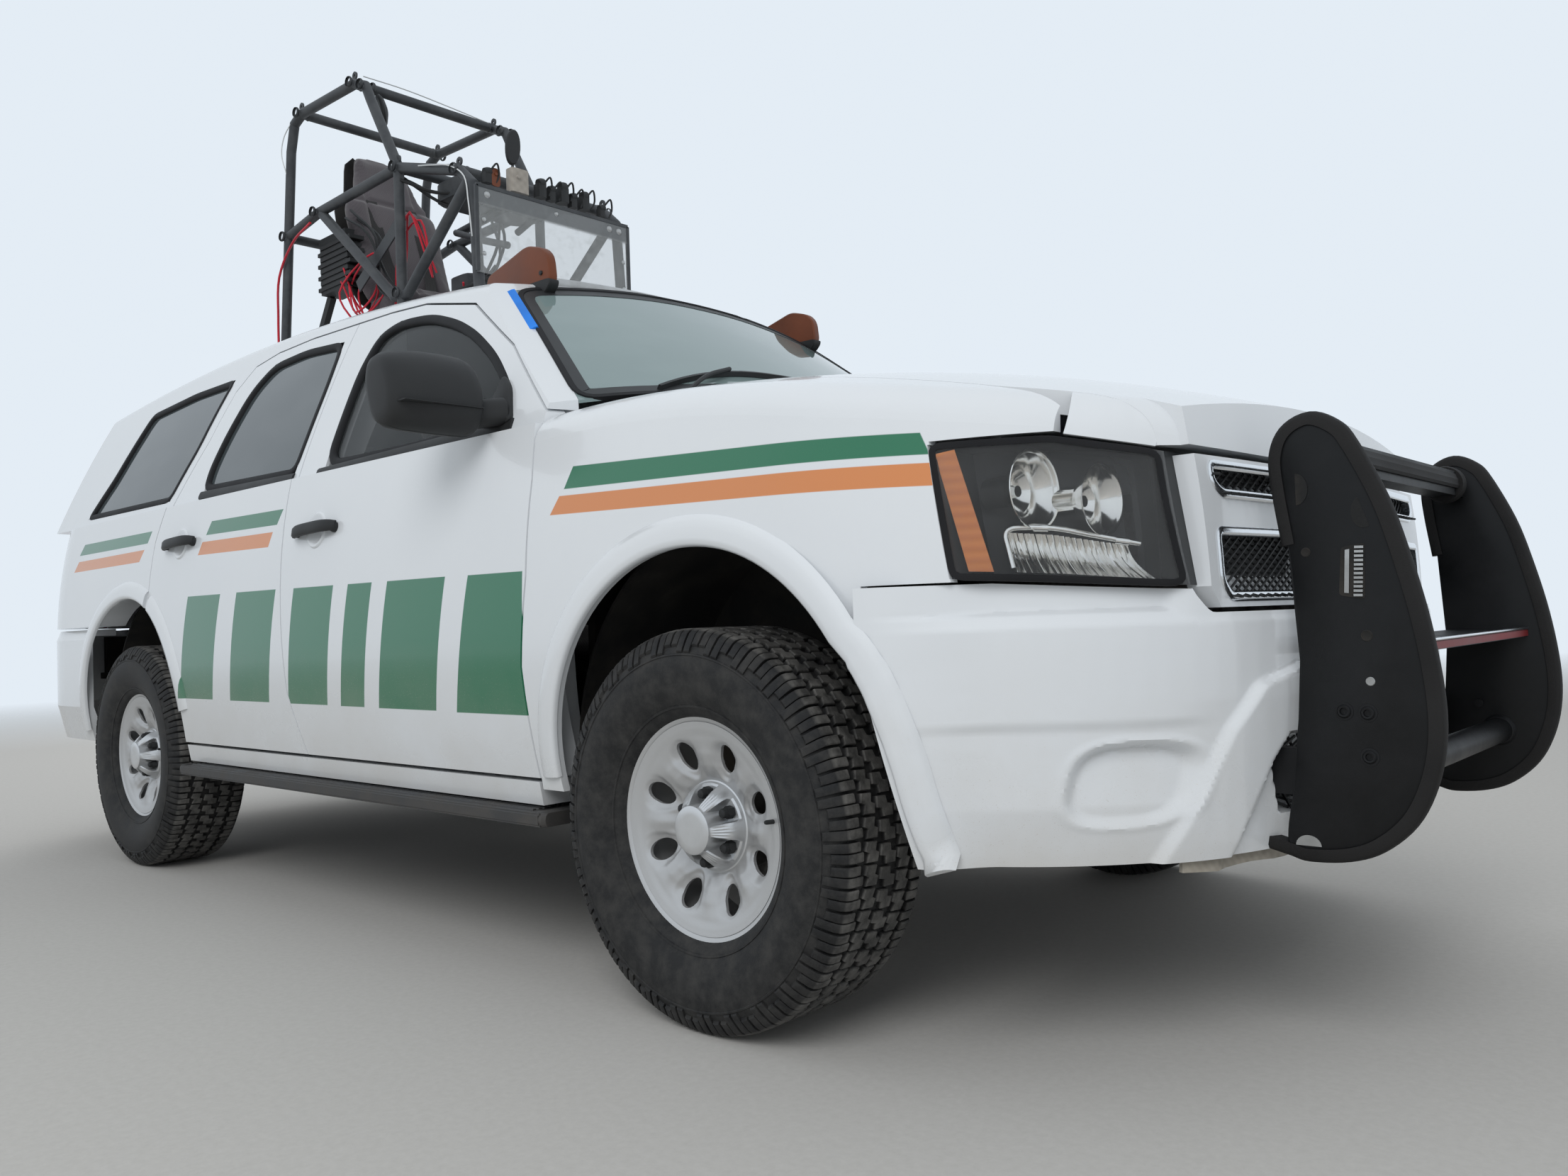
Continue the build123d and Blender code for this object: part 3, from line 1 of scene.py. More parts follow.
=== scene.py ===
# %% [markdown]
# # A police sport utility vehicle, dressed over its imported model
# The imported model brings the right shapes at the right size: panels, glass, wheels, frame and cage.
# This lesson gives them real finishes and adds what makes a vehicle look made: tread, trim, lamps,
# seals, fasteners and cushions. Every measure is in metres, X forward, Y to the left and Z up.
# Loading comes first, because every later piece is placed against these nodes and rides on a body.

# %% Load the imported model
import bmesh
import bpy
import random
from math import ceil, cos, hypot, pi, radians, sin, sqrt

from mathutils import Matrix, Vector
from mathutils.bvhtree import BVHTree


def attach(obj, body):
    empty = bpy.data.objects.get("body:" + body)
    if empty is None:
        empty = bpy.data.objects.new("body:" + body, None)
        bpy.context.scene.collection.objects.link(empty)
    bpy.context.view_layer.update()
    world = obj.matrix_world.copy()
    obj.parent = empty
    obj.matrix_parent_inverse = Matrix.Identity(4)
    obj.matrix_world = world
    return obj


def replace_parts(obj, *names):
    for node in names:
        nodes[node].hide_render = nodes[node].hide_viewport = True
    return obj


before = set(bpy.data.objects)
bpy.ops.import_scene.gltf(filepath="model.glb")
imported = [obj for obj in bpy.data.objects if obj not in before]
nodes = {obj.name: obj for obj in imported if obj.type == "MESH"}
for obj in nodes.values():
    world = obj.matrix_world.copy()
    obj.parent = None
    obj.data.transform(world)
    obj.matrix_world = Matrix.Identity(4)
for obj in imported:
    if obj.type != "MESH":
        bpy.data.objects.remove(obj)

scene = bpy.context.scene
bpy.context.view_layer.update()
SIDES = {"right": -1, "left": 1}
UP = Vector((0, 0, 1))

# %% [markdown]
# ## The camera
# A camera is a position, a direction and a lens. These values were solved from the wheels and the
# width of the body, so the render has the same perspective as the photograph. The matrix is written
# column by column: the picture's right, its up, and the way back from the object.

# %% Camera
AXLE_X = 1.4675
EYE = (AXLE_X + 1.726, -2.588, 0.795)
LENS_MM, SENSOR_MM = 27.49, 36
YAW, PITCH, ROLL = radians(132.26), radians(1.64), radians(-1.98)
ahead = Vector((cos(PITCH) * cos(YAW), cos(PITCH) * sin(YAW), sin(PITCH)))
level = ahead.cross(UP).normalized()
lifted = level.cross(ahead)
rightward = cos(ROLL) * level + sin(ROLL) * lifted
upward = -sin(ROLL) * level + cos(ROLL) * lifted
camera = bpy.data.objects.new("camera", bpy.data.cameras.new("camera"))
scene.collection.objects.link(camera)
camera.data.sensor_width = SENSOR_MM
camera.data.lens = LENS_MM
camera.matrix_world = Matrix.Translation(EYE) @ Matrix(
    (rightward, upward, -ahead)
).transposed().to_4x4()
scene.camera = camera
print("camera at", tuple(round(v, 3) for v in camera.location))

# %% [markdown]
# ## Shader maths
# A finish is a small program of nodes. Wiring it by hand is long, so one class wraps an output and
# lets Python's operators add the Math nodes: `1 - mask` or `grain * 0.2 + 0.4` read as they work.
# Any other node comes from the `node` method: its settings are set first, then its sockets.

# %% One wire of a finish
class Wire:
    """One value, colour or vector on its way through a finish."""

    def __init__(self, tree, socket=None):
        self.tree, self.socket = tree, socket

    def node(self, kind, settings=None, sockets=None, out=0):
        """Any node: its settings first, then values or links for its sockets."""
        made = self.tree.nodes.new(kind)
        for name, value in (settings or {}).items():
            if name == "stops":
                ramp = made.color_ramp
                while len(ramp.elements) < len(value):
                    ramp.elements.new(0.5)
                for stop, (place, colour) in zip(ramp.elements, value):
                    stop.position, stop.color = place, colour
            else:
                setattr(made, name, value)
        for name, value in (sockets or {}).items():
            if isinstance(value, Wire):
                self.tree.links.new(value.socket, made.inputs[name])
            else:
                made.inputs[name].default_value = value
        return Wire(self.tree, made.outputs[out])

    def math(self, operation, first, second=0.0, clamp=False):
        if self.socket.type in ("VECTOR", "RGBA"):
            pair = [v if isinstance(v, Wire) else (v,) * 3 for v in (first, second)]
            kind, settings = "ShaderNodeVectorMath", {"operation": operation}
        else:
            pair = [first, second]
            kind, settings = "ShaderNodeMath", {"operation": operation, "use_clamp": clamp}
        return self.node(kind, settings, {0: pair[0], 1: pair[1]})

    def of(self, operation):
        """A function of one value, such as SINE or SQRT."""
        return self.math(operation, self)

    def __add__(self, other):
        return self.math("ADD", self, other)

    def __radd__(self, other):
        return self.math("ADD", other, self)

    def __sub__(self, other):
        return self.math("SUBTRACT", self, other)

    def __rsub__(self, other):
        return self.math("SUBTRACT", other, self)

    def __mul__(self, other):
        return self.math("MULTIPLY", self, other)

    def __rmul__(self, other):
        return self.math("MULTIPLY", other, self)

    def __abs__(self):
        return self.math("ABSOLUTE", self)

    def least(self, other):
        return self.math("MINIMUM", self, other)

    def most(self, other):
        return self.math("MAXIMUM", self, other)

    def rise(self, low, high):
        """0 below low, 1 above high and a straight ramp between; high may be the smaller."""
        return self.node(
            "ShaderNodeMapRange", {"clamp": True},
            {"Value": self, "From Min": low, "From Max": high, "To Min": 0.0, "To Max": 1.0},
        )

    def mix(self, dark, light):
        """A colour between two colours, with this wire as the share of the second."""
        return self.node("ShaderNodeMix", {"data_type": "RGBA"}, {0: self, 6: dark, 7: light}, 2)

    def noise(self, scale, detail=3.0, roughness=0.5, stretch=None):
        """Clouds of a size; stretch squeezes them along the axes."""
        where = self
        if stretch:
            where = self.node("ShaderNodeMapping", None, {"Vector": self, "Scale": stretch})
        return self.node(
            "ShaderNodeTexNoise", None,
            {"Vector": where, "Scale": scale, "Detail": detail, "Roughness": roughness},
        )

    def axes(self):
        """The three parts of a vector."""
        return [self.node("ShaderNodeSeparateXYZ", None, {0: self}, i) for i in range(3)]


def rgb(red, green, blue):
    return (red, green, blue, 1.0)


class Finish:
    """A material with its shader and the row's own coordinates."""

    def __init__(self, name, **even):
        self.material = bpy.data.materials.new(name)
        self.material.use_nodes = True
        tree = self.material.node_tree
        self.shader = tree.nodes["Principled BSDF"]
        for key, value in even.items():
            self.shader.inputs[key.replace("_", " ")].default_value = value
        blank = Wire(tree)
        self.spot = blank.node("ShaderNodeTexCoord", out=3)
        self.facing = blank.node("ShaderNodeTexCoord", out=1)
        self.x, self.y, self.z = self.spot.axes()

    def feed(self, socket, wire):
        self.material.node_tree.links.new(wire.socket, self.shader.inputs[socket])
        return self

    def bump(self, height, distance, strength=1.0):
        bumped = height.node(
            "ShaderNodeBump", None, {"Height": height, "Distance": distance, "Strength": strength}
        )
        return self.feed("Normal", bumped)


print("shader maths ready")

# %% [markdown]
# ## White paint and its stripes
# The body is white enamel under clear coat. The green and orange stripes are vinyl, cut on a
# slant. They could be thin strips of mesh, but a mask in the paint never floats or flickers: each
# stripe is the area on the inner side of four straight lines in the side view. The paint also
# carries a film of road dust that grows towards the sill, and the finest ripple of sprayed
# enamel.

# %% Paint
WHITE = rgb(0.700, 0.728, 0.755)
DUST = rgb(0.42, 0.38, 0.32)
GREEN = rgb(0.012, 0.150, 0.072)
ORANGE = rgb(0.620, 0.225, 0.070)
DUST_TOP, DUST_FOOT = 0.78, 0.36


def inside(x, z, corners, soft=0.0008):
    """1 inside a convex outline that runs anticlockwise in the side view, else 0."""
    nearest = None
    for (x0, z0), (x1, z1) in zip(corners, corners[1:] + corners[:1]):
        length = hypot(x1 - x0, z1 - z0)
        nx, nz = (z0 - z1) / length, (x1 - x0) / length
        depth = x * nx + z * nz - (nx * (x0 + AXLE_X) + nz * z0)
        nearest = depth if nearest is None else nearest.least(depth)
    return nearest.rise(-soft, soft)


def paint(name, marks=()):
    """White enamel with slanted marks, given as a colour and its corners from the front axle."""
    made = Finish(name, Coat_Weight=0.5, Coat_Roughness=0.04, Specular_IOR_Level=0.5)
    cloud = made.spot.noise(2.3, 5.0, 0.6)
    speck = made.spot.noise(420.0, 2.0).rise(0.66, 0.74)
    low = made.z.rise(DUST_TOP, DUST_FOOT)
    film = (low * cloud.rise(0.32, 0.75) * 0.55 + speck * low * 0.5 + speck * 0.05)
    colour = cloud.rise(0.3, 0.7).mix(rgb(0.680, 0.708, 0.738), WHITE)
    if marks:
        outward = (made.y * made.facing.axes()[1]).rise(0.10, 0.14)
        for tint, corners in marks:
            mask = inside(made.x, made.z, corners) * outward
            colour = mask.mix(colour, tint)
    made.feed("Base Color", film.least(0.6).mix(colour, DUST))
    made.feed("Roughness", film * 0.45 + 0.22)
    made.bump(made.spot.noise(900.0, 1.0), 0.00006)
    return made


def pair(green, orange):
    return [(GREEN, green), (ORANGE, orange)]


BLOCKS = [
    [(-2.452, 0.612), (-2.200, 0.612), (-2.118, 0.945), (-2.370, 0.947)],
    [(-2.070, 0.611), (-1.800, 0.611), (-1.733, 0.943), (-2.000, 0.945)],
    [(-1.675, 0.610), (-1.442, 0.610), (-1.386, 0.939), (-1.620, 0.941)],
    [(-1.367, 0.609), (-1.240, 0.609), (-1.178, 0.937), (-1.305, 0.938)],
    [(-1.165, 0.608), (-0.890, 0.608), (-0.828, 0.934), (-1.100, 0.936)],
    [(-0.800, 0.606), (-0.512, 0.606), (-0.512, 0.930), (-0.730, 0.932)],
]
FENDER_MARKS = pair(
    [(-0.377, 1.102), (0.551, 1.072), (0.533, 1.111), (-0.352, 1.150)],
    [(-0.420, 1.048), (0.577, 1.017), (0.560, 1.057), (-0.391, 1.088)],
)
REAR_DOOR_MARKS = pair(
    [(-2.276, 1.143), (-1.766, 1.136), (-1.738, 1.181), (-2.248, 1.187)],
    [(-2.320, 1.080), (-1.806, 1.072), (-1.786, 1.116), (-2.296, 1.122)],
)
QUARTER_MARKS = pair(
    [(-3.475, 1.150), (-2.777, 1.151), (-2.753, 1.193), (-3.437, 1.192)],
    [(-3.509, 1.086), (-2.831, 1.088), (-2.797, 1.130), (-3.471, 1.126)],
)
paint_plain = paint("white_enamel")
paint_fender = paint("fender_enamel", FENDER_MARKS)
paint_front_door = paint("front_door_enamel", [(GREEN, c) for c in BLOCKS[2:]])
paint_rear_door = paint("rear_door_enamel", REAR_DOOR_MARKS + [(GREEN, c) for c in BLOCKS[:2]])
paint_quarter = paint("quarter_enamel", QUARTER_MARKS)
print("five kinds of paint")

# %% [markdown]
# ## Plastic, rubber and glass
# Moulded black plastic has a fine leather-like grain that catches light; rubber is duller and holds
# dust. Glass is made as a dark or clear sheet whose alpha rises where it is seen at a low angle, as
# real glass turns into a mirror there. That is quick to render, and the model keeps it on export.

# %% Plastic, rubber and glass
def grained(name, colour, roughness=0.5, scale=700.0, depth=0.00025):
    made = Finish(name, Specular_IOR_Level=0.4)
    grain = made.spot.noise(scale, 2.0)
    worn = made.spot.noise(6.0, 4.0).rise(0.35, 0.75)
    lighter = tuple(min(1.0, c * 1.7 + 0.006) for c in colour[:3]) + (1.0,)
    made.feed("Base Color", (worn * 0.8).mix(colour, lighter))
    made.feed("Roughness", worn * 0.16 + roughness)
    return made.bump(grain, depth)


def sheet_of_glass(name, colour, clear, mirror, roughness=0.02):
    """Glass with one alpha seen straight on and another at a glancing angle."""
    made = Finish(name, Roughness=roughness, IOR=1.5, Specular_IOR_Level=0.6)
    edge = made.spot.node("ShaderNodeLayerWeight", None, {"Blend": 0.35}, 1)
    smear = made.spot.noise(3.0, 4.0, stretch=(1.0, 1.0, 2.5)).rise(0.45, 0.9)
    made.feed("Alpha", edge * (mirror - clear) + smear * 0.05 + clear)
    dusty = tuple(c + 0.02 for c in colour[:3]) + (1.0,)
    return made.feed("Base Color", smear.mix(colour, dusty))


black_plastic = grained("grained_black_plastic", rgb(0.012, 0.0125, 0.013))
trim_plastic = grained("cabin_plastic", rgb(0.030, 0.029, 0.028), 0.6)
dark_housing = grained("lamp_housing", rgb(0.014, 0.015, 0.016), 0.42, 900.0, 0.00006)
seal_rubber = grained("seal_rubber", rgb(0.008, 0.008, 0.009), 0.62, 300.0)
tinted_glass = sheet_of_glass("tinted_glass", rgb(0.060, 0.074, 0.080), 0.93, 1.0)
door_glass = sheet_of_glass("door_glass", rgb(0.018, 0.022, 0.022), 0.10, 0.55)
screen_glass = sheet_of_glass("screen_glass", rgb(0.215, 0.290, 0.290), 0.82, 0.99)
clear_lens = sheet_of_glass("clear_lens", rgb(0.30, 0.31, 0.32), 0.05, 0.40)
acrylic = sheet_of_glass("acrylic_sheet", rgb(0.48, 0.50, 0.50), 0.22, 0.7, 0.12)
band = acrylic.z.rise(2.222, 2.232)
acrylic.feed("Base Color", band.mix(rgb(0.48, 0.50, 0.50), rgb(0.16, 0.17, 0.175)))
acrylic.feed("Alpha", band * 0.6 + acrylic.spot.noise(30.0, 5.0).rise(0.5, 0.75) * 0.12 + 0.24)
print("plastics and glass")

# %% [markdown]
# ## Metal, lamps and cloth
# Wheel paint dulls with brake dust, which gathers round the hub, so its mask is the distance from
# the axle. Both axles lie the same distance from one plane, and one formula serves all four
# wheels. Steel under the vehicle is dark and dusty. The push bumper's powder coat has fine
# scratches. Lamp lenses have prisms. The cushions' cloth is a weave of two crossed sets of
# threads.

# %% Metal, lamps and cloth
AXLE_MIDDLE_X, HALF_BASE = -0.0055, 1.473
WHEEL_Z = 0.395


def around_wheel(made):
    """Distance from the nearer axle in the side view."""
    fore = abs(made.x - AXLE_MIDDLE_X) - HALF_BASE
    up = made.z - WHEEL_Z
    return (fore * fore + up * up).of("SQRT")


def metal(
    name, colour, roughness, metallic=1.0, dirt=0.3, dirt_colour=rgb(0.10, 0.08, 0.06), grain=300.0
):
    made = Finish(name, Metallic=metallic)
    cloud = made.spot.noise(9.0, 6.0, 0.65).rise(0.42, 0.72) * dirt
    fine = made.spot.noise(grain, 2.0)
    made.feed("Base Color", cloud.mix(colour, dirt_colour))
    made.feed("Roughness", cloud * 0.4 + fine * 0.12 + roughness)
    return made.bump(fine, 0.00012)


wheel_paint = metal("wheel_paint", rgb(0.52, 0.525, 0.53), 0.30, 0.55, 0.25, rgb(0.30, 0.28, 0.25))
soot = around_wheel(wheel_paint).rise(0.20, 0.09) * wheel_paint.spot.noise(30.0, 4.0)
wheel_paint.feed("Base Color", (soot * 0.5).mix(rgb(0.52, 0.525, 0.53), rgb(0.16, 0.15, 0.14)))
bright_cap = metal(
    "bright_cap", rgb(0.64, 0.65, 0.66), 0.24, 0.75, 0.25, rgb(0.3, 0.29, 0.27), 1500.0
)
bright_trim = metal("bright_trim", rgb(0.78, 0.80, 0.82), 0.10, 1.0, 0.1, rgb(0.4, 0.4, 0.4))
mirror_metal = metal("reflector", rgb(0.88, 0.87, 0.84), 0.07, 1.0, 0.05, rgb(0.6, 0.6, 0.55), 60.0)
bare_metal = metal("bare_metal", rgb(0.50, 0.50, 0.49), 0.32, 1.0, 0.3)
cast_metal = metal(
    "cast_metal", rgb(0.20, 0.19, 0.18), 0.60, 0.7, 0.8, rgb(0.08, 0.055, 0.04), 160.0
)
chassis_steel = metal(
    "chassis_steel", rgb(0.030, 0.029, 0.028), 0.55, 0.3, 0.9, rgb(0.09, 0.07, 0.05)
)
liner_felt = metal(
    "liner_plastic", rgb(0.010, 0.010, 0.010), 0.75, 0.0, 0.9, rgb(0.05, 0.045, 0.04), 240.0
)
push_coat = metal(
    "push_coat", rgb(0.0060, 0.0064, 0.0070), 0.36, 0.0, 0.3, rgb(0.022, 0.022, 0.024), 900.0
)
board_metal = metal("board_metal", rgb(0.055, 0.055, 0.056), 0.42, 0.5, 0.7, rgb(0.12, 0.11, 0.10))
cage_paint = metal(
    "cage_paint", rgb(0.040, 0.043, 0.047), 0.42, 0.25, 0.55, rgb(0.13, 0.135, 0.14), 380.0
)
edge_rubber = grained("edge_rubber", rgb(0.011, 0.0105, 0.0105), 0.6, 420.0, 0.0005)
for dull in (push_coat, edge_rubber, seal_rubber):
    dull.shader.inputs["Specular IOR Level"].default_value = 0.25

tyre_rubber = Finish("tyre_rubber", Specular_IOR_Level=0.35)
dust = tyre_rubber.spot.noise(26.0, 6.0, 0.65).rise(0.40, 0.75)
tread_dust = around_wheel(tyre_rubber).rise(0.3895, 0.3935)
coating = dust * 0.22 + tread_dust * (dust * 0.55 + 0.22)
tyre_rubber.feed("Base Color", coating.mix(rgb(0.0125, 0.0125, 0.013), rgb(0.170, 0.165, 0.155)))
tyre_rubber.feed("Roughness", dust * 0.2 + 0.62)
tyre_rubber.bump(tyre_rubber.spot.noise(260.0, 3.0), 0.0005)


def lens(name, colour, deep, roughness=0.12, prisms=320.0):
    made = Finish(name, Roughness=roughness, Coat_Weight=0.8, Coat_Roughness=0.03)
    ribs = (made.z * prisms).of("SINE") * 0.5 + 0.5
    cloud = made.spot.noise(14.0, 2.0)
    made.feed("Base Color", (ribs * 0.35 + cloud * 0.3).mix(colour, deep))
    return made.bump(ribs, 0.0006)


amber_lens = lens("amber_lens", rgb(0.62, 0.20, 0.030), rgb(0.40, 0.10, 0.012))
red_lens = lens("red_lens", rgb(0.38, 0.006, 0.006), rgb(0.17, 0.002, 0.003))
brown_plate = grained("amber_brown_plate", rgb(0.100, 0.026, 0.008), 0.38, 90.0)


def cloth(name, colour, threads=700.0, sheen=0.35):
    """Woven cloth: two crossed waves of thread, with a soft sheen."""
    made = Finish(name, Roughness=0.88, Sheen_Weight=sheen, Specular_IOR_Level=0.2)
    across = (made.y * threads).of("SINE")
    along = ((made.x + made.z) * threads).of("SINE")
    weave = across * along * 0.5 + 0.5
    soil = made.spot.noise(5.0, 5.0).rise(0.4, 0.8)
    darker = tuple(c * 0.55 for c in colour[:3]) + (1.0,)
    made.feed("Base Color", (weave * 0.35 + soil * 0.4).mix(colour, darker))
    return made.bump(weave, 0.0006)


seat_cloth = cloth("seat_cloth", rgb(0.085, 0.080, 0.080))
cage_cloth = cloth("cage_seat_cloth", rgb(0.105, 0.095, 0.105))
webbing = cloth("webbing", rgb(0.012, 0.012, 0.013), 900.0)
blue_tape = grained("blue_tape", rgb(0.012, 0.165, 0.600), 0.55, 200.0)
red_wire = grained("red_wire", rgb(0.42, 0.015, 0.030), 0.4)
pale_wire = grained("pale_wire", rgb(0.50, 0.52, 0.53), 0.35)
print("metals, lamps and cloth")

# %% [markdown]
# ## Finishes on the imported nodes
# A node keeps its mesh and only gets a better material in its slots. The table says which.

# %% Dress the nodes
DRESS = {
    paint_plain: ["hood", "roof_panel", "liftgate", "grille", "front_bumper", "rear_bumper"],
    paint_fender: ["front_fenders"], paint_front_door: ["front_door_left", "front_door_right"],
    paint_rear_door: ["rear_door_left", "rear_door_right"],
    paint_quarter: ["body_side_left", "body_side_right"],
    tinted_glass: [
        "rear_door_glass_left", "rear_door_glass_right", "quarter_glass", "liftgate_glass"
    ],
    door_glass: ["front_door_glass_left", "front_door_glass_right"], screen_glass: ["windscreen"],
    black_plastic: ["mirror_left", "mirror_right", "cowl"], clear_lens: ["headlamp_lenses"],
    dark_housing: ["headlamp_housings"], red_lens: ["tail_lamps"], board_metal: ["running_boards"],
    tyre_rubber: ["front_tyre_left", "front_tyre_right", "rear_tyre_left", "rear_tyre_right"],
    wheel_paint: ["front_rim_left", "front_rim_right", "rear_rim_left", "rear_rim_right"],
    cast_metal: ["knuckle_left", "knuckle_right", "front_suspension", "rear_axle", "powertrain"],
    chassis_steel: ["chassis_frame", "underbody"], liner_felt: ["floor_pan"], seat_cloth: ["seats"],
    trim_plastic: ["dashboard"], push_coat: ["push_bumper"], bare_metal: ["roof_bar"],
    cage_paint: ["cage_frame"], acrylic: ["cage_screen"], cage_cloth: ["cage_seat"],
}
for made, names in DRESS.items():
    for name in names:
        for slot in nodes[name].material_slots:
            slot.material = made.material
print("dressed", sum(len(names) for names in DRESS.values()), "nodes")

# %% [markdown]
# ## Mesh helpers
# Most of the added pieces are one of four shapes: a section carried along a path, a profile turned
# about an axis, an outline given a thickness, or a grid of points. Each helper returns vertices and
# faces, so that many small shapes, such as tread blocks, can be gathered into one piece.

# %% Gather shapes into a piece
class Stock:
    """Vertices and faces gathered for one piece."""

    def __init__(self):
        self.verts, self.faces = [], []

    def add(self, shape):
        first = len(self.verts)
        self.verts += [Vector(v) for v in shape[0]]
        self.faces += [tuple(i + first for i in face) for face in shape[1]]
        return self

    def thing(self, name, merge=True):
        """A linked mesh object with its normals turned outwards."""
        data = bpy.data.meshes.new(name)
        data.from_pydata([tuple(v) for v in self.verts], [], self.faces)
        shaped = bmesh.new()
        shaped.from_mesh(data)
        if merge:
            bmesh.ops.remove_doubles(shaped, verts=shaped.verts, dist=1e-6)
        bmesh.ops.recalc_face_normals(shaped, faces=shaped.faces)
        shaped.to_mesh(data)
        shaped.free()
        made = bpy.data.objects.new(name, data)
        scene.collection.objects.link(made)
        return made

    def piece(self, name, made, body="vehicle", sharp=38, slot=None):
        """Make the object and ride it on a body; the slot argument is not used."""
        made_piece = self.thing(name)
        made_piece.data.materials.append(made.material)
        made_piece.data.shade_smooth()
        made_piece.data.set_sharp_from_angle(angle=radians(sharp))
        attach(made_piece, body)
        return made_piece


def grid(rows, closed=False):
    """A sheet through rows of points; closed joins the last row to the first."""
    wide = len(rows[0])
    verts = [p for row in rows for p in row]
    faces = []
    for i in range(len(rows) - (0 if closed else 1)):
        j = (i + 1) % len(rows)
        faces += [
            (i * wide + k, i * wide + k + 1, j * wide + k + 1, j * wide + k)
            for k in range(wide - 1)
        ]
    return verts, faces


def tangents(points, closed=False):
    count = len(points)
    found = []
    for i in range(count):
        before = points[(i - 1) % count] if closed or i else points[i]
        after = points[(i + 1) % count] if closed or i < count - 1 else points[i]
        found.append((Vector(after) - Vector(before)).normalized())
    return found


def sweep(points, normals, section, closed=False, scale=None):
    """Carry a section of (across, up) pairs along a path whose normals are given."""
    rings = []
    for i, (p, n, t) in enumerate(zip(points, normals, tangents(points, closed))):
        across = t.cross(Vector(n)).normalized()
        up = across.cross(t).normalized()
        size = scale[i] if scale else 1.0
        ring = [Vector(p) + across * (a * size) + up * (u * size) for a, u in section]
        rings.append(ring + ring[:1])
    verts, faces = grid(rings, closed)
    if not closed:
        wide = len(rings[0])
        faces.append(tuple(range(wide - 1)))
        faces.append(tuple(len(verts) - wide + k for k in range(wide - 1)))
    return verts, faces


def carried(points, closed=False):
    """Normals carried along a path without twist."""
    way = tangents(points, closed)
    start = way[0].orthogonal().normalized()
    found = []
    for t in way:
        start = (start - t * start.dot(t)).normalized()
        found.append(start)
    return found


def circle(radius, count=10):
    return [
        (radius * cos(2 * pi * i / count), radius * sin(2 * pi * i / count)) for i in range(count)
    ]


def ridge(foot, low, top, high):
    """The section of a strip: half widths and heights of its foot and its top."""
    return [(-foot, low), (-top, high), (top, high), (foot, low)]


def tube(points, radius, sides=10, closed=False):
    points = [Vector(p) for p in points]
    return sweep(points, carried(points, closed), circle(radius, sides), closed)


def smooth_path(points, steps=6):
    """A rounder path through a few points, by Catmull and Rom's rule."""
    points = [Vector(p) for p in points]
    padded = [points[0] * 2 - points[1]] + points + [points[-1] * 2 - points[-2]]
    found = []
    for a, b, c, d in zip(padded, padded[1:], padded[2:], padded[3:]):
        for i in range(steps):
            t = i / steps
            found.append(
                0.5 * (2 * b + (c - a) * t + (2 * a - 5 * b + 4 * c - d) * t**2
                       + (3 * b - a - 3 * c + d) * t**3)
            )
    return found + [points[-1]]


def turned(profile, origin, axis, sides=48):
    """A profile of (radius, height) pairs turned about an axis; ends on the axis close it."""
    origin, axis = Vector(origin), Vector(axis).normalized()
    first = axis.orthogonal().normalized()
    second = axis.cross(first)
    rows = []
    for i in range(sides):
        angle = 2 * pi * i / sides
        out = first * cos(angle) + second * sin(angle)
        rows.append([origin + axis * h + out * r for r, h in profile])
    return grid(rows, True)


def slab(outline, low, high):
    """An outline of 3D points moved by two offsets, closed all round."""
    count = len(outline)
    verts = [Vector(p) + Vector(low) for p in outline] + [Vector(p) + Vector(high) for p in outline]
    faces = [tuple(range(count)), tuple(range(2 * count - 1, count - 1, -1))]
    faces += [(i, (i + 1) % count, (i + 1) % count + count, i + count) for i in range(count)]
    return verts, faces


def lofted(rings):
    """A closed skin through rings of points, with both ends filled."""
    rows = [ring + ring[:1] for ring in rings]
    verts, faces = grid(rows)
    wide = len(rows[0])
    faces.append(tuple(range(wide - 1)))
    faces.append(tuple(len(verts) - wide + k for k in range(wide - 1)))
    return verts, faces


def squared(width, height, power, count=36):
    """Points of a squared oval."""
    ring = []
    for i in range(count):
        a = 2 * pi * i / count
        c, s = cos(a), sin(a)
        size = (abs(c) ** power + abs(s) ** power) ** (-1 / power)
        ring.append((width * c * size, height * s * size))
    return ring


def span(a, b, count):
    """Evenly spaced numbers, both ends among them."""
    return [a + (b - a) * i / (count - 1) for i in range(count)]


def eased(value, low, high):
    """0 below low, 1 above high and an S curve between."""
    t = max(0.0, min(1.0, (value - low) / (high - low)))
    return t * t * (3 - 2 * t)


def at(x, y, z):
    """A point given by its distance ahead of the front axle."""
    return Vector((AXLE_X + x, y, z))


print("mesh helpers ready")

# %% [markdown]
# ## Feeling for the surface
# Trim has to sit on curved panels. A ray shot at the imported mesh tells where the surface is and
# which way it faces, so no piece needs a height typed by hand and none hovers.

# %% Probes
def skin_of(*names):
    verts, faces = [], []
    for name in names:
        data, first = nodes[name].data, len(verts)
        verts += [v.co.copy() for v in data.vertices]
        faces += [tuple(i + first for i in face.vertices) for face in data.polygons]
    return BVHTree.FromPolygons(verts, faces)


def probe(skin, start, way, lift=0.0):
    """Where a ray meets a skin, lifted along its normal, and the normal; None where it misses."""
    place, normal, _, _ = skin.ray_cast(Vector(start), Vector(way))
    if place is None:
        return None
    if normal.dot(Vector(way)) > 0:
        normal = -normal
    return place + normal * lift, normal


def on_side(skin, x, z, side, lift=0.0):
    return probe(skin, at(x, side * 1.5, z), (0, -side, 0), lift)


def on_top(skin, x, y, lift=0.0):
    return probe(skin, at(x, y, 2.6), (0, 0, -1), lift)


def on_front(skin, y, z, lift=0.0):
    return probe(skin, at(1.6, y, z), (-1, 0, 0), lift)


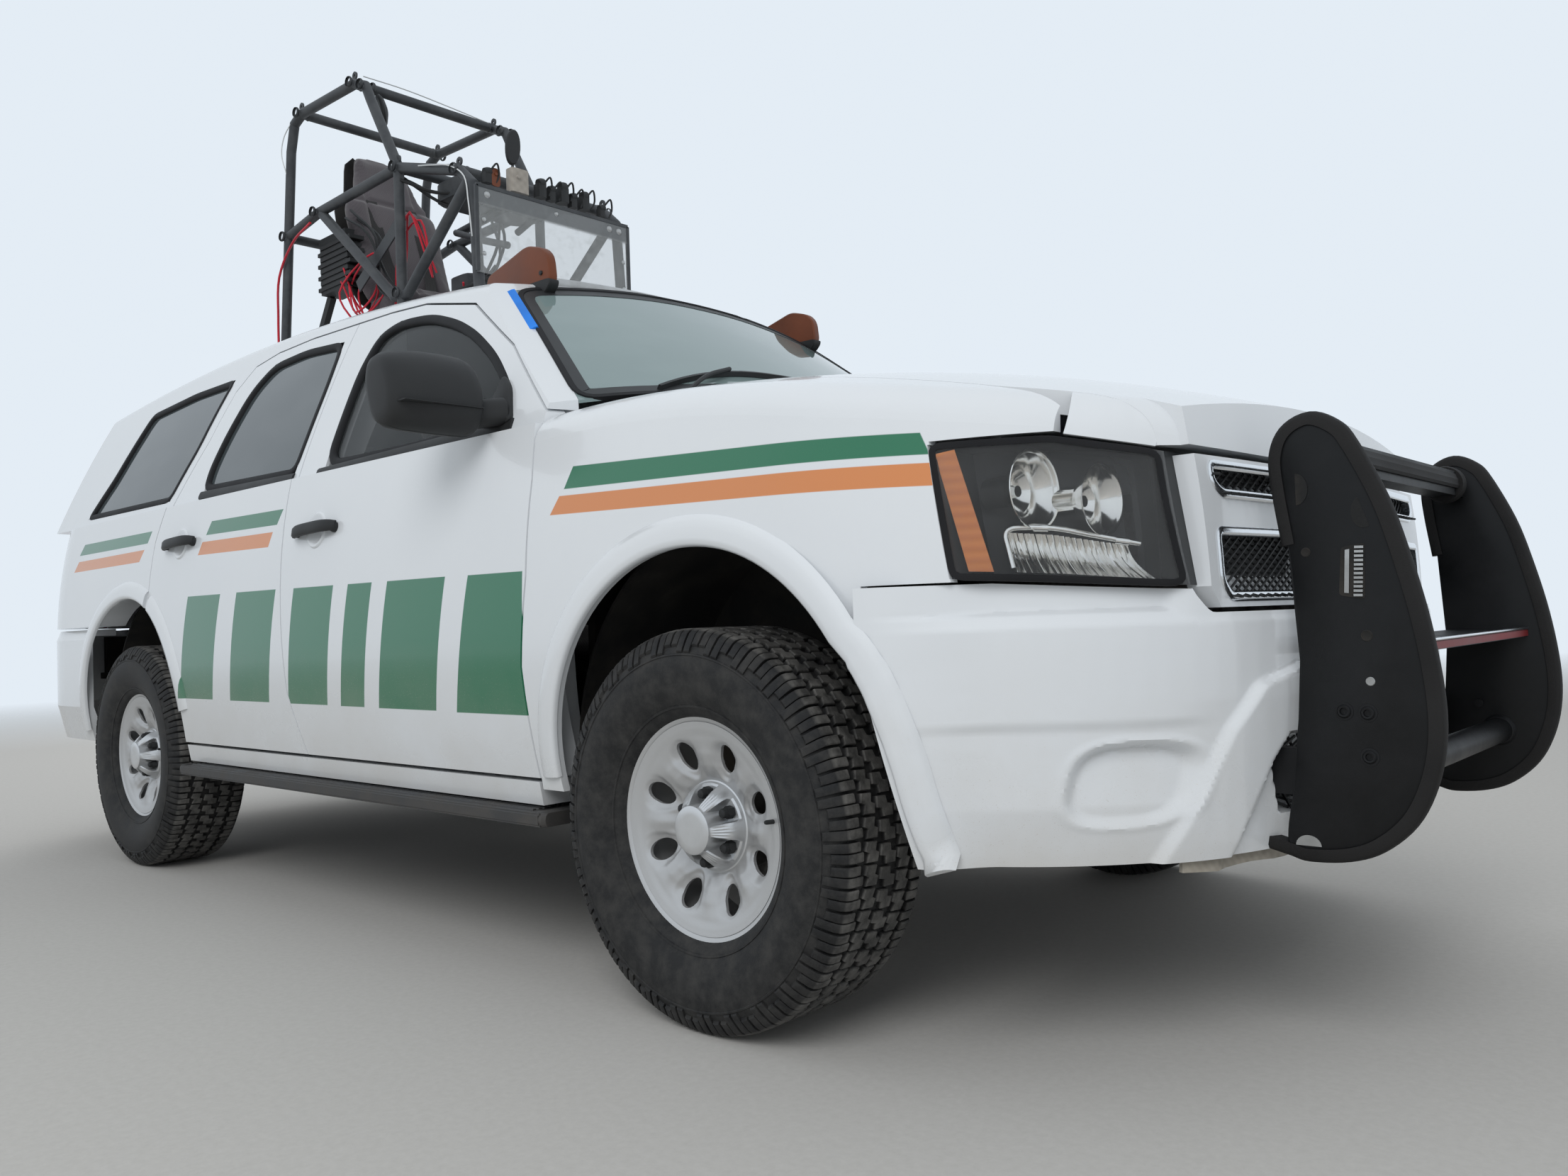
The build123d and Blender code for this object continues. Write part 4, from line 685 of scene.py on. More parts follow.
def on_back(skin, y, z, lift=0.0):
    return probe(skin, at(-5.0, y, z), (1, 0, 0), lift)


def ribbon(points, up, section, closed=False):
    """A section carried along a path with one way up for all of it."""
    return sweep(points, [Vector(up)] * len(points), section, closed)


def laid(spots, section, up=None, closed=False):
    """A strip through probed places, with their own normals or one way up; misses are skipped."""
    found = [spot for spot in spots if spot]
    points = [place for place, _ in found]
    if up:
        return ribbon(points, up, section, closed)
    return sweep(points, [normal for _, normal in found], section, closed)


def rounded(outline, radius=0.03, steps=4):
    """A closed 2D outline with its corners turned on short curves."""
    found = []
    count = len(outline)
    for i, corner in enumerate(outline):
        corner = Vector(corner)
        before, after = Vector(outline[i - 1]), Vector(outline[(i + 1) % count])
        reach_in = min(radius, (before - corner).length * 0.4)
        reach_out = min(radius, (after - corner).length * 0.4)
        a = corner + (before - corner).normalized() * reach_in
        b = corner + (after - corner).normalized() * reach_out
        for k in range(steps + 1):
            t = k / steps
            found.append(a * (1 - t) ** 2 + corner * 2 * t * (1 - t) + b * t**2)
    return found


def filled(outline, step=0.05):
    """More points along the long runs of a closed 2D outline."""
    found = []
    for a, b in zip(outline, outline[1:] + outline[:1]):
        a, b = Vector(a), Vector(b)
        parts = max(1, ceil((b - a).length / step))
        found += [a.lerp(b, k / parts) for k in range(parts)]
    return found


def inset(ring, amount):
    """Move a dense closed outline inwards by an amount."""
    centre = sum(ring, Vector((0, 0))) / len(ring)
    moved = []
    for i, p in enumerate(ring):
        way = (ring[(i + 1) % len(ring)] - ring[i - 1]).normalized()
        normal = Vector((-way.y, way.x))
        if normal.dot(centre - p) < 0:
            normal = -normal
        moved.append(p + normal * amount)
    return moved


print("probes ready")

# %% [markdown]
# ## Stage
# The picture needs ground for a shadow and a pale sky for the paint and glass to mirror. The
# floor is a wide sheet that fades out with distance, so no horizon cuts the picture, and it is
# clear from below. The world gives even light, and shows rays from the camera or a mirror a
# constant pale sky.

# %% Floor, sky and lamps
scene.view_settings.view_transform = "Standard"
FLOOR, FADE_START, FADE_END = 40, 7.5, 17.0
floor_finish = Finish("pale_floor", Roughness=0.85, Specular_IOR_Level=0.15)
grit = floor_finish.spot.noise(60.0, 4.0, 0.7)
floor_finish.feed("Base Color", grit.mix(rgb(0.47, 0.46, 0.44), rgb(0.58, 0.57, 0.55)))
tree = floor_finish.material.node_tree
far = (
    floor_finish.x * floor_finish.x + floor_finish.y * floor_finish.y
).of("SQRT").rise(FADE_START, FADE_END)
below = far.node("ShaderNodeNewGeometry", out=6)
clear = far.node("ShaderNodeBsdfTransparent")
solid = Wire(tree, floor_finish.shader.outputs[0])
shown = far.node("ShaderNodeMixShader", None, {0: far.most(below), 1: solid, 2: clear})
tree.links.new(shown.socket, tree.nodes["Material Output"].inputs["Surface"])
ground = bpy.data.meshes.new("ground")
corners = [(x * FLOOR, y * FLOOR, -0.001) for x, y in ((-1, -1), (1, -1), (1, 1), (-1, 1))]
ground.from_pydata(corners, [], [(0, 1, 2, 3)])
ground.materials.append(floor_finish.material)
ground_piece = bpy.data.objects.new("ground", ground)
scene.collection.objects.link(ground_piece)

world = bpy.data.worlds.new("overcast")
scene.world = world
world.use_nodes = True
sky = Wire(world.node_tree)
rays = [sky.node("ShaderNodeLightPath", out=i) for i in (0, 3, 6)]
seen = rays[0].most(rays[1]).most(rays[2])
lit = sky.node("ShaderNodeBackground", None, {"Color": rgb(0.93, 0.97, 1.0), "Strength": 0.62})
pale = sky.node("ShaderNodeBackground", None, {"Color": rgb(0.775, 0.845, 0.915), "Strength": 1.0})
both = sky.node("ShaderNodeMixShader", None, {0: seen, 1: lit, 2: pale})
world.node_tree.links.new(both.socket, world.node_tree.nodes["World Output"].inputs["Surface"])


def lamp(name, place, target, size, watts):
    """A large soft area lamp that looks at a point."""
    data = bpy.data.lights.new(name, "AREA")
    data.shape, data.size, data.energy = "DISK", size, watts
    made = bpy.data.objects.new(name, data)
    scene.collection.objects.link(made)
    made.location = place
    made.rotation_euler = (Vector(target) - Vector(place)).to_track_quat("-Z", "Y").to_euler()
    made.visible_camera = made.visible_glossy = made.visible_transmission = False


lamp("key", (5.0, -7.5, 6.5), (0.3, 0, 0.9), 6.0, 420)
lamp("fill", (-7.0, 5.0, 6.0), (-0.3, 0, 1.0), 7.0, 260)
print("stage ready")

# %% [markdown]
# ## Tyres
# An all-terrain tyre is a soft-cornered ring with deep blocks in five rows. A texture could draw
# the blocks, but here their edges break the outline, so each block is a small solid. One tyre is
# made about an upright axis of its own and copied to the four wheels. The shoulder lugs are
# alternately long and short and reach down the sidewall. The ring sits 10 mm inside the blocks'
# tops.

# %% Tyre and tread
TYRE_R, TREAD_FLOOR = 0.395, 0.3845
PITCHES = 58
SIDEWALL = [
    (0.2180, 0.0900), (0.2240, 0.1000), (0.2310, 0.1060), (0.2390, 0.1100), (0.2400, 0.1128),
    (0.2440, 0.1140), (0.2450, 0.1126), (0.2560, 0.1190), (0.2740, 0.1266), (0.2950, 0.1312),
    (0.3150, 0.1330), (0.3330, 0.1318), (0.3420, 0.1296), (0.3435, 0.1312), (0.3465, 0.1304),
    (0.3475, 0.1282), (0.3600, 0.1222), (0.3720, 0.1136), (0.3800, 0.1030), (0.3838, 0.0900),
    (TREAD_FLOOR, 0.0600), (TREAD_FLOOR + 0.0008, 0.0),
]
CENTRE_BLOCK = [
    (.05, -.021), (.52, -.023), (.60, -.008), (.93, -.006), (.95, .019), (.48, .023), (.40, .008),
    (.06, .006)
]
MIDDLE_BLOCK = [
    (.04, .031), (.44, .027), (.54, .038), (.92, .033), (.96, .060), (.58, .066), (.46, .055),
    (.08, .061)
]


def polar(u, h, r):
    """A point of the tyre from its place along the tread in pitches, its height and radius."""
    angle = 2 * pi * u / PITCHES
    return Vector((r * cos(angle), r * sin(angle), h))


def block(outline, shift):
    """A tread block: a wide foot, a chamfered edge and a top on the tyre's full radius."""
    middle = Vector((sum(p[0] for p in outline), sum(p[1] for p in outline))) / len(outline)
    rows = []
    for radius, grow in ((TREAD_FLOOR - 0.002, 1.05), (TYRE_R - 0.0022, 1.0), (TYRE_R, 0.93)):
        ring = [middle + (Vector(p) - middle) * grow for p in outline]
        rows.append([polar(p.x + shift, p.y, radius) for p in ring + ring[:1]])
    verts, faces = grid(rows)
    wide = len(outline) + 1
    faces.append(tuple(2 * wide + k for k in range(len(outline))))
    return verts, faces


def lug(side, start, end, inner, foot):
    """A shoulder lug: a section that runs over the shoulder and down the sidewall."""
    outer = [(TYRE_R, inner), (TYRE_R, 0.097), (0.3925, 0.1065), (0.3860, 0.1140)]
    outer += [(0.3720, 0.1222)] + ([
        (0.3590, 0.1285), (0.3520, 0.1310)
    ] if foot else [(0.3660, 0.1258)])
    under = [(r - 0.010, h - 0.006 if h > 0.1 else h) for r, h in reversed(outer)]
    ring = outer + under
    rows = []
    for u, grow in ((start, 0), (start + 0.05, 1), (end - 0.05, 1), (end, 0)):
        rows.append([polar(u, side * h, r - (0 if grow else 0.0016)) for r, h in ring + ring[:1]])
    verts, faces = grid(rows)
    wide = len(ring) + 1
    faces.append(tuple(range(len(ring))))
    faces.append(tuple(3 * wide + k for k in range(len(ring))))
    return verts, faces


tyre_stock = Stock()
profile = SIDEWALL + [(r, -h) for r, h in reversed(SIDEWALL[:-1])]
tyre_stock.add(turned(profile + profile[:1], (0, 0, 0), (0, 0, 1), 116))
for i in range(PITCHES):
    tyre_stock.add(block(CENTRE_BLOCK, i))
    tyre_stock.add(block(MIDDLE_BLOCK, i + 0.22))
    tyre_stock.add(block([(1 - u, -h) for u, h in MIDDLE_BLOCK], i + 0.66))
    for side, shift in ((1, 0.40), (-1, 0.05)):
        tyre_stock.add(lug(side, i + shift, i + shift + 0.40, 0.072, i % 2 == 0))
        tyre_stock.add(lug(side, i + shift + 0.46, i + shift + 0.86, 0.080, i % 2 == 1))
print("one tyre has", len(tyre_stock.faces), "faces")

# %% [markdown]
# ## Wheels
# The wheel is a pressed and machined disc in a rolled barrel. Eight oval holes sit in shallow
# scoops, with soft ribs between them. The disc is a grid in polar coordinates whose height is a
# sum of simple functions; it is given a thickness, and the ovals are cut by a boolean, which
# leaves clean walls.

# %% Wheel disc, barrel and hub cap
HOLES, HOLE_R = 8, 0.148
HOLE_LONG, HOLE_WIDE = 0.0300, 0.0215
DISC = [(0.036, 0.046), (0.088, 0.050), (0.100, 0.056), (0.125, 0.068), (0.150, 0.0755),
        (0.180, 0.0830), (0.200, 0.0880), (0.2105, 0.0900)]


def along(profile, place):
    """A smooth reading of a list of (place, height) pairs."""
    for (x0, y0), (x1, y1) in zip(profile, profile[1:]):
        if place <= x1:
            t = (place - x0) / (x1 - x0)
            return y0 + (y1 - y0) * (0.35 * eased(place, x0, x1) + 0.65 * t)
    return profile[-1][1]


def disc_height(r, angle):
    """Height of the disc's face: a shallow bowl, ribs towards the hub, a scoop round each hole."""
    turn = (angle * HOLES / (2 * pi)) % 1.0 - 0.5
    off = turn * 2 * pi / HOLES * HOLE_R
    reach = hypot((r - HOLE_R) / HOLE_LONG, off / HOLE_WIDE)
    scoop = 0.0075 * eased(-reach, -1.75, -1.25) * eased(-r, -0.186, -0.150)
    roll = 0.0040 * eased(-reach, -1.22, -0.98)
    rib = 0.0045 * eased(abs(turn), 0.28, 0.5) * eased(r, 0.090, 0.108) * eased(-r, -0.185, -0.135)
    return along(DISC, r) + rib - scoop - roll


def disc_mesh():
    """The disc with its oval holes cut, as a mesh about its own axis."""
    turns, rings = 240, 56
    radii = span(DISC[0][0], DISC[-1][0], rings)
    front = [[(r, 2 * pi * i / turns) for r in radii] for i in range(turns)]
    rows = []
    for line in front:
        outer = [Vector((r * cos(a), r * sin(a), disc_height(r, a))) for r, a in line]
        inner = [p - Vector((0, 0, 0.007)) for p in reversed(outer)]
        rows.append(outer + inner + outer[:1])
    body = Stock().add(grid(rows, True))
    cutter = Stock()
    for k in range(HOLES):
        angle = 2 * pi * (k + 0.5) / HOLES
        out = Vector((cos(angle), sin(angle), 0))
        side = Vector((-out.y, out.x, 0))
        ring = []
        for i in range(40):
            t = 2 * pi * i / 40
            narrow = HOLE_WIDE * (1 + 0.10 * cos(t))
            ring.append(out * (HOLE_R + HOLE_LONG * cos(t)) + side * (narrow * sin(t)))
        cutter.add(slab(ring, (0, 0, -0.02), (0, 0, 0.10)))
    blank, tool = body.thing("wheel_disc_blank"), cutter.thing("wheel_disc_cutter")
    cut = blank.modifiers.new("holes", "BOOLEAN")
    cut.object, cut.operation, cut.solver = tool, "DIFFERENCE", "EXACT"
    ready = blank.evaluated_get(bpy.context.evaluated_depsgraph_get()).to_mesh()
    result = ([v.co.copy() for v in ready.vertices], [tuple(f.vertices) for f in ready.polygons])
    for thing in (blank, tool):
        bpy.data.objects.remove(thing)
    return result


BARREL = [
    (0.2085, 0.0300), (0.2100, 0.0875), (0.2125, 0.0905), (0.2180, 0.0922), (0.2250, 0.0950),
    (0.2300, 0.0978), (0.2328, 0.1008), (0.2342, 0.1016), (0.2352, 0.1002), (0.2335, 0.0965),
    (0.2270, 0.0915), (0.2200, 0.0885), (0.2160, 0.0820), (0.2150, 0.0620), (0.2125, 0.0450),
    (0.1990, -0.0200), (0.2140, -0.0600), (0.2160, -0.0850), (0.2250, -0.0920), (0.2345, -0.0975),
    (0.2335, -0.1010), (0.2260, -0.0965), (0.2120, -0.0880), (0.2090, -0.0600), (0.1940, -0.0200),
    (0.2070, 0.0250),
]
CAP = [(0.0, 0.1165), (0.0300, 0.1165), (0.0452, 0.1162), (0.0474, 0.1150), (0.0480, 0.1125),
       (0.0495, 0.1095), (0.0560, 0.1040), (0.0660, 0.0940), (0.0760, 0.0825), (0.0820, 0.0710),
       (0.0862, 0.0590), (0.0885, 0.0530), (0.0912, 0.0515), (0.0914, 0.0470), (0.0, 0.0470)]
rim_stock = Stock().add(disc_mesh())
rim_stock.add(turned(BARREL + BARREL[:1], (0, 0, 0), (0, 0, 1), 128))


def cap_mesh():
    """The hub cap: a turned cone with six nut pockets and grooved ribs between them."""
    sides = 144
    rows = []
    for i in range(sides):
        angle = 2 * pi * i / sides
        turn = (angle * 6 / (2 * pi)) % 1.0 - 0.5
        pocket = eased(0.30 - abs(turn), 0.0, 0.05)
        ridge = 0.0011 * cos(angle * 78) * (1 - pocket)
        row = []
        for r, h in CAP:
            low = h
            if 0.0485 < r < 0.0850 and h > 0.05:
                low = h - pocket * max(0.0, h - 0.062) + ridge
            row.append(Vector((r * cos(angle), r * sin(angle), low)))
        rows.append(row)
    return grid(rows, True)


def nut(angle):
    """A six-sided nut under a domed cover."""
    middle = (0.0675 * cos(angle), 0.0675 * sin(angle), 0)
    verts, faces = turned(
        [(0, 0.050), (0.0130, 0.050), (0.0130, 0.0760), (0.0115, 0.0785), (0, 0.0785)], middle,
        (0, 0, 1), 6
    )
    dome = turned(
        [
            (0, 0.070), (0.0100, 0.070), (0.0100, 0.0840), (0.0085, 0.0885), (0.0045, 0.0910),
            (0, 0.0915)
        ],
        middle, (0, 0, 1), 14
    )
    return (verts, faces), dome


print("wheel disc has", len(rim_stock.faces), "faces")

# %% [markdown]
# ## Four wheels
# Each wheel carries the same shapes, turned to its own axle and side. The left wheels are mirror
# images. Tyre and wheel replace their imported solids, which stay behind for collision.

# %% Place the wheels
WHEELS = {"front": (0.0, 0.866), "rear": (-2.946, 0.851)}


def to_wheel(shape, end, side):
    """Move a shape from its own axis to a wheel."""
    x, y = WHEELS[end]
    middle = at(x, side * y, WHEEL_Z)
    return [middle + Vector((v[0], side * v[2], v[1])) for v in shape[0]], shape[1]


cap_shape = cap_mesh()
for end in WHEELS:
    for label, side in SIDES.items():
        where = f"{end}_{label}"
        body = f"{end}_wheel_{label}"
        tyre = Stock().add(to_wheel((tyre_stock.verts, tyre_stock.faces), end, side))
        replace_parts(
            tyre.piece(f"tyre_{where}", tyre_rubber, body, sharp=30, slot="tyre_rubber"),
            f"{end}_tyre_{label}"
        )
        rim = Stock().add(to_wheel((rim_stock.verts, rim_stock.faces), end, side))
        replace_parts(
            rim.piece(f"wheel_{where}", wheel_paint, body, sharp=42, slot="wheel_steel"),
            f"{end}_rim_{label}"
        )
        cap = Stock().add(to_wheel(cap_shape, end, side))
        cap.piece(f"hub_cap_{where}", bright_cap, body, sharp=32, slot="wheel_steel")
        nuts = Stock()
        for k in range(6):
            for shape in nut(2 * pi * (k + 0.5) / 6):
                nuts.add(to_wheel(shape, end, side))
        valve = turned(
            [(0, 0), (0.0045, 0), (0.0045, 0.022), (0.0030, 0.026), (0, 0.027)],
            (0.196, 0.030, 0.080), (-0.35, 0, 1), 10
        )
        nuts.add(to_wheel(valve, end, side))
        nuts.piece(f"wheel_nuts_{where}", black_plastic, body, sharp=30, slot="black_plastic")
print("four wheels")

# %% [markdown]
# ## Nose: hood corner
# Between hood, fender and lamp the pressed metal turns a soft corner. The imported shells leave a
# notch there, and a sheet closes it. Each of its ribs leaves one neighbour and meets the other
# along their own slopes, by Hermite's rule, so the reflections run on without a break.

# %% Sheets that meet their neighbours smoothly
nose_skin = skin_of("front_fenders", "hood", "grille", "front_bumper")
bumper_skin = skin_of("front_bumper")
lens_skin = skin_of("headlamp_lenses")
hood_skin = skin_of("hood")
LAMP_OUTLINE = [(0.546, 1.088), (0.584, 0.858), (0.885, 0.834), (0.854, 1.061), (0.719, 1.092)]


def hermite(start, end, count, pull=1.0):
    """Points from one (place, normal) to another, leaving and arriving along their surfaces."""
    (p, n), (q, m) = start, end
    way = q - p
    first = (way - n * way.dot(n)).normalized() * way.length * pull
    last = (way - m * way.dot(m)).normalized() * way.length * pull
    found = []
    for t in span(0, 1, count):
        found.append(p * (2 * t**3 - 3 * t**2 + 1) + first * (t**3 - 2 * t**2 + t)
                     + q * (3 * t**2 - 2 * t**3) + last * (t**3 - t**2))
    return found


def thick_sheet(rows, depth, towards):
    """A sheet of rows given a back that lies nearer a point."""
    solid = []
    for row in rows:
        back = [p + (Vector(towards) - p).normalized() * depth for p in reversed(row)]
        solid.append(row + back + row[:1])
    verts, faces = grid(solid)
    wide = len(solid[0])
    faces.append(tuple(range(wide - 1)))
    faces.append(tuple(len(verts) - wide + k for k in range(wide - 1)))
    return verts, faces


for label, side in SIDES.items():
    rows = []
    for t in span(0, 1, 20):
        x = 0.7375 + (0.862 - 0.7375) * t
        low = on_side(lens_skin, min(x, 0.848), 1.0870 - (min(x, 0.848) - 0.719) * 0.2296, side)
        high = on_top(
            hood_skin, x - 0.030 * (1 - t) - 0.010 * t, side * (0.698 + (0.660 - 0.698) * t)
        )
        if low and high:
            lifted_low = low[0] + Vector((0, 0, 0.0115))
            rows.append(hermite((lifted_low, low[1]), high, 14))
    if len(rows) > 3:
        Stock().add(thick_sheet(rows, 0.006, at(0.3, 0, 0.9))).piece(
            f"hood_corner_{label}", paint_plain, "hood", slot="body_paint", sharp=60
        )
print("hood corners closed")

# %% [markdown]
# ## Headlamps
# Behind the clear cover lie an amber side marker, two horn-shaped reflectors that open forward,
# and a ribbed tray with a bright tube along its top. They are placed by two shares, across and
# down the lens, plus a depth behind it, so the whole set follows the lamp's wrap round the
# corner.

# %% Headlamp insides
LAMP_TOP = [(0.546, 0.924, 1.088), (0.719, 0.835, 1.095), (0.854, 0.702, 1.061)]
LAMP_FOOT = [(0.584, 0.909, 0.855), (0.745, 0.800, 0.844), (0.885, 0.654, 0.832)]


def lamp_spot(side, across, down, depth):
    """A place inside the lamp: shares across and down its face, and a depth behind it."""
    def edge(points):
        a, b, c = (Vector(p) for p in points)
        return a.lerp(b, across * 2) if across < 0.5 else b.lerp(c, across * 2 - 1)
    face = edge(LAMP_TOP).lerp(edge(LAMP_FOOT), down)
    swing = radians(28 + 30 * across)
    inward = Vector((-sin(swing), -cos(swing), 0))
    spot = face + inward * depth
    return Vector((AXLE_X + spot.x, side * spot.y, spot.z))


def lamp_patch(side, left, right, depths, wave=0.0, count=(24, 10), ribs=0):
    """A sheet between two lines of shares; depths are for its top and bottom."""
    rows = []
    for i in range(count[0]):
        u = i / (count[0] - 1)
        row = []
        for j in range(count[1]):
            v = j / (count[1] - 1)
            (x0, y0), (x1, y1) = left
            (x2, y2), (x3, y3) = right
            a = (x0 + (x1 - x0) * v, y0 + (y1 - y0) * v)
            b = (x2 + (x3 - x2) * v, y2 + (y3 - y2) * v)
            depth = depths[0] + (
                depths[1] - depths[0]
            ) * v + wave * sin(pi * v) + 0.003 * cos(2 * pi * ribs * u) * (ribs > 0)
            row.append(lamp_spot(side, a[0] + (b[0] - a[0]) * u, a[1] + (b[1] - a[1]) * u, depth))
        rows.append(row)
    return grid(rows)


HORN = [
    (0.0, -0.060), (0.016, -0.058), (0.030, -0.048), (0.042, -0.034), (0.053, -0.018),
    (0.061, -0.006), (0.0655, 0.0), (0.0680, 0.001), (0.0680, -0.001), (0.0600, -0.007),
    (0.0480, -0.018), (0.0400, -0.030), (0.0350, -0.046), (0.0320, -0.070), (0.0300, -0.098),
    (0.0, -0.100)
]
BEZEL = [(-0.0060, -0.004), (-0.0058, 0.0008), (0.0, 0.0018), (0.0056, 0.0008), (0.0060, -0.004)]
for label, side in SIDES.items():
    chrome, amber, dark = Stock(), Stock(), Stock()
    amber.add(lamp_patch(
        side, [(0.035, 0.07), (0.075, 0.93)], [(0.125, 0.05), (0.185, 0.93)], (0.012, 0.012),
        count=(8, 30)
    ))
    for across, down, depth, size in ((0.455, 0.355, 0.046, 1.04), (0.765, 0.385, 0.046, 0.92)):
        middle = lamp_spot(side, across, down, depth)
        horn = [(r * size, h * 0.95) for r, h in HORN]
        chrome.add(turned(horn, middle, (1.0, side * 0.10, 0.0), 48))
        chrome.add(turned([(0, 0.0), (0.010, 0.0), (0.0115, -0.010), (0.0115, -0.040), (0, -0.045)],
                          middle + Vector((-0.034, 0, 0)), (1.0, side * 0.10, 0), 20))
    chrome.add(lamp_patch(
        side, [(0.27, 0.64), (0.28, 0.93)], [(0.86, 0.70), (0.90, 0.95)], (0.060, 0.022), 0.018,
        (120, 12), 22
    ))
    rail = [
        lamp_spot(side, 0.275, 0.90, 0.030), lamp_spot(side, 0.272, 0.76, 0.033),
        lamp_spot(side, 0.272, 0.67, 0.035), lamp_spot(side, 0.300, 0.625, 0.036),
        lamp_spot(side, 0.36, 0.615, 0.037), lamp_spot(side, 0.50, 0.625, 0.040),
        lamp_spot(side, 0.66, 0.650, 0.040), lamp_spot(side, 0.88, 0.690, 0.038)
    ]
    chrome.add(tube(smooth_path(rail, 6), 0.0048, 12))
    for share in (0.44, 0.80):
        middle = lamp_spot(side, share, 0.62 + 0.06 * (share > 0.6), 0.040)
        way = (
            lamp_spot(side, share + 0.04, 0.62, 0.04) - lamp_spot(side, share - 0.04, 0.615, 0.04)
        ).normalized()
        chrome.add(turned(
            [(0, -0.012), (0.0068, -0.012), (0.0068, 0.012), (0, 0.012)], middle, way, 16
        ))
    chrome.piece(f"lamp_reflectors_{label}", mirror_metal, sharp=50, slot="lamp_chrome")
    amber.piece(f"lamp_marker_{label}", amber_lens, slot="red_lens")
    ring = filled([tuple(p) for p in rounded(LAMP_OUTLINE, 0.016, 4)], 0.03)
    middle = Vector((0.715, 0.975))
    inner = [p + (middle - p).normalized() * 0.0050 for p in ring]
    dark.add(laid([on_side(lens_skin, p.x, p.y, side) for p in inner], BEZEL, closed=True))
    dark.piece(f"lamp_bezel_{label}", seal_rubber, sharp=45, slot="black_plastic")
print("headlamps filled")

# %% [markdown]
# ## Grille
# The openings hold a diamond mesh between bright frames. The mesh could be a texture with holes,
# but up close its wires have thickness, so each diagonal is a thin bar, clipped to the opening.
# Behind the mesh, a flat dark sheet on the grille plate is painted shade for the deep openings.

# %% Grille mesh and frames
GRILLE_OPENINGS = [
    [
        (-0.590, 1.010), (-0.560, 0.990), (0.560, 0.990), (0.590, 1.010), (0.590, 1.040),
        (0, 1.044), (-0.590, 1.040)
    ],
    [
        (-0.590, 0.840), (-0.560, 0.812), (0.560, 0.812), (0.590, 0.840), (0.590, 0.925),
        (0, 0.930), (-0.590, 0.925)
    ],
]
grille_skin = skin_of("grille")


def within(point, outline):
    """Whether a point is inside a closed outline."""
    found = False
    for a, b in zip(outline, outline[1:] + outline[:1]):
        if (a[1] > point[1]) != (b[1] > point[1]):
            if point[0] < a[0] + (point[1] - a[1]) / (b[1] - a[1]) * (b[0] - a[0]):
                found = not found
    return found


def mesh_bars(outline, skin, lift, pitch, radius, lean=0.55):
    """Crossed bars of a diamond mesh in front of a skin, clipped to an outline."""
    made = Stock()
    y0, y1 = min(p[0] for p in outline), max(p[0] for p in outline)
    z0, z1 = min(p[1] for p in outline), max(p[1] for p in outline)
    for turn in (-1, 1):
        start = y0 - (z1 - z0) / lean
        while start < y1 + (z1 - z0) / lean:
            run = []
            for k in range(13):
                z = z0 + (z1 - z0) * k / 12
                y = start + turn * (z - (z0 + z1) / 2) / lean
                found = on_front(skin, y, z) if within((y, z), outline) else None
                if found:
                    run.append(Vector((found[0].x + lift + 0.0022 * turn, y, z)))
            if len(run) > 1:
                made.add(tube(run, radius, 5))
            start += pitch
    return made


frames, shade_plate, wires = Stock(), Stock(), Stock()
for outline in GRILLE_OPENINGS:
    bars = mesh_bars(outline, grille_skin, 0.014, 0.030, 0.0024)
    wires.add((bars.verts, bars.faces))
    mid_z = sum(q[1] for q in outline) / len(outline)
    path, normals = [], []
    for p in filled([tuple(q) for q in rounded(outline, 0.014, 3)], 0.04):
        out = Vector((p.x * 1.010, (p.y - mid_z) * 1.12 + mid_z))
        found = on_front(grille_skin, out.x, out.y) or on_front(nose_skin, out.x, out.y)
        if found:
            path.append(Vector((found[0].x, p.x, p.y)))
            normals.append(Vector((1, p.x * 0.12, 0)).normalized())
    frames.add(sweep(
        path, normals,
        [
            (-0.008, -0.030), (-0.008, 0.002), (-0.004, 0.0045), (0.004, 0.0045), (0.008, 0.002),
            (0.008, -0.030)
        ],
        True
    ))
    # A dark sheet just in front of the grille plate is painted shade for the depth behind the mesh.
    z0, z1 = min(p[1] for p in outline) + 0.002, max(p[1] for p in outline) - 0.002
    rows = []
    for y in span(-0.588, 0.588, 60):
        row = [on_front(grille_skin, y, z) for z in span(z0, z1, 5)]
        if all(row):
            rows.append([Vector((min(f[0].x for f in row) + 0.002, y, z)) for z in span(z0, z1, 5)])
    shade_plate.add(grid(rows))
wires.piece("grille_mesh", black_plastic, slot="black_plastic", sharp=60)
frames.piece("grille_frames", bright_trim, slot="lamp_chrome", sharp=50)
shade_plate.piece("grille_shade_plate", dark_housing, slot="black_plastic")
print("grille mesh faces", len(wires.faces))

# %% [markdown]
# ## Bumper cover
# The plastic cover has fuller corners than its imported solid, a hollow for a fog lamp and a raised
# band round the intake. One sheet of points can carry all of these: rays find the solid, and small
# functions move each point out or in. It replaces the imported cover.

# %% Bumper cover
def side_width(z):
    """Half width of the body below the belt, or of the glasshouse above it."""
    if z < 1.270:
        return 1.0 - 2.0 + sqrt(4.0 - (z - 0.8) ** 2)
    low = 1.270 - 4.0 * sin(radians(20.5))
    return (0.926 - 4.0 * cos(radians(20.5))) + sqrt(16.0 - (z - low) ** 2)


BAND = [(0.0, 0.640), (0.42, 0.636), (0.505, 0.615), (0.550, 0.560), (0.610, 0.440), (0.650, 0.350)]
INTAKE = [(0.0, 0.432), (0.470, 0.432), (0.500, 0.530), (0.470, 0.575), (0.0, 0.582)]
WHEEL_EDGE = [(0.374, 0.523), (0.548, 0.484), (0.704, 0.449), (0.770, 0.441), (0.860, 0.441)]


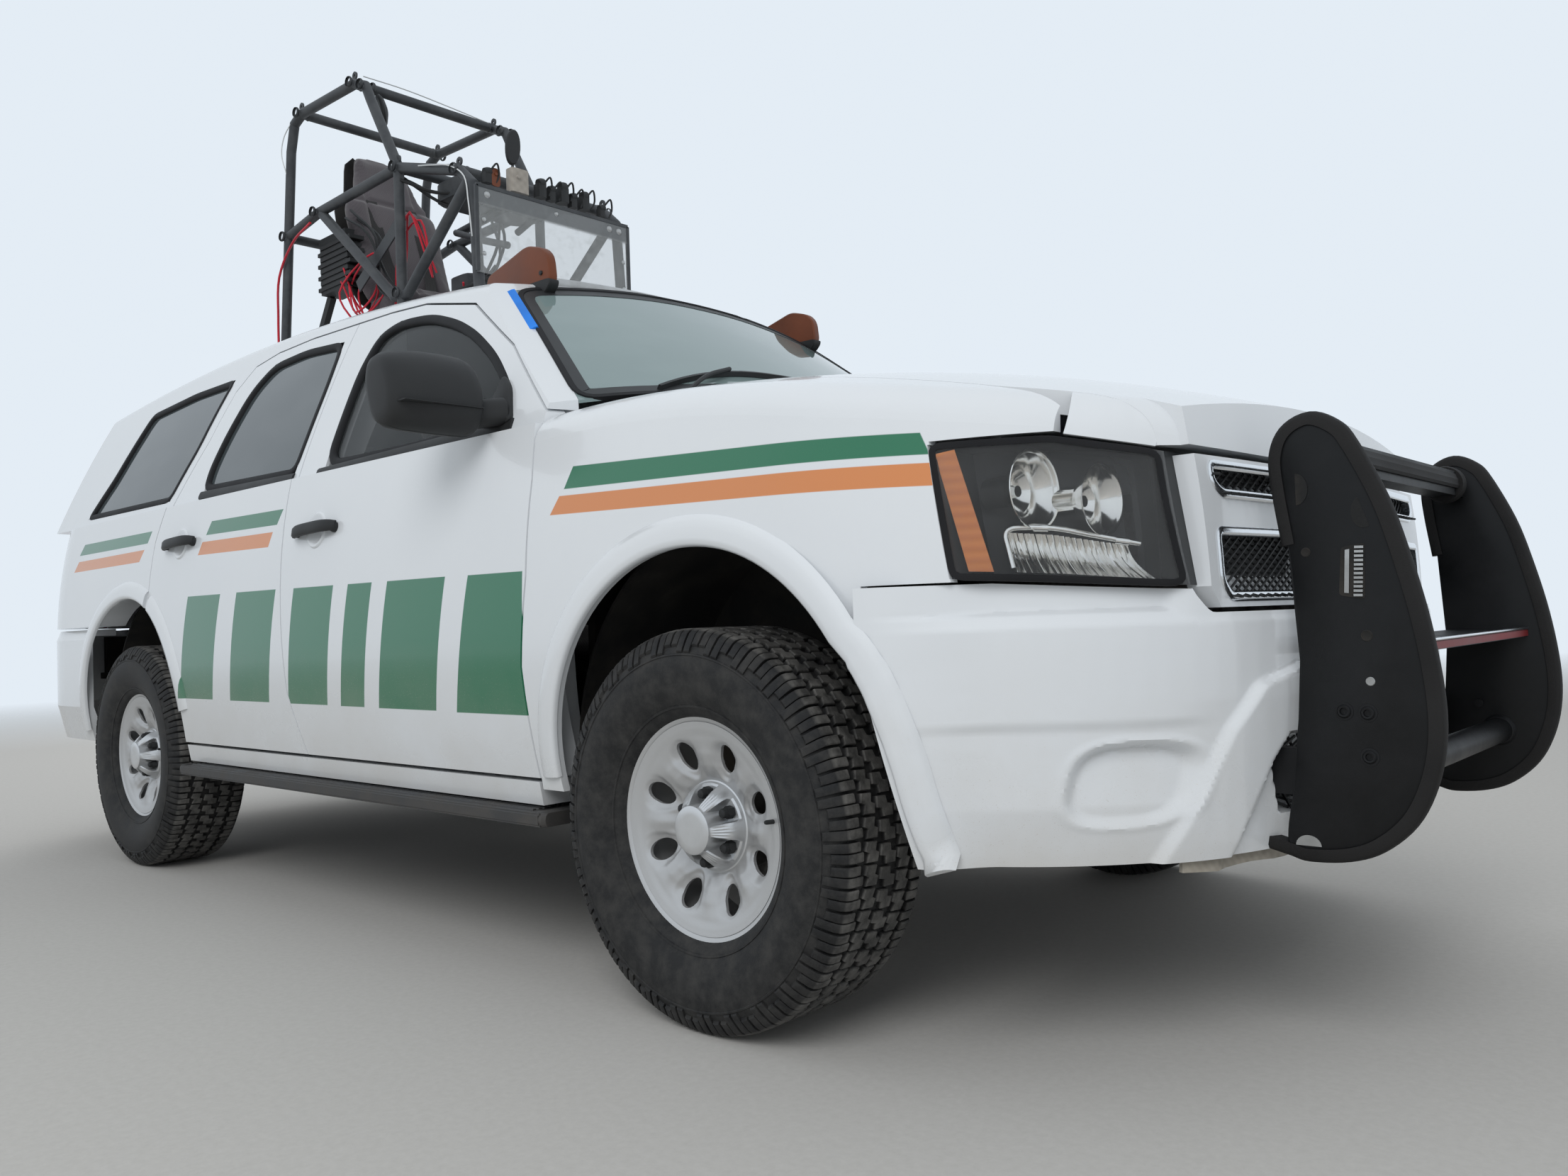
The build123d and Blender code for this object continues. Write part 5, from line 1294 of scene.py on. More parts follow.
def gap_to(line, y, z):
    """Distance from a point to a chain of straight runs."""
    best = 9.0
    p = Vector((y, z))
    for a, b in zip(line, line[1:]):
        a, b = Vector(a), Vector(b)
        t = max(0.0, min(1.0, (p - a).dot(b - a) / (b - a).length_squared))
        best = min(best, (p - a.lerp(b, t)).length)
    return best


CORE_X, OPENING_REACH, COVER_FOOT = 0.30, 0.42, 0.374


def cover_ray(phi, z):
    """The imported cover's outer face at an angle round the nose; None in an opening."""
    way, core = Vector((cos(phi), sin(phi), 0)), at(CORE_X, 0, z)
    found = bumper_skin.ray_cast(core + way * 2.0, -way)[0]
    return found if found is not None and (found - core).length > OPENING_REACH else None


FIRST_ANGLE, ANGLES, LEVELS, CORNER = radians(69), 150, 92, 14
half_rows = []
for level in range(LEVELS):
    share = level / (LEVELS - 1)
    row = []
    for j in range(ANGLES + 1):
        phi = FIRST_ANGLE * (1 - j / ANGLES)
        guess = cover_ray(phi, 0.700)
        y = guess.y
        x = guess.x - AXLE_X
        if y > 0.645:
            top = 0.853 - max(0.0, min(1.0, (x - 0.58) / 0.305)) * 0.025
        else:
            top = 0.828 - 0.041 * eased(0.660 - y, 0.0, 0.045)
        z = COVER_FOOT + (top - COVER_FOOT) * share
        cap = 0.778 + 0.022 * eased(y, 0.650, 0.700)
        low, high = cover_ray(phi, 0.400), cover_ray(phi, 0.640)
        bridge = low.lerp(high, (z - 0.400) / 0.240)
        place = cover_ray(phi, min(z, cap)) or bridge
        if 0.400 < z < 0.640:
            place = place.lerp(bridge, eased(0.700 - y, 0.0, 0.100))
        if z > cap:
            place = place - (place - at(CORE_X, 0, place.z)).normalized() * (z - cap) * 0.10
        row.append(Vector((place.x, place.y, z)))
    edge_x = None
    z = row[0].z
    for (z0, x0), (z1, x1) in zip(WHEEL_EDGE, WHEEL_EDGE[1:]):
        if z0 <= z <= z1 + 1e-6:
            edge_x = x0 + (x1 - x0) * (z - z0) / (z1 - z0)
    start = at(edge_x or 0.441, side_width(z) + 0.001, z)
    tangent = (row[2] - row[0]).normalized()
    meet = Vector((-tangent.y, tangent.x, 0))
    corner = hermite((start, Vector((0.10, 1, 0)).normalized()), (row[0], meet), CORNER + 1, 1.05)
    for p in corner:
        p.z = z
    half_rows.append(corner[:-1] + row)
for row in half_rows:
    flat = [p.copy() for p in row]
    for j, p in enumerate(flat):
        way = (flat[min(j + 1, len(flat) - 1)] - flat[max(j - 1, 0)]).normalized()
        out = Vector((-way.y, way.x, 0))
        if out.dot(p - at(CORE_X, 0, p.z)) < 0:
            out = -out
        x = p.x - AXLE_X
        move = 0.0160 * eased(0.062 - gap_to(BAND, p.y, p.z), 0.0, 0.013)
        if within((abs(p.y) + 1e-4, p.z), INTAKE):
            move = -0.050 * eased(
                gap_to(INTAKE[1:], p.y, p.z), 0.0, 0.022
            ) * eased(gap_to(INTAKE[:2], p.y, p.z), 0.0, 0.014)
        u = (x - 0.806 - 0.22 * (p.z - 0.507)) / 0.074
        v = (p.z - 0.508) / 0.067
        reach = (abs(u) ** 3 + abs(v) ** 3) ** (1 / 3)
        if p.y > 0.55:
            move -= (0.019 + 0.007 * v) * eased(1.04 - reach, 0.0, 0.22)
            move += 0.0022 * eased(1.22 - reach, 0.0, 0.14) * (1 - eased(1.06 - reach, 0.0, 0.05))
        row[j] = p + out * move
rows = []
for row in half_rows:
    mirror = [Vector((p.x, -p.y, p.z)) for p in row]
    rows.append(mirror + list(reversed(row[:-1])))
cover = Stock().add(thick_sheet([list(c) for c in zip(*rows)], 0.010, at(0.1, 0, 0.62)))
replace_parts(cover.piece("bumper_cover", paint_plain, slot="body_paint", sharp=40), "front_bumper")
cover_skin = BVHTree.FromPolygons(cover.verts, cover.faces)
print("bumper cover faces", len(cover.faces))

# %% [markdown]
# ## Air intake and dam
# Below the band the cover opens into an intake. A dark sheet at its bottom is painted shade for the
# deep opening, with crossed bars in front, and a pale flexible strip hangs under the cover's lower
# edge, as on vehicles that meet kerbs.

# %% Intake mesh, painted shade sheet and air dam
INTAKE_WIDE = [(-y, z) for y, z in reversed(INTAKE[1:])] + INTAKE[1:]
INTAKE_WIDE = [(y, z) for y, z in INTAKE_WIDE if abs(y) > 0.01]
MOUTH_Y = 0.455
shade_sheet, deep = Stock(), Stock()
# A dark sheet 3 mm in front of the pushed-in cover is painted shade for the depth of the intake.
shade_rows = []
for y in span(-MOUTH_Y, MOUTH_Y, 50):
    found = on_front(cover_skin, y, 0.507)
    if found:
        shade_rows.append([Vector((found[0].x + 0.003, y, z)) for z in span(0.448, 0.560, 4)])
shade_sheet.add(grid(shade_rows))
shade_sheet.piece("intake_shade_sheet", dark_housing, slot="black_plastic")
for turn in (-1, 1):
    start = -0.80
    while start < 0.80:
        run = []
        for k in range(9):
            z = 0.438 + (0.576 - 0.438) * k / 8
            y = start + turn * (z - 0.508) / 0.55
            found = on_front(cover_skin, y, z) if abs(y) < MOUTH_Y else None
            if found and within((y, z), INTAKE_WIDE):
                run.append(Vector((found[0].x + 0.010 + 0.003 * turn, y, z)))
        if len(run) > 1:
            deep.add(tube(run, 0.003, 5))
        start += 0.042
deep.piece("intake_mesh", black_plastic, slot="black_plastic", sharp=60)
path = []
for y in span(-0.660, 0.660, 45):
    found = on_front(cover_skin, y, 0.380)
    if found:
        path.append(found[0] + Vector((-0.022, 0, -0.014 - 0.002 * sin(y * 40))))
if len(path) > 3:
    dam_section = [(-0.014, -0.003), (-0.014, 0.003), (0.014, 0.005), (0.014, -0.005)]
    dam_cloth = cloth("air_dam_strip", rgb(0.36, 0.33, 0.28), 300.0)
    dam = Stock().add(ribbon(path, (1, 0, 0), dam_section))
    dam.piece("air_dam", dam_cloth, slot="black_plastic")
print("bumper trim in place")

# %% [markdown]
# ## Arch flares
# A soft raised band runs round each wheel opening. It is swept along the arch on the body's side
# curve. The front one starts at the bumper's foot and follows its edge up to the arch; the rear one
# is split where the door's edge crosses it, so that the door can open.

# %% Side curve and flares
def side_normal(z, side):
    slope = (side_width(z + 0.004) - side_width(z - 0.004)) / 0.008
    return Vector((0, side, -slope)).normalized()


def side_spot(x, z, side, lift=0.0):
    return at(x, side * side_width(z), z) + side_normal(z, side) * lift


def lip_spot(x, z, side):
    found = on_side(cover_skin, x, z, side) if x > 0.446 else None
    return found or (side_spot(x, z, side), side_normal(z, side))


LEAD = [
    (0.566, 0.372), (0.541, 0.470), (0.523, 0.555), (0.502, 0.625), (0.476, 0.690), (0.444, 0.742)
]
FLARE = [
    (-0.031, -0.004), (-0.0300, 0.004), (-0.0255, 0.0085), (-0.014, 0.0100), (0.004, 0.0100),
    (0.018, 0.0085), (0.0270, 0.0045), (0.034, -0.002)
]


FRONT_ARCH, REAR_ARCH = ((0.020, 0.505), 0.474), ((-2.920, 0.505), 0.485)
LAST_DEGREE = 184


def flare(name, arch, first, last, side, made, body, lead=()):
    """A raised lip along part of an arch, in degrees, after leading points of its own."""
    centre, radius = arch
    path = [(p.x, p.y) for p in smooth_path([(x, z, 0) for x, z in lead], 4)] if lead else []
    for degree in span(first, last, int((last - first) / 3) + 2):
        a = radians(degree)
        path.append((centre[0] + radius * cos(a), centre[1] + radius * sin(a)))
    spots = [lip_spot(x, z, side) for x, z in path]
    Stock().add(laid(spots, FLARE)).piece(name, made, body, slot="body_paint", sharp=60)


for label, side in SIDES.items():
    flare(
        f"arch_flare_front_{label}", FRONT_ARCH, 35.0, LAST_DEGREE, side, paint_fender, "vehicle",
        LEAD
    )
    flare(
        f"arch_flare_rear_{label}", REAR_ARCH, 8, 62.5, side, paint_rear_door, f"rear_door_{label}"
    )
    flare(
        f"arch_flare_quarter_{label}", REAR_ARCH, 66.5, LAST_DEGREE, side, paint_quarter, "vehicle"
    )
print("flares in place")

# %% [markdown]
# ## Window seals and belt strips
# Rubber frames line each side window, and a black strip wipes the glass at the belt. Their
# corners are rounded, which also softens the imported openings' straight cuts.

# %% Seals
FRONT_WINDOW = [
    (-0.670, 1.300), (-0.700, 1.390), (-0.824, 1.498), (-0.973, 1.590), (-1.107, 1.652),
    (-1.281, 1.708), (-1.467, 1.728), (-1.565, 1.700), (-1.590, 1.594), (-1.579, 1.469),
    (-1.565, 1.288), (-1.100, 1.283)
]
REAR_WINDOW = [
    (-1.755, 1.290), (-1.757, 1.422), (-1.768, 1.574), (-1.808, 1.728), (-2.085, 1.752),
    (-2.303, 1.742), (-2.395, 1.660), (-2.434, 1.502), (-2.448, 1.379), (-2.425, 1.305)
]
QUARTER_WINDOW = [
    (-2.712, 1.296), (-2.640, 1.480), (-2.620, 1.740), (-2.963, 1.742), (-3.349, 1.716),
    (-3.432, 1.459), (-3.542, 1.300)
]
SEAL = [
    (-0.015, -0.012), (-0.015, 0.000), (-0.011, 0.0028), (0.006, 0.0018), (0.012, -0.004),
    (0.012, -0.012)
]


def seal(name, outline, side, body, corner=0.07):
    ring = inset(filled([tuple(p) for p in rounded(outline, corner, 6)], 0.05), 0.010)
    area = sum(a.x * b.y - b.x * a.y for a, b in zip(ring, ring[1:] + ring[:1]))
    if area * side < 0:
        ring.reverse()
    spots = [(side_spot(p.x, p.y, side), side_normal(p.y, side)) for p in ring]
    made = Stock().add(laid(spots, SEAL, closed=True))
    made.piece(name, seal_rubber, body, slot="black_plastic", sharp=50)


STRIP = [
    (-0.015, -0.004), (-0.014, 0.004), (-0.006, 0.0065), (0.008, 0.0060), (0.014, 0.003),
    (0.014, -0.004)
]


def strip(name, start, end, side, body):
    """A belt strip between two places of the side view."""
    line = zip(span(start[0], end[0], 25), span(start[1], end[1], 25))
    made = Stock().add(laid(
        [(side_spot(x, z, side), side_normal(z, side)) for x, z in line], STRIP
    ))
    made.piece(name, black_plastic, body, slot="black_plastic", sharp=50)


for label, side in SIDES.items():
    seal(f"front_window_seal_{label}", FRONT_WINDOW, side, f"front_door_{label}", 0.09)
    seal(f"rear_window_seal_{label}", REAR_WINDOW, side, f"rear_door_{label}", 0.06)
    seal(f"quarter_window_seal_{label}", QUARTER_WINDOW, side, "vehicle", 0.04)
    strip(f"front_belt_{label}", (-0.640, 1.288), (-1.596, 1.274), side, f"front_door_{label}")
    strip(f"rear_belt_{label}", (-1.752, 1.278), (-2.440, 1.290), side, f"rear_door_{label}")
print("seals in place")

# %% [markdown]
# ## Door handles
# Each handle is a black strap bowed away from a round painted cup, held at both ends.

# %% Handles
for label, side in SIDES.items():
    for door, x, z, made in (
        ("front", -1.525, 1.100, paint_front_door), ("rear", -2.490, 1.128, paint_rear_door)
    ):
        body = f"{door}_door_{label}"
        spot, normal = side_spot(x, z, side), side_normal(z, side)
        cup = turned(
            [
                (0, 0.0008), (0.026, 0.0010), (0.040, 0.0030), (0.0465, 0.0048), (0.0500, 0.0042),
                (0.0530, -0.001)
            ],
            spot + Vector((0.018, 0, 0)), normal, 48
        )
        Stock().add(cup).piece(
            f"handle_cup_{door}_{label}", made, body, slot="body_paint", sharp=60
        )
        strap = Stock()
        points, sizes = [], []
        for t in span(-1, 1, 17):
            lift = 0.014 + 0.020 * (1 - t**4)
            points.append(side_spot(x + 0.018 + 0.120 * t, z + 0.004 * t, side, lift - 0.006))
            sizes.append(1.0 - 0.22 * t**6)
        strap.add(sweep(
            points, [normal] * len(points),
            [
                (-0.0165, -0.005), (-0.0165, 0.003), (-0.010, 0.0075), (0.010, 0.0075),
                (0.0165, 0.003), (0.0165, -0.005), (0.008, -0.007), (-0.008, -0.007)
            ],
            scale=sizes
        ))
        for t in (-0.90, 0.90):
            strap.add(turned(
                [(0, -0.004), (0.014, -0.004), (0.0155, 0.006), (0.012, 0.016), (0, 0.016)],
                side_spot(x + 0.018 + 0.120 * t, z, side), normal, 20
            ))
        strap.piece(f"handle_{door}_{label}", black_plastic, body, slot="black_plastic", sharp=40)
print("handles in place")

# %% [markdown]
# ## Mirrors
# The mirror is a rounded shell, fuller above its seam than below, on a short arm from a triangular
# foot in the window's corner. Rings of a squared oval, each a bit smaller towards the tip, loft it.

# %% Door mirrors
MIRROR_X, MIRROR_Z = -0.735, 1.352
for label, side in SIDES.items():
    shell = Stock()
    rings = []
    for share, grow in (
        (0.0, 0.72), (0.02, 0.84), (0.06, 0.93), (0.14, 0.985), (0.30, 1.0), (0.55, 0.99),
        (0.78, 0.95), (0.90, 0.89), (0.96, 0.80), (0.99, 0.66), (1.0, 0.5)
    ):
        y = 0.982 + 0.228 * share
        x = MIRROR_X + 0.010 - 0.020 * share
        z = MIRROR_Z + 0.004 * sin(pi * share)
        ring = []
        for a, b in squared(0.074 * grow, 0.099 * grow, 2.7):
            lean = 0.018 * (b / 0.099)
            ring.append(at(
                x + a - lean - 0.016 * (1 if a > 0 else 0) * (abs(b) / 0.1) ** 2, side * y, z + b
            ))
        rings.append(ring)
    shell.add(lofted(rings))
    shell.add(lofted([
        [
            at(MIRROR_X + 0.012 + a * (1 + 0.025), side * y, MIRROR_Z - 0.034 + b)
            for a, b in squared(0.0745, 0.0020, 4)
        ]
        for y in span(0.992, 1.196, 6)
    ]))
    arm = []
    for t in span(0, 1, 9):
        y = 0.925 + (1.005 - 0.925) * t
        arm.append([
            at(-0.700 - 0.030 * t + a, side * y, 1.322 - 0.012 * t + b)
            for a, b in squared(0.050 - 0.004 * t, 0.034, 3)
        ])
    shell.add(lofted(arm))
    sail = rounded(
        [(-0.640, 1.292), (-0.690, 1.385), (-0.735, 1.425), (-0.765, 1.300), (-0.755, 1.288)], 0.02,
        4
    )
    shell.add(lofted([
        [side_spot(p.x, p.y, side, lift) for p in inset(sail, trim)]
        for lift, trim in ((-0.014, 0.0), (0.010, 0.0), (0.015, 0.006))
    ]))
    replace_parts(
        shell.piece(
            f"mirror_shell_{label}", black_plastic, f"front_door_{label}", slot="black_plastic",
            sharp=40
        ),
        f"mirror_{label}"
    )
    glass = lofted([
        [
            at(MIRROR_X - 0.066 - d, side * (1.096 + a), MIRROR_Z + 0.004 + b)
            for a, b in squared(w, h, 3.2)
        ]
        for d, w, h in ((0.0, 0.092, 0.078), (0.006, 0.090, 0.076))
    ])
    Stock().add(glass).piece(
        f"mirror_glass_{label}", mirror_metal, f"front_door_{label}", slot="lamp_chrome", sharp=40
    )
print("mirrors in place")

# %% [markdown]
# ## Push bumper
# Two steel wings carry a rubber edge, joined by a ribbed bar, a shelf and a tube. The packed
# plate has straight cuts, so a plate with a smooth outline is laid over each wing, a hair
# thicker, and the rubber is swept round it. Bolts, holes and the slot lamp sit on the outer
# faces. The holes, the arc slots and the lamp's recess are flat dark patches: painted shade.

# %% Wings and their rubber
WING = [
    (0.978, 0.480), (0.992, 0.600), (0.999, 0.700), (0.995, 0.800), (0.988, 0.897), (0.975, 0.990),
    (0.972, 1.050), (0.990, 1.092), (1.029, 1.110), (1.068, 1.092), (1.092, 1.060), (1.135, 0.965),
    (1.163, 0.870), (1.188, 0.760), (1.203, 0.650), (1.203, 0.570), (1.188, 0.500), (1.158, 0.440),
    (1.110, 0.396), (1.060, 0.376), (1.000, 0.370), (0.970, 0.377), (0.966, 0.410)
]
WING_Y, FACE_Y = 0.475, 0.4895
RUBBER_FROM, RUBBER_TO = 4, 22
wing_loop = smooth_path([(x, 0, z) for x, z in WING + WING[:1]], 5)[:-1]
rubber_loop = smooth_path(
    [(x, 0, z) for x, z in WING[RUBBER_FROM:RUBBER_TO]] + [(0.925, 0, 0.388)], 5
)
RUBBER = [
    (-0.0165, -0.011), (-0.0165, 0.004), (-0.012, 0.011), (0.0, 0.0135), (0.012, 0.011),
    (0.0165, 0.004), (0.0165, -0.011)
]
for label, side in SIDES.items():
    plate = [Vector((AXLE_X + p.x, side * WING_Y, p.z)) for p in wing_loop]
    rows = []
    for shift, trim in ((-0.0145, 0.003), (-0.0120, 0.0), (0.0120, 0.0), (0.0145, 0.003)):
        ring = inset([Vector((p.x, p.z)) for p in plate], trim)
        rows.append([Vector((p.x, side * (WING_Y + shift), p.y)) for p in ring])
    Stock().add(lofted(rows)).piece(f"wing_plate_{label}", push_coat, slot="black_steel", sharp=40)
    points = [Vector((AXLE_X + p.x, side * WING_Y, p.z)) for p in rubber_loop]
    middle = at(1.080, side * WING_Y, 0.740)
    normals = []
    for i, p in enumerate(points):
        way = (points[min(i + 1, len(points) - 1)] - points[max(i - 1, 0)]).normalized()
        out = way.cross(Vector((0, 1, 0)))
        normals.append(out if out.dot(p - middle) > 0 else -out)
    Stock().add(sweep(points, normals, RUBBER)).piece(
        f"wing_rubber_{label}", edge_rubber, slot="black_plastic", sharp=50
    )
    bolts, holes, bright = Stock(), Stock(), Stock()
    face = side * FACE_Y
    for x, z in ((1.067, 0.615), (1.104, 0.613), (1.104, 0.541)):
        bolts.add(turned(
            [
                (0.0030, 0.0005), (0.0055, 0.0005), (0.0062, 0.0045), (0.0088, 0.0050),
                (0.0105, 0.0035), (0.0115, 0.0012), (0.0150, 0.0010), (0.0155, -0.001)
            ],
            at(x, face, z), (0, side, 0), 24
        ))
    # Holes, arc slots and the lamp recess are dark discs and patches on the face: painted shade.
    for x, z, r in ((1.108, 0.740, 0.0060), (1.017, 0.883, 0.0045)):
        holes.add(turned(
            [(0, 0.0003), (r, 0.0006), (r + 0.0025, 0.0016), (r + 0.004, -0.0005)], at(x, face, z),
            (0, side, 0), 24
        ))
    bright.add(turned(
        [(0, 0.0006), (0.0065, 0.0009), (0.0080, -0.0005)], at(1.110, face, 0.665), (0, side, 0), 24
    ))
    for (x, z), turn in (((1.0050, 0.991), 0), ((1.112, 0.945), 205)):
        arc = [
            (x + 0.020 * cos(radians(turn + a)), z + 0.027 * sin(radians(turn + a)))
            for a in range(-90, 91, 12)
        ]
        holes.add(slab(
            [at(px, face, pz) for px, pz in arc], (0, -side * 0.001, 0), (0, side * 0.0008, 0)
        ))
    notch = [
        (1.000 + 0.021 * cos(radians(a)), 0.386 + 0.018 * sin(radians(a)))
        for a in range(0, 181, 12)
    ]
    bright.add(slab(
        [at(px, face, pz) for px, pz in notch], (0, -side * 0.001, 0), (0, side * 0.0006, 0)
    ))
    lamp_box = rounded([(1.068, 0.808), (1.108, 0.800), (1.112, 0.893), (1.074, 0.888)], 0.006, 3)
    holes.add(slab(
        [at(p.x, face, p.y) for p in lamp_box], (0, -side * 0.002, 0), (0, side * 0.0010, 0)
    ))
    for k in range(12):
        z = 0.8055 + 0.0072 * k
        shift = 0.0004 * k
        bright.add(slab(
            [
                at(1.092 + shift, face, z), at(1.106 + shift, face, z - 0.0006),
                at(1.106 + shift, face, z + 0.0034), at(1.092 + shift, face, z + 0.0040)
            ],
            (0, 0, 0), (0, side * 0.0050, 0)
        ))
    bright.add(slab(
        [
            at(1.077, face, 0.812), at(1.084, face, 0.811), at(1.088, face, 0.884),
            at(1.081, face, 0.883)
        ],
        (0, 0, 0), (0, side * 0.003, 0)
    ))
    bolts.piece(f"wing_bolts_{label}", push_coat, slot="black_steel", sharp=30)
    holes.piece(f"wing_hole_shade_{label}", liner_felt, slot="black_plastic", sharp=30)
    bright.piece(f"wing_slot_lamp_{label}", bare_metal, slot="lamp_chrome", sharp=30)
print("wings ready")

# %% [markdown]
# ## Bars between the wings
# The upper bar wears a ribbed rubber sleeve, and the shelf has a bright lip and a red stripe.

# %% Bars
BAR_X, BAR_Z = 1.024, 1.053
sleeve = Stock()
rows = []
for y in span(-0.400, 0.400, 21):
    ring = []
    for i in range(21):
        a = radians(-20 + 220 * i / 20)
        rib = 0.0012 * (1 if i % 2 else 0)
        ring.append(at(BAR_X + (0.031 + rib) * cos(a), y, BAR_Z + (0.033 + rib) * sin(a)))
    rows.append(ring)
inner = [
    [p.lerp(Vector((AXLE_X + BAR_X, p.y, BAR_Z)), 0.14) for p in reversed(row)] for row in rows
]
sleeve.add(lofted([a + b for a, b in zip(rows, inner)]))
for k in (-1, 1):
    sleeve.add(turned(
        [
            (0.024, -0.016), (0.039, -0.016), (0.041, -0.008), (0.041, 0.008), (0.039, 0.016),
            (0.024, 0.016)
        ],
        at(BAR_X, k * 0.412, BAR_Z), (0, 1, 0), 32
    ))
sleeve.piece("bar_sleeve", edge_rubber, slot="black_plastic", sharp=30)
lip = Stock()
lip.add(ribbon([at(1.1608, y, 0.7265) for y in span(-0.458, 0.458, 9)], UP, circle(0.0035, 10)))
lip.piece("shelf_lip", bright_trim, slot="lamp_chrome")
stripe_piece = Stock()
stripe_piece.add(slab(
    [
        at(1.1602, -0.455, 0.7095), at(1.1602, 0.455, 0.7095), at(1.1602, 0.455, 0.7225),
        at(1.1602, -0.455, 0.7225)
    ],
    (0, 0, 0), (0.0016, 0, 0)
))
stripe_piece.piece(
    "shelf_stripe", grained("shelf_red", rgb(0.150, 0.012, 0.014), 0.45, 120.0), slot="red_lens",
    sharp=30
)
ends = Stock()
for side in (-1, 1):
    ends.add(turned(
        [(0.026, -0.004), (0.034, -0.004), (0.034, 0.002), (0.030, 0.007), (0.0272, 0.008)],
        at(1.095, side * 0.4615, 0.500), (0, -side, 0), 28
    ))
    ends.add(turned(
        [(0, 0), (0.010, 0), (0.010, 0.006), (0, 0.007)], at(1.060, side * 0.452, 0.560),
        (0, -side, 0), 6
    ))
ends.piece("tube_collars", push_coat, slot="black_steel", sharp=30)
print("bars ready")

# %% [markdown]
# ## Running boards
# Each board has a raised, ribbed tread on top and hangs from brackets under the sill.

# %% Board treads and brackets
for label, side in SIDES.items():
    treads, hangers = Stock(), Stock()
    for y in span(0.850, 0.975, 9):
        points = [at(x, side * y, 0.3925) for x in span(-2.400, -0.520, 12)]
        treads.add(ribbon(points, UP, ridge(0.0050, -0.001, 0.0036, 0.0032)))
    points = [at(x, side * 0.998, 0.377) for x in span(-2.436, -0.472, 30)]
    treads.add(ribbon(
        points, (0, side, 0),
        [
            (-0.015, -0.012), (-0.0155, -0.002), (-0.010, 0.004), (0.010, 0.004), (0.0155, -0.002),
            (0.015, -0.012)
        ]
    ))
    for x, way in ((-0.470, 1), (-2.438, -1)):
        cap = rounded(
            [(-0.100, -0.016), (0.102, -0.016), (0.108, 0.0), (0.102, 0.017), (-0.100, 0.017)],
            0.008, 3
        )
        treads.add(lofted([
            [at(x + way * d, side * (0.895 + p.x * g), 0.377 + p.y * g) for p in cap]
            for d, g in ((-0.020, 1.0), (0.008, 1.0), (0.016, 0.93))
        ]))
    treads.piece(f"board_tread_{label}", board_metal, slot="board_alloy", sharp=40)
    for x in (-0.620, -1.180, -1.760, -2.300):
        arm = smooth_path(
            [at(x, side * 0.760, 0.400), at(x, side * 0.800, 0.405), at(x, side * 0.835, 0.398)], 5
        )
        hangers.add(ribbon(arm, UP, ridge(0.020, -0.004, 0.020, 0.004)))
    hangers.piece(f"board_brackets_{label}", chassis_steel, slot="black_steel", sharp=30)
print("boards ready")

# %% [markdown]
# ## Windscreen, wipers and tape
# The screen has a dark painted border, wipers rest along its foot, and blue masking tape runs up
# the near pillar. Rays find the glass, so each strip lies on its curve.

# %% Windscreen border
screen_skin = skin_of("windscreen")
SCREEN_BASE = [(-0.392, 0.0), (-0.404, 0.300), (-0.438, 0.600), (-0.492, 0.838)]
SCREEN_TOP = [(-0.990, 0.655), (-0.966, 0.350), (-0.955, 0.0)]
half = [Vector((x, -y)) for x, y in SCREEN_BASE + SCREEN_TOP]
loop = half + [Vector((p.x, -p.y)) for p in reversed(half[1:-1])]
ring = inset(filled([tuple(p) for p in rounded(loop, 0.06, 5)], 0.06), 0.018)
spots = [on_top(screen_skin, p.x, p.y, 0.0006) for p in ring]
border = laid(spots, ridge(0.024, -0.001, 0.023, 0.0010), closed=True)
Stock().add(border).piece("screen_border", dark_housing, slot="dark_glass", sharp=50)
outer = []
for p in inset(ring, -0.014):
    found = on_top(screen_skin, p.x, p.y, 0.0) or on_top(
        screen_skin, p.x * 0.994 - 0.004, p.y * 0.985, 0.0
    )
    if found:
        outer.append((Vector((AXLE_X + p.x, p.y, found[0].z)), found[1]))
moulding = laid(
    outer, [(-0.009, -0.006), (-0.008, 0.0045), (0.006, 0.0045), (0.009, 0.0)], closed=True
)
Stock().add(moulding).piece("screen_moulding", seal_rubber, slot="black_plastic", sharp=50)
wipers = Stock()
for start, end, root in (
    ((-0.452, -0.66), (-0.470, -0.06), (-0.410, -0.600)),
    ((-0.430, 0.02), (-0.462, 0.60), (-0.372, 0.060))
):
    blade = []
    for t in span(0, 1, 14):
        x = start[0] + (end[0] - start[0]) * t - 0.030 * sin(pi * t)
        found = on_top(screen_skin, x, start[1] + (end[1] - start[1]) * t, 0.010)
        if found:
            blade.append(found[0])
    if len(blade) > 4:
        wipers.add(ribbon(blade, (0.5, 0, 0.86), ridge(0.006, -0.008, 0.004, 0.004)))
        middle = blade[len(blade) // 2] + Vector((0, 0, 0.010))
        stand = on_top(skin_of("cowl", "hood"), root[0], root[1])
        foot = stand[0] + Vector((0, 0, 0.012)) if stand else at(root[0], root[1], middle.z - 0.08)
        wipers.add(tube(
            smooth_path([foot, foot.lerp(middle, 0.5) + Vector((0, 0, 0.020)), middle], 6), 0.006, 8
        ))
        wipers.add(turned(
            [(0, -0.012), (0.015, -0.012), (0.013, 0.008), (0, 0.012)], foot, (0, 0, 1), 20
        ))
wipers.piece("wipers", black_plastic, slot="black_plastic", sharp=40)

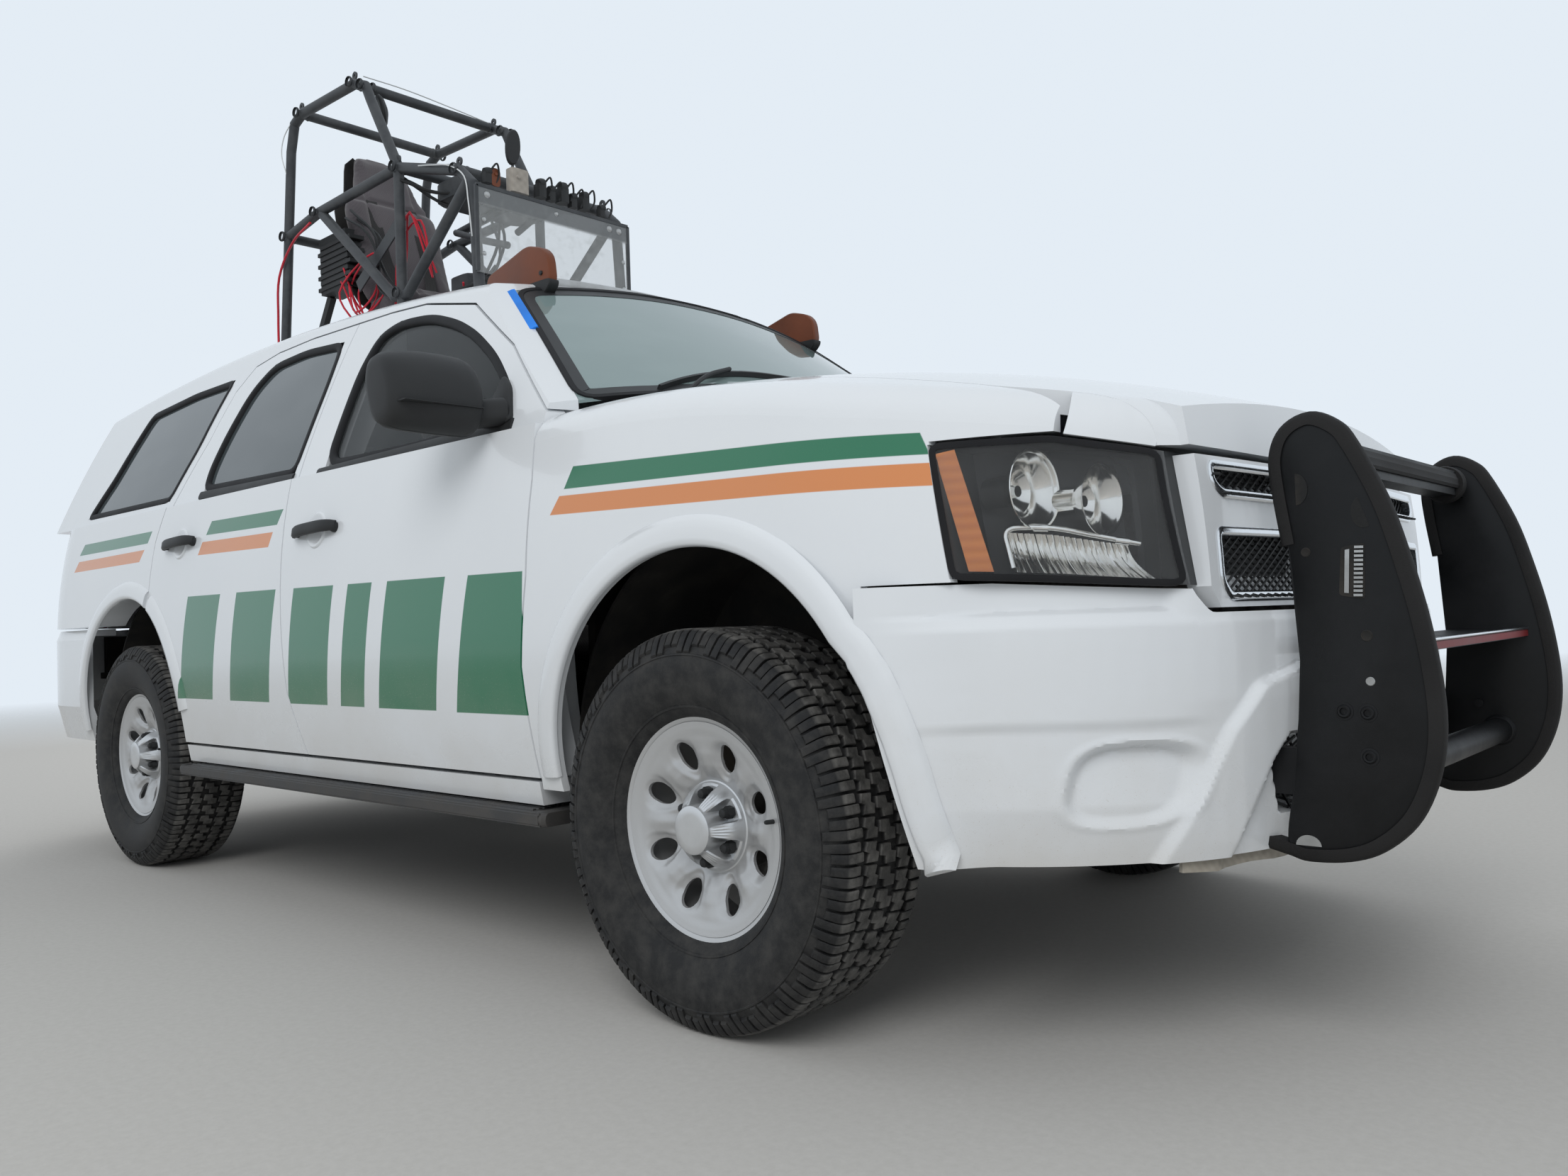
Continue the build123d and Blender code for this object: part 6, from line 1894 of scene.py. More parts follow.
pillar_skin = skin_of("body_side_right", "roof_panel")
TAPE = [
    (-0.014, -0.004), (-0.013, 0.0030), (-0.005, 0.0048), (0.006, 0.0040), (0.013, 0.0046),
    (0.014, -0.004)
]
tape = [on_top(pillar_skin, -0.985 + 0.190 * t, -0.672 - 0.066 * t) for t in span(0, 1, 12)]
tape_strip = Stock().add(laid(tape, TAPE, Vector((0.30, -0.62, 0.72)).normalized()))
tape_strip.piece("blue_tape", blue_tape, slot="trim_plastic", sharp=40)
print("windscreen dressed")

# %% [markdown]
# ## Cowl vents
# Air enters under the wipers through a row of slots, drawn here as raised ribs.

# %% Cowl ribs
cowl_skin = skin_of("cowl")
ribs = Stock()
for y in span(-0.70, 0.70, 57):
    bow = 0.09 * y * y
    run = [on_top(cowl_skin, x, y, 0.0005) for x in span(-0.432 - bow, -0.372 - bow, 5)]
    if sum(map(bool, run)) > 2:
        ribs.add(laid(run, ridge(0.0045, -0.003, 0.003, 0.004), UP))
ribs.piece("cowl_ribs", black_plastic, slot="black_plastic", sharp=40)
print("cowl ribs", len(ribs.faces))

# %% [markdown]
# ## Roof bar
# The lamp bar is bare of its lamps: two brown end plates on dark boots stand on the roof, and a
# low tube joins them just above the panel. The plates are lofted from one rounded outline, so
# that their edges are soft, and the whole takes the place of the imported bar.

# %% Roof bar plates, boots and tube
BAR_PLATE = [
    (-1.240, 1.742), (-1.242, 1.834), (-1.046, 1.884), (-0.973, 1.863), (-0.944, 1.834),
    (-0.936, 1.762), (-0.972, 1.742)
]
BAR_BOOT = [
    (-1.244, 1.700), (-1.246, 1.756), (-1.090, 1.772), (-0.934, 1.770), (-0.938, 1.750),
    (-0.974, 1.722), (-1.020, 1.700)
]
roof_skin = skin_of("roof_panel")
plates, boots = Stock(), Stock()
for side in (-1, 1):
    for store, outline, steps in (
        (
            plates, BAR_PLATE,
            ((0.5455, 0.004), (0.549, 0.0), (0.569, 0.0), (0.5735, 0.003), (0.5750, 0.009))
        ),
        (boots, BAR_BOOT, ((0.5425, 0.003), (0.545, 0.0), (0.574, 0.0), (0.5765, 0.003)))
    ):
        soft = rounded(outline, 0.024, 5)
        middle = sum(soft, Vector((0, 0))) / len(soft)
        store.add(lofted([
            [at(q.x, side * y, q.y) for q in (p + (middle - p).normalized() * inset for p in soft)]
            for y, inset in steps
        ]))
    for x, z in ((-1.200, 1.800), (-0.975, 1.790)):
        boots.add(turned(
            [(0, 0.0), (0.0075, 0.0), (0.0065, 0.0045), (0, 0.0055)], at(x, side * 0.5745, z),
            (0, side, 0), 6
        ))
spots = [on_top(roof_skin, -1.100, y) for y in span(-0.545, 0.545, 23)]
low_line = [spot[0] + UP * 0.021 for spot in spots if spot]
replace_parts(plates.piece("roof_bar_plates", brown_plate, slot="trim_plastic", sharp=35), "roof_bar")
boots.piece("roof_bar_boots", black_plastic, slot="black_plastic", sharp=35)
Stock().add(tube(low_line, 0.0175, 20)).piece(
    "roof_bar_tube", bare_metal, slot="bar_metal", sharp=40
)
print("roof bar ready")

# %% [markdown]
# ## Tail
# At the back are the lamps' ribs and dividers, a wiper, a handle and a blank plate in its recess.

# %% Tail details
gate_skin = skin_of("liftgate", "liftgate_glass")
rear_skin = skin_of("rear_bumper")
lamp_skin = skin_of("tail_lamps")
for label, side in SIDES.items():
    bars = Stock()
    for z in (0.955, 1.060, 1.165):
        run = [on_side(lamp_skin, x, z, side, 0.001) for x in span(-3.870, -4.060, 10)]
        bars.add(laid(run, ridge(0.005, -0.002, 0.004, 0.0022)))
    bars.piece(f"tail_lamp_bars_{label}", dark_housing, slot="black_plastic", sharp=40)
HANDLE = [
    (-0.022, -0.004), (-0.022, 0.010), (-0.014, 0.020), (0.014, 0.020), (0.022, 0.010),
    (0.022, -0.004)
]
handle = Stock().add(laid(
    [on_back(gate_skin, y, 1.205, 0.002) for y in span(-0.26, 0.26, 15)], HANDLE
))
handle.piece("liftgate_handle", black_plastic, "liftgate", slot="black_plastic", sharp=40)
PLATE_Z = 0.990
plate_x = on_back(gate_skin, 0.0, PLATE_Z, 0.003)[0].x
corner = rounded([(-0.152, -0.077), (0.152, -0.077), (0.152, 0.077), (-0.152, 0.077)], 0.014, 4)
rows = []
for d, g in ((0.006, 1.0), (-0.0025, 1.0), (-0.0035, 0.985), (-0.0025, 0.95), (-0.0025, 0.93)):
    rows.append([Vector((plate_x + d, p.x * g, PLATE_Z + p.y * g)) for p in corner])
Stock().add(lofted(rows)).piece("blank_plate", bare_metal, "liftgate", slot="bar_metal", sharp=30)
rest = [on_back(gate_skin, y, 1.345 + 0.10 * y, 0.010) for y in span(0.0, 0.42, 12)]
sweeper = Stock().add(laid(rest, ridge(0.005, -0.008, 0.004, 0.005)))
pivot = [(0, -0.014), (0.024, -0.012), (0.022, 0.010), (0.014, 0.018), (0, 0.020)]
sweeper.add(turned(pivot, rest[0][0], (-1, 0, 0.1), 24))
sweeper.piece("rear_wiper", black_plastic, "liftgate", slot="black_plastic", sharp=40)
step = Stock()
for k in range(7):
    run = []
    for y in span(-0.62, 0.62, 25):
        found = probe(rear_skin, at(-4.030 - 0.014 * k, y, 1.2), (0, 0, -1), 0.0)
        if found and found[0].z > 0.80:
            run.append(found[0])
    if len(run) > 4:
        step.add(ribbon(run, UP, ridge(0.004, -0.001, 0.003, 0.003)))
step.piece("rear_step_ribs", black_plastic, slot="black_plastic", sharp=40)
pipe = Stock().add(turned(
    [
        (0.0300, 0.0), (0.0330, 0.0), (0.0330, -0.160), (0.0300, -0.160), (0.0290, -0.080),
        (0.0300, 0.0)
    ],
    at(-4.020, -0.560, 0.352), (-0.97, -0.15, -0.12), 32
))
pipe.piece("exhaust_tip", bright_trim, slot="lamp_chrome", sharp=40)
print("tail ready")

# %% [markdown]
# ## Seats
# A cushion is a soft closed form, crowned in the middle and pinched along its seams. Each pad
# starts as rings of a squared oval along a bent line, is remeshed evenly and is then inflated
# with Cloth, gravity off, for a few frames. The movement is capped, the sewn channels are pressed
# in afterwards, and the modifier is gone at the end.

# %% Pad maker
PRESSURE, LAST_FRAME, PAD_POWER = 4.0, 16, 3.2
SEAM_HALF, SEAM_DEPTH = 0.016, 0.010


def baked(thing):
    """Replace an object's mesh by the result of its modifiers."""
    ready = thing.evaluated_get(bpy.context.evaluated_depsgraph_get())
    data = bpy.data.meshes.new_from_object(ready)
    thing.modifiers.clear()
    thing.data = data
    return thing


def pad(name, spine, sizes, made, node, voxel, cap, wings=0.0, seams=()):
    """An upholstered pad along a spine of the side view; sizes are half width and thickness."""
    spots = [at(x, 0, z) for x, y, z in spine]
    middle_y = spine[0][1]
    way = tangents(spots)
    rings = []
    for p, t, (w, d) in zip(spots, way, sizes):
        across = Vector((0, 1, 0))
        up = across.cross(t)
        if up.x + up.z < 0:
            up = -up
        ring = []
        for a, b in squared(w, d, PAD_POWER, 32):
            lift = wings * (abs(a) / max(w, 0.01)) ** 3 * (w > 0.1)
            ring.append(p + across * (a + middle_y) + up * (b + lift))
        rings.append(ring)
    thing = Stock().add(lofted(rings)).thing(name, merge=False)
    even = thing.modifiers.new("even", "REMESH")
    even.mode, even.voxel_size = "VOXEL", voxel
    baked(thing)
    before = [v.co.copy() for v in thing.data.vertices]
    soft = thing.modifiers.new("inflate", "CLOTH")
    soft.settings.use_pressure = True
    soft.settings.uniform_pressure_force = PRESSURE
    soft.settings.effector_weights.gravity = 0.0
    soft.settings.quality = 4
    for step in range(1, LAST_FRAME + 1):
        scene.frame_set(step)
    ready = thing.evaluated_get(bpy.context.evaluated_depsgraph_get()).to_mesh()
    after = [v.co.copy() for v in ready.vertices]
    thing.modifiers.clear()
    scene.frame_set(1)
    for v, old, new in zip(thing.data.vertices, before, after):
        move = new - old
        v.co = old + (move * (cap / move.length) if move.length > cap else move)
    data = thing.data
    normals = [v.normal.copy() for v in data.vertices]
    for v, n in zip(data.vertices, normals):
        press = 0.0
        for kind, place in seams:
            gap = abs(v.co.y - middle_y) - place if kind == "y" else (
                v.co - at(*place[0])
            ).dot(Vector(place[1]))
            press = max(press, 1 - abs(gap) / SEAM_HALF)
        if press > 0:
            v.co -= n * SEAM_DEPTH * press * press * (3 - 2 * press)
    smooth = thing.modifiers.new("round", "SUBSURF")
    smooth.levels = smooth.render_levels = 1
    baked(thing)
    thing.data.materials.clear()
    thing.data.materials.append(made.material)
    thing.data.shade_smooth()
    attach(thing, "vehicle")
    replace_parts(thing, node)
    return thing


def sized(count, full_w, full_d, taper=1.0):
    """Half sizes along a pad whose two ends are rounded off."""
    found = []
    for i in range(count):
        t = i / (count - 1)
        end = min(1.0, (0.30 + 0.70 * sin(pi * min(1.0, min(t, 1 - t) * 6) / 2)))
        found.append(((full_w * (1 - (1 - taper) * t)) * (0.80 + 0.20 * end), full_d * end))
    return found


def spine(points, y, count=12):
    line = smooth_path([(x, y, z) for x, z in points], 4)
    return [tuple(line[round(i * (len(line) - 1) / (count - 1))]) for i in range(count)]


print("pad maker ready")

# %% [markdown]
# ## Cabin seats
# Two front seats have a cushion, a backrest and a headrest; the rear bench has a long cushion and
# back with three places between its seams. Plain bases and posts carry them.

# %% Cabin seats
SEAT_Y = 0.418
for label, side in SIDES.items():
    y = side * SEAT_Y
    pad(
        f"front_cushion_{label}", spine([(-1.075, 0.735), (-1.280, 0.722), (-1.500, 0.705)], y),
        sized(12, 0.232, 0.068), seat_cloth, "seats", 0.016, 0.012, 0.012, [("y", 0.135)]
    )
    pad(
        f"front_backrest_{label}", spine([(-1.525, 0.720), (-1.585, 0.950), (-1.640, 1.350)], y),
        sized(12, 0.226, 0.056, 0.88), seat_cloth, "seats", 0.016, 0.012, 0.022, [("y", 0.130)]
    )
    pad(
        f"front_headrest_{label}", spine([(-1.652, 1.405), (-1.655, 1.470), (-1.660, 1.545)], y, 9),
        sized(9, 0.130, 0.040), seat_cloth, "seats", 0.012, 0.008
    )
pad(
    "rear_cushion", spine([(-1.965, 0.728), (-2.150, 0.720), (-2.360, 0.705)], 0.0),
    sized(12, 0.590, 0.066), seat_cloth, "seats", 0.020, 0.012, 0.0, [("y", 0.0), ("y", 0.330)]
)
pad(
    "rear_backrest", spine([(-2.375, 0.745), (-2.420, 1.000), (-2.478, 1.365)], 0.0),
    sized(12, 0.585, 0.052), seat_cloth, "seats", 0.020, 0.012, 0.0, [("y", 0.0), ("y", 0.330)]
)
bases = Stock()
for x0, x1, y0, y1 in (
    (-1.560, -1.120, 0.210, 0.630), (-1.560, -1.120, -0.630, -0.210), (-2.250, -2.000, -0.56, 0.56)
):
    ring = [(x0, y0), (x1, y0), (x1, y1), (x0, y1)]
    bases.add(lofted([
        [at(p.x, p.y, z) for p in inset(rounded(ring, 0.03, 4), trim)]
        for z, trim in ((0.490, 0.0), (0.500, 0.004), (0.630, 0.014), (0.660, 0.0))
    ]))
for side in (-1, 1):
    for off in (-0.05, 0.05):
        bases.add(tube(
            [at(-1.655, side * SEAT_Y + off, 1.300), at(-1.657, side * SEAT_Y + off, 1.440)], 0.006,
            10
        ))
bases.piece("seat_bases", trim_plastic, slot="trim_plastic", sharp=35)
print("cabin seats ready")

# %% [markdown]
# ## Cage seat
# The seat on the roof is a high-backed shell, narrow at the head and winged at the shoulders.

# %% Cage seat pads, shell and belts
back_spine = spine(
    [(-2.640, 2.090), (-2.690, 2.250), (-2.770, 2.480), (-2.840, 2.660), (-2.885, 2.800)], 0.0, 15
)
widths = [
    0.150, 0.190, 0.203, 0.205, 0.205, 0.207, 0.210, 0.212, 0.208, 0.185, 0.150, 0.132, 0.126,
    0.118, 0.085
]
depths = [
    0.020, 0.038, 0.046, 0.050, 0.050, 0.048, 0.046, 0.046, 0.046, 0.044, 0.042, 0.042, 0.040,
    0.036, 0.022
]
pad(
    "cage_backrest", back_spine, list(zip(widths, depths)), cage_cloth, "cage_seat", 0.011, 0.009,
    0.030, [("p", ((-2.800, 0, 2.590), (0.22, 0, 0.97))), ("y", 0.112)]
)
pad(
    "cage_cushion", spine([(-2.350, 2.095), (-2.480, 2.088), (-2.640, 2.070)], 0.0),
    sized(12, 0.200, 0.042), cage_cloth, "cage_seat", 0.011, 0.008, 0.022, [("y", 0.110)]
)
shell = Stock()
rows = []
for (x, y, z), w, d in zip(back_spine, widths, depths):
    front = [
        at(x - d - 0.012 + 0.035 * (abs(u) ** 3), u * (w + 0.012), z - 0.006)
        for u in span(-1, 1, 15)
    ]
    behind = [p + Vector((-0.006, 0, 0)) for p in reversed(front)]
    rows.append(front + behind)
shell.add(lofted(rows))
shell.add(lofted([
    [at(-2.600 + a, b, z) for a, b in squared(0.105, 0.150, 4, 28)]
    for z in (1.905, 1.920, 2.020, 2.040)
]))
shell.piece("cage_seat_shell", trim_plastic, slot="cage_seat_shell", sharp=40)
belts = Stock()
for side in (-1, 1):
    run = smooth_path(
        [
            at(-2.880, side * 0.075, 2.600), at(-2.790, side * 0.085, 2.625),
            at(-2.700, side * 0.095, 2.450), at(-2.630, side * 0.090, 2.280),
            at(-2.560, side * 0.060, 2.165), at(-2.500, side * 0.020, 2.150)
        ],
        6
    )
    belts.add(ribbon(run, (0.85, 0, 0.5), ridge(0.024, -0.001, 0.024, 0.001)))
belts.piece("cage_belts", webbing, slot="seat_cloth", sharp=40)
print("cage seat ready")

# %% [markdown]
# ## Cage fittings
# Bent tubes meet in welded joints; brackets, clamps, a finned control box, a round mirror and
# bundles of wire hang from them. The wires are tied to the tubes all along, so they are trim, not
# free cords.

# %% Joints, clamps and boxes
CAGE_Y = 0.310
fittings, box, mirrors = Stock(), Stock(), Stock()
JOINTS = [
    (-2.163, 2.493), (-2.890, 2.918), (-2.460, 2.900), (-1.770, 2.372), (-2.771, 2.483),
    (-3.035, 2.448), (-2.380, 2.865), (-2.159, 2.030)
]
for x, z in JOINTS:
    for side in (-1, 1):
        for d in (-0.026, 0.026):
            fittings.add(turned(
                [
                    (0.0185, -0.006), (0.0205, -0.003), (0.0212, 0.0), (0.0205, 0.003),
                    (0.0185, 0.006)
                ],
                at(x, side * CAGE_Y + d, z), (0, 1, 0), 20
            ))
for side in (-1, 1):
    for x, z in ((-2.890, 2.918), (-2.460, 2.900), (-2.163, 2.493), (-1.770, 2.372)):
        fittings.add(turned(
            [(0.006, -0.003), (0.016, -0.003), (0.016, 0.003), (0.006, 0.003), (0.006, -0.003)],
            at(x, side * CAGE_Y, z + 0.030), (0, 1, 0), 18
        ))
for k in range(8):
    z = 2.205 + 0.024 * k
    box.add(lofted([
        [
            at(-2.915 + 0.243 * t + 0.020 * (k % 2), -CAGE_Y + 0.065 + (0.062 if e else 0), z + h)
            for t, h in ((0, 0), (1, 0), (1, 0.015), (0, 0.015))
        ]
        for e in (0, 1)
    ]))
box.add(lofted([
    [at(x, y, z) for x, z in ((-2.900, 2.190), (-2.690, 2.190), (-2.680, 2.385), (-2.905, 2.390))]
    for y in (-0.240, -0.150)
]))
box.add(lofted([
    [
        at(-2.905 + 0.02 * a, -0.195 + 0.02 * b, 2.395 + 0.03 * e)
        for a, b in ((-1, -2), (10, -2), (10, 2), (-1, 2))
    ]
    for e in (0, 1)
]))
box.add(ribbon(
    [at(-2.890, -0.200, 2.190), at(-3.005, -0.210, 1.990)], (0, 1, 0),
    ridge(0.016, -0.012, 0.016, 0.012)
))
mirrors.add(turned(
    [
        (0, 0.008), (0.040, 0.010), (0.056, 0.007), (0.062, 0.0), (0.062, -0.006), (0.050, -0.016),
        (0.020, -0.026), (0, -0.028)
    ],
    at(-2.414, -0.235, 2.800), (-0.35, -0.90, -0.20), 40
))
mirrors.add(turned(
    [(0, 0.0), (0.014, 0.0), (0.018, 0.012), (0.012, 0.024), (0, 0.026)], at(-2.408, -0.245, 2.806),
    (0.35, 0.90, 0.2), 20
))
fittings.add(tube(
    smooth_path(
        [at(-2.408, -0.250, 2.815), at(-2.420, -0.262, 2.850), at(-2.440, -0.292, 2.895)], 4
    ),
    0.006, 8
))
oval = []
for e, g in ((-0.004, 0.9), (0.0, 1.0), (0.006, 1.0), (0.010, 0.92)):
    oval.append([
        at(-1.690 + e, -0.150 + a * g, 2.470 + b * g + 0.4 * a * g)
        for a, b in squared(0.030, 0.062, 2.2, 28)
    ])
mirrors.add(lofted(oval))
fittings.add(tube([at(-1.688, -0.150, 2.410), at(-1.700, -0.165, 2.330)], 0.005, 8))
clamps = Stock()
for y, z, s in (
    (-0.055, 2.330, 1.0), (-0.010, 2.325, 0.8), (0.040, 2.335, 1.1), (0.085, 2.322, 0.8),
    (0.135, 2.330, 1.0), (0.215, 2.316, 0.7), (-0.275, 2.322, 0.8)
):
    clamps.add(lofted([
        [at(-1.665 + a * s, y + b * s, z + h * s) for a, b in squared(0.020, 0.018, 4, 16)]
        for h in (-0.020, 0.0, 0.026)
    ]))
    clamps.add(turned(
        [(0, -0.012), (0.016 * s, -0.012), (0.018 * s, 0.0), (0.016 * s, 0.012), (0, 0.012)],
        at(-1.660, y, z + 0.030 * s), (0, 1, 0.3), 18
    ))
    clamps.add(tube(
        smooth_path(
            [
                at(-1.655, y + 0.010, z + 0.030), at(-1.640, y + 0.026, z + 0.052),
                at(-1.650, y + 0.040, z + 0.020), at(-1.655, y + 0.030, z - 0.010)
            ],
            5
        ),
        0.0035, 8
    ))
box_beige = Stock()
box_beige.add(lofted([
    [at(-1.665 + a, -0.150 + b, z) for a, b in squared(0.022, 0.036, 6, 24)]
    for z in (2.300, 2.304, 2.376, 2.382)
]))
box_beige.add(turned(
    [(0, 0), (0.006, 0), (0.006, 0.012), (0, 0.013)], at(-1.645, -0.165, 2.350), (1, 0, 0), 12
))
plate_piece = Stock()
tab = rounded([(-0.018, 0.0), (0.018, 0.0), (0.018, 0.062), (-0.018, 0.062)], 0.016, 5)
plate_piece.add(lofted([
    [at(-1.656 + e, -0.246 + p.x, 2.300 + p.y) for p in tab] for e in (0.0, 0.004)
]))
plate_piece.add(turned(
    [(0, 0.003), (0.007, 0.003), (0.006, 0.006), (0, 0.006)], at(-1.654, -0.246, 2.342), (1, 0, 0),
    6
))
fittings.piece("cage_joints", cage_paint, slot="cage_steel", sharp=35)
box.piece("cage_control_box", black_plastic, slot="black_plastic", sharp=35)
mirrors.piece("cage_mirrors", black_plastic, slot="black_plastic", sharp=35)
clamps.piece("cage_clamps", black_plastic, slot="black_plastic", sharp=35)
box_beige.piece(
    "cage_sensor", cloth("sensor_shell", rgb(0.38, 0.35, 0.31), 200.0), slot="trim_plastic",
    sharp=35
)
plate_piece.piece("cage_tab", brown_plate, slot="trim_plastic", sharp=35)
print("cage fittings", len(fittings.faces))

# %% [markdown]
# ## Cage screen
# The clear sheet is held by large washers along its top and small bolts down its sides, and a strip
# runs round three of its edges. They are placed one by one, since the sheet is flat.

# %% Screen bolts and edge strip
SCREEN_X, STRIP_X = -1.6487, -1.6517
bolts = Stock()
for y in (-0.285, 0.240, 0.285):
    bolts.add(turned(
        [(0, 0.006), (0.007, 0.005), (0.0105, 0.002), (0.012, 0.0)], at(SCREEN_X, y, 2.262),
        (1, 0, 0), 20
    ))
for y, z in (
    (-0.300, 2.175), (-0.302, 2.060), (0.302, 2.150), (0.302, 2.050), (0.0, 2.262), (-0.150, 2.012),
    (0.150, 2.012)
):
    bolts.add(turned([(0, 0.005), (0.005, 0.004), (0.008, 0.0)], at(SCREEN_X, y, z), (1, 0, 0), 16))
bolts.piece("screen_bolts", bare_metal, slot="bar_metal", sharp=40)
strip_stock = Stock()
for y0, z0, y1, z1 in (
    (-0.327, 1.998, -0.327, 2.288), (0.327, 1.998, 0.327, 2.288), (-0.327, 2.289, 0.327, 2.289)
):
    strip_stock.add(ribbon(
        [at(STRIP_X, y0, z0), at(STRIP_X, y1, z1)], (1, 0, 0), ridge(0.006, -0.005, 0.006, 0.005)
    ))
strip_stock.piece("screen_edge", cage_paint, slot="cage_steel", sharp=40)
print("screen bolts", len(bolts.faces))

# %% [markdown]
# ## Wires
# Each wire is a thin tube through a few points. A seeded random number moves the points a little,
# so that the three wires of a bundle differ, and the seed keeps them the same in every run.

# %% Wires tied to the tubes
random.seed(11)
bundles = {"red": Stock(), "black": Stock(), "pale": Stock()}


def loose(name, points, radius, wobble):
    """A wire through a few points with small seeded wanderings."""
    path = [Vector(p) + Vector([random.uniform(-wobble, wobble) for _ in range(3)]) for p in points]
    bundles[name].add(tube(smooth_path(path, 5), radius, 7))


# Colour, radius, wandering and points of each wire; those of the first table run three times
BUNDLED = [
    (
        "red", 0.0040, 0.035,
        [
            (-2.700, -0.250, 2.230), (-2.640, -0.210, 2.060), (-2.520, -0.190, 2.130),
            (-2.540, -0.215, 2.260), (-2.680, -0.235, 2.170), (-2.600, -0.220, 2.010)
        ]
    ),
    (
        "red", 0.0040, 0.030,
        [
            (-2.560, -0.220, 1.980), (-2.420, -0.180, 2.060), (-2.330, -0.200, 2.250),
            (-2.200, -0.240, 2.330), (-2.120, -0.200, 2.120)
        ]
    ),
    (
        "red", 0.0040, 0.030,
        [
            (-2.350, 0.120, 1.990), (-2.200, 0.060, 2.060), (-2.080, -0.080, 2.010),
            (-1.960, -0.150, 2.040)
        ]
    ),
    (
        "black", 0.0055, 0.030,
        [
            (-2.700, -0.200, 2.480), (-2.520, -0.220, 2.360), (-2.440, -0.250, 2.160),
            (-2.300, -0.200, 2.050)
        ]
    ),
    (
        "black", 0.0060, 0.025,
        [
            (-2.160, -0.290, 2.460), (-2.060, -0.200, 2.380), (-1.920, -0.160, 2.400),
            (-1.780, -0.200, 2.340)
        ]
    ),
    (
        "black", 0.0060, 0.030,
        [
            (-2.250, 0.150, 2.440), (-2.080, 0.060, 2.260), (-1.980, -0.060, 2.050),
            (-1.800, -0.150, 1.980)
        ]
    ),
    (
        "black", 0.0065, 0.025,
        [
            (-2.480, -0.200, 1.960), (-2.300, -0.150, 2.000), (-2.080, -0.180, 1.960),
            (-1.900, -0.220, 1.990), (-1.740, -0.200, 2.040)
        ]
    ),
]
SINGLE = [
    (
        "red", 0.0050, 0.004,
        [
            (-2.790, -0.336, 2.440), (-2.950, -0.338, 2.400), (-3.060, -0.338, 2.280),
            (-3.085, -0.338, 2.120), (-3.090, -0.336, 1.990)
        ]
    ),
    (
        "pale", 0.0022, 0.004,
        [
            (-2.420, -0.300, 2.915), (-2.440, -0.100, 2.930), (-2.450, 0.150, 2.925),
            (-2.455, 0.300, 2.915)
        ]
    ),
    (
        "pale", 0.0022, 0.002,
        [
            (-3.000, -0.328, 2.700), (-3.020, -0.336, 2.780), (-3.000, -0.334, 2.850),
            (-2.945, -0.326, 2.900)
        ]
    ),
    (
        "pale", 0.0026, 0.003,
        [
            (-2.000, -0.331, 2.448), (-1.900, -0.332, 2.422), (-1.800, -0.332, 2.390),
            (-1.715, -0.331, 2.330), (-1.690, -0.331, 2.240), (-1.680, -0.331, 2.120)
        ]
    ),
]
for colour, radius, wobble, places in BUNDLED * 3 + SINGLE:
    loose(colour, [at(*place) for place in places], radius, wobble)
for name, made in (("red", red_wire), ("black", black_plastic), ("pale", pale_wire)):
    bundles[name].piece(f"cage_wires_{name}", made, slot="trim_plastic", sharp=60)
print("wires", len(BUNDLED) * 3 + len(SINGLE))

# %% [markdown]
# ## Cage linkage
# A jointed rod leads from the cage's steering wheel forward and down, a flat bar stands beside the
# seat, and two plain boxes hold the controls. Only their outer forms show through the tubes.

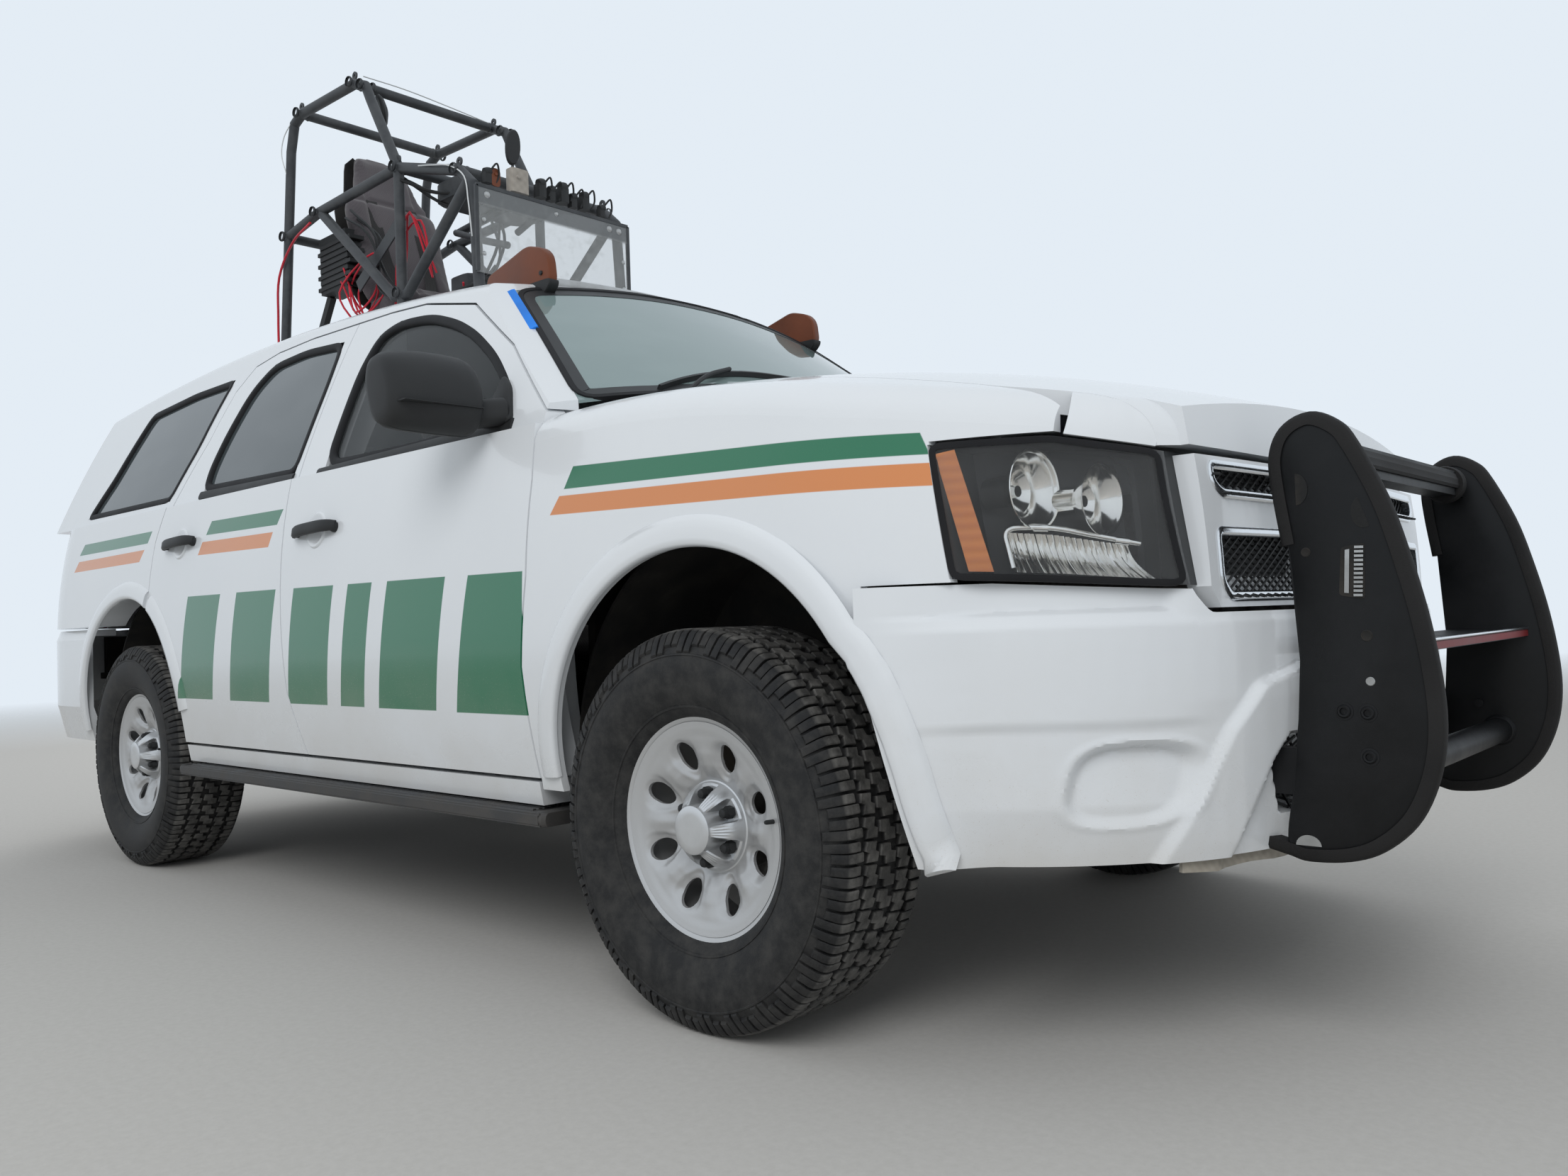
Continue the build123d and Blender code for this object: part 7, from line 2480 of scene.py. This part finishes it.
# %% Linkage under the cage dash
gear = Stock()
for start, end in (
    ((-2.280, -0.0, 2.350), (-1.900, -0.13, 2.200)),
    ((-1.900, -0.13, 2.200), (-1.760, -0.13, 2.150)), ((-2.050, 0.12, 2.320), (-1.820, 0.12, 2.380))
):
    gear.add(tube([at(*start), at(*end)], 0.013, 12))
gear.add(ribbon(
    [at(-2.560, -0.262, 2.150), at(-2.240, -0.262, 2.330)], (0, 1, 0),
    ridge(0.026, -0.003, 0.026, 0.003)
))
gear.add(lofted([
    [at(-2.020 + a, b, z) for a, b in squared(0.11, 0.200, 5, 28)]
    for z in (2.372, 2.378, 2.432, 2.438)
]))
gear.add(lofted([
    [at(-2.030 + a, b - 0.06, z) for a, b in squared(0.07, 0.10, 5, 28)]
    for z in (1.985, 1.990, 2.090, 2.096)
]))
gear.piece("cage_gear", cage_paint, slot="cage_steel", sharp=35)
print("cage fitted")

# %% [markdown]
# ## Cabin trim
# Through the front windows one sees the inner mirror, the wheel's hub and the dash's hood and
# vents.

# %% Cabin trim
cabin = Stock()
dash_skin = skin_of("dashboard")
cabin.add(lofted([
    [at(-0.905 + e, a, 1.655 + b) for a, b in squared(0.120, 0.032, 3, 28)]
    for e in (-0.008, 0.0, 0.010)
]))
cabin.add(tube([at(-0.898, 0.0, 1.668), at(-0.905, 0.0, 1.712)], 0.008, 10))
tilt = Vector((-cos(radians(25)), 0, sin(radians(25))))
hub = at(-0.980, 0.380, 1.105)
cabin.add(turned(
    [(0, 0.014), (0.050, 0.012), (0.072, 0.002), (0.076, -0.012), (0.060, -0.034), (0, -0.040)],
    hub, tilt, 36
))
for y in (-0.62, -0.12, 0.12, 0.66):
    found = probe(dash_skin, at(-1.4, y, 1.060), (1, 0, 0), 0.001)
    if found:
        for k in range(5):
            z = 1.030 + 0.014 * k
            cabin.add(lofted([
                [
                    Vector((found[0].x + e, y + a, z + b))
                    for a, b in ((-0.055, -0.002), (0.055, -0.002), (0.055, 0.002), (-0.055, 0.002))
                ]
                for e in (-0.010, 0.004)
            ]))
binnacle = [
    at(-0.800, 0.380 + 0.16 * cos(radians(a)), 1.215 + 0.055 * sin(radians(a)))
    for a in range(0, 181, 12)
]
cabin.add(ribbon(binnacle, (-1, 0, 0), ridge(0.006, -0.05, 0.006, 0.03)))
cabin.piece("cabin_trim", trim_plastic, slot="trim_plastic", sharp=40)
print("cabin trimmed")
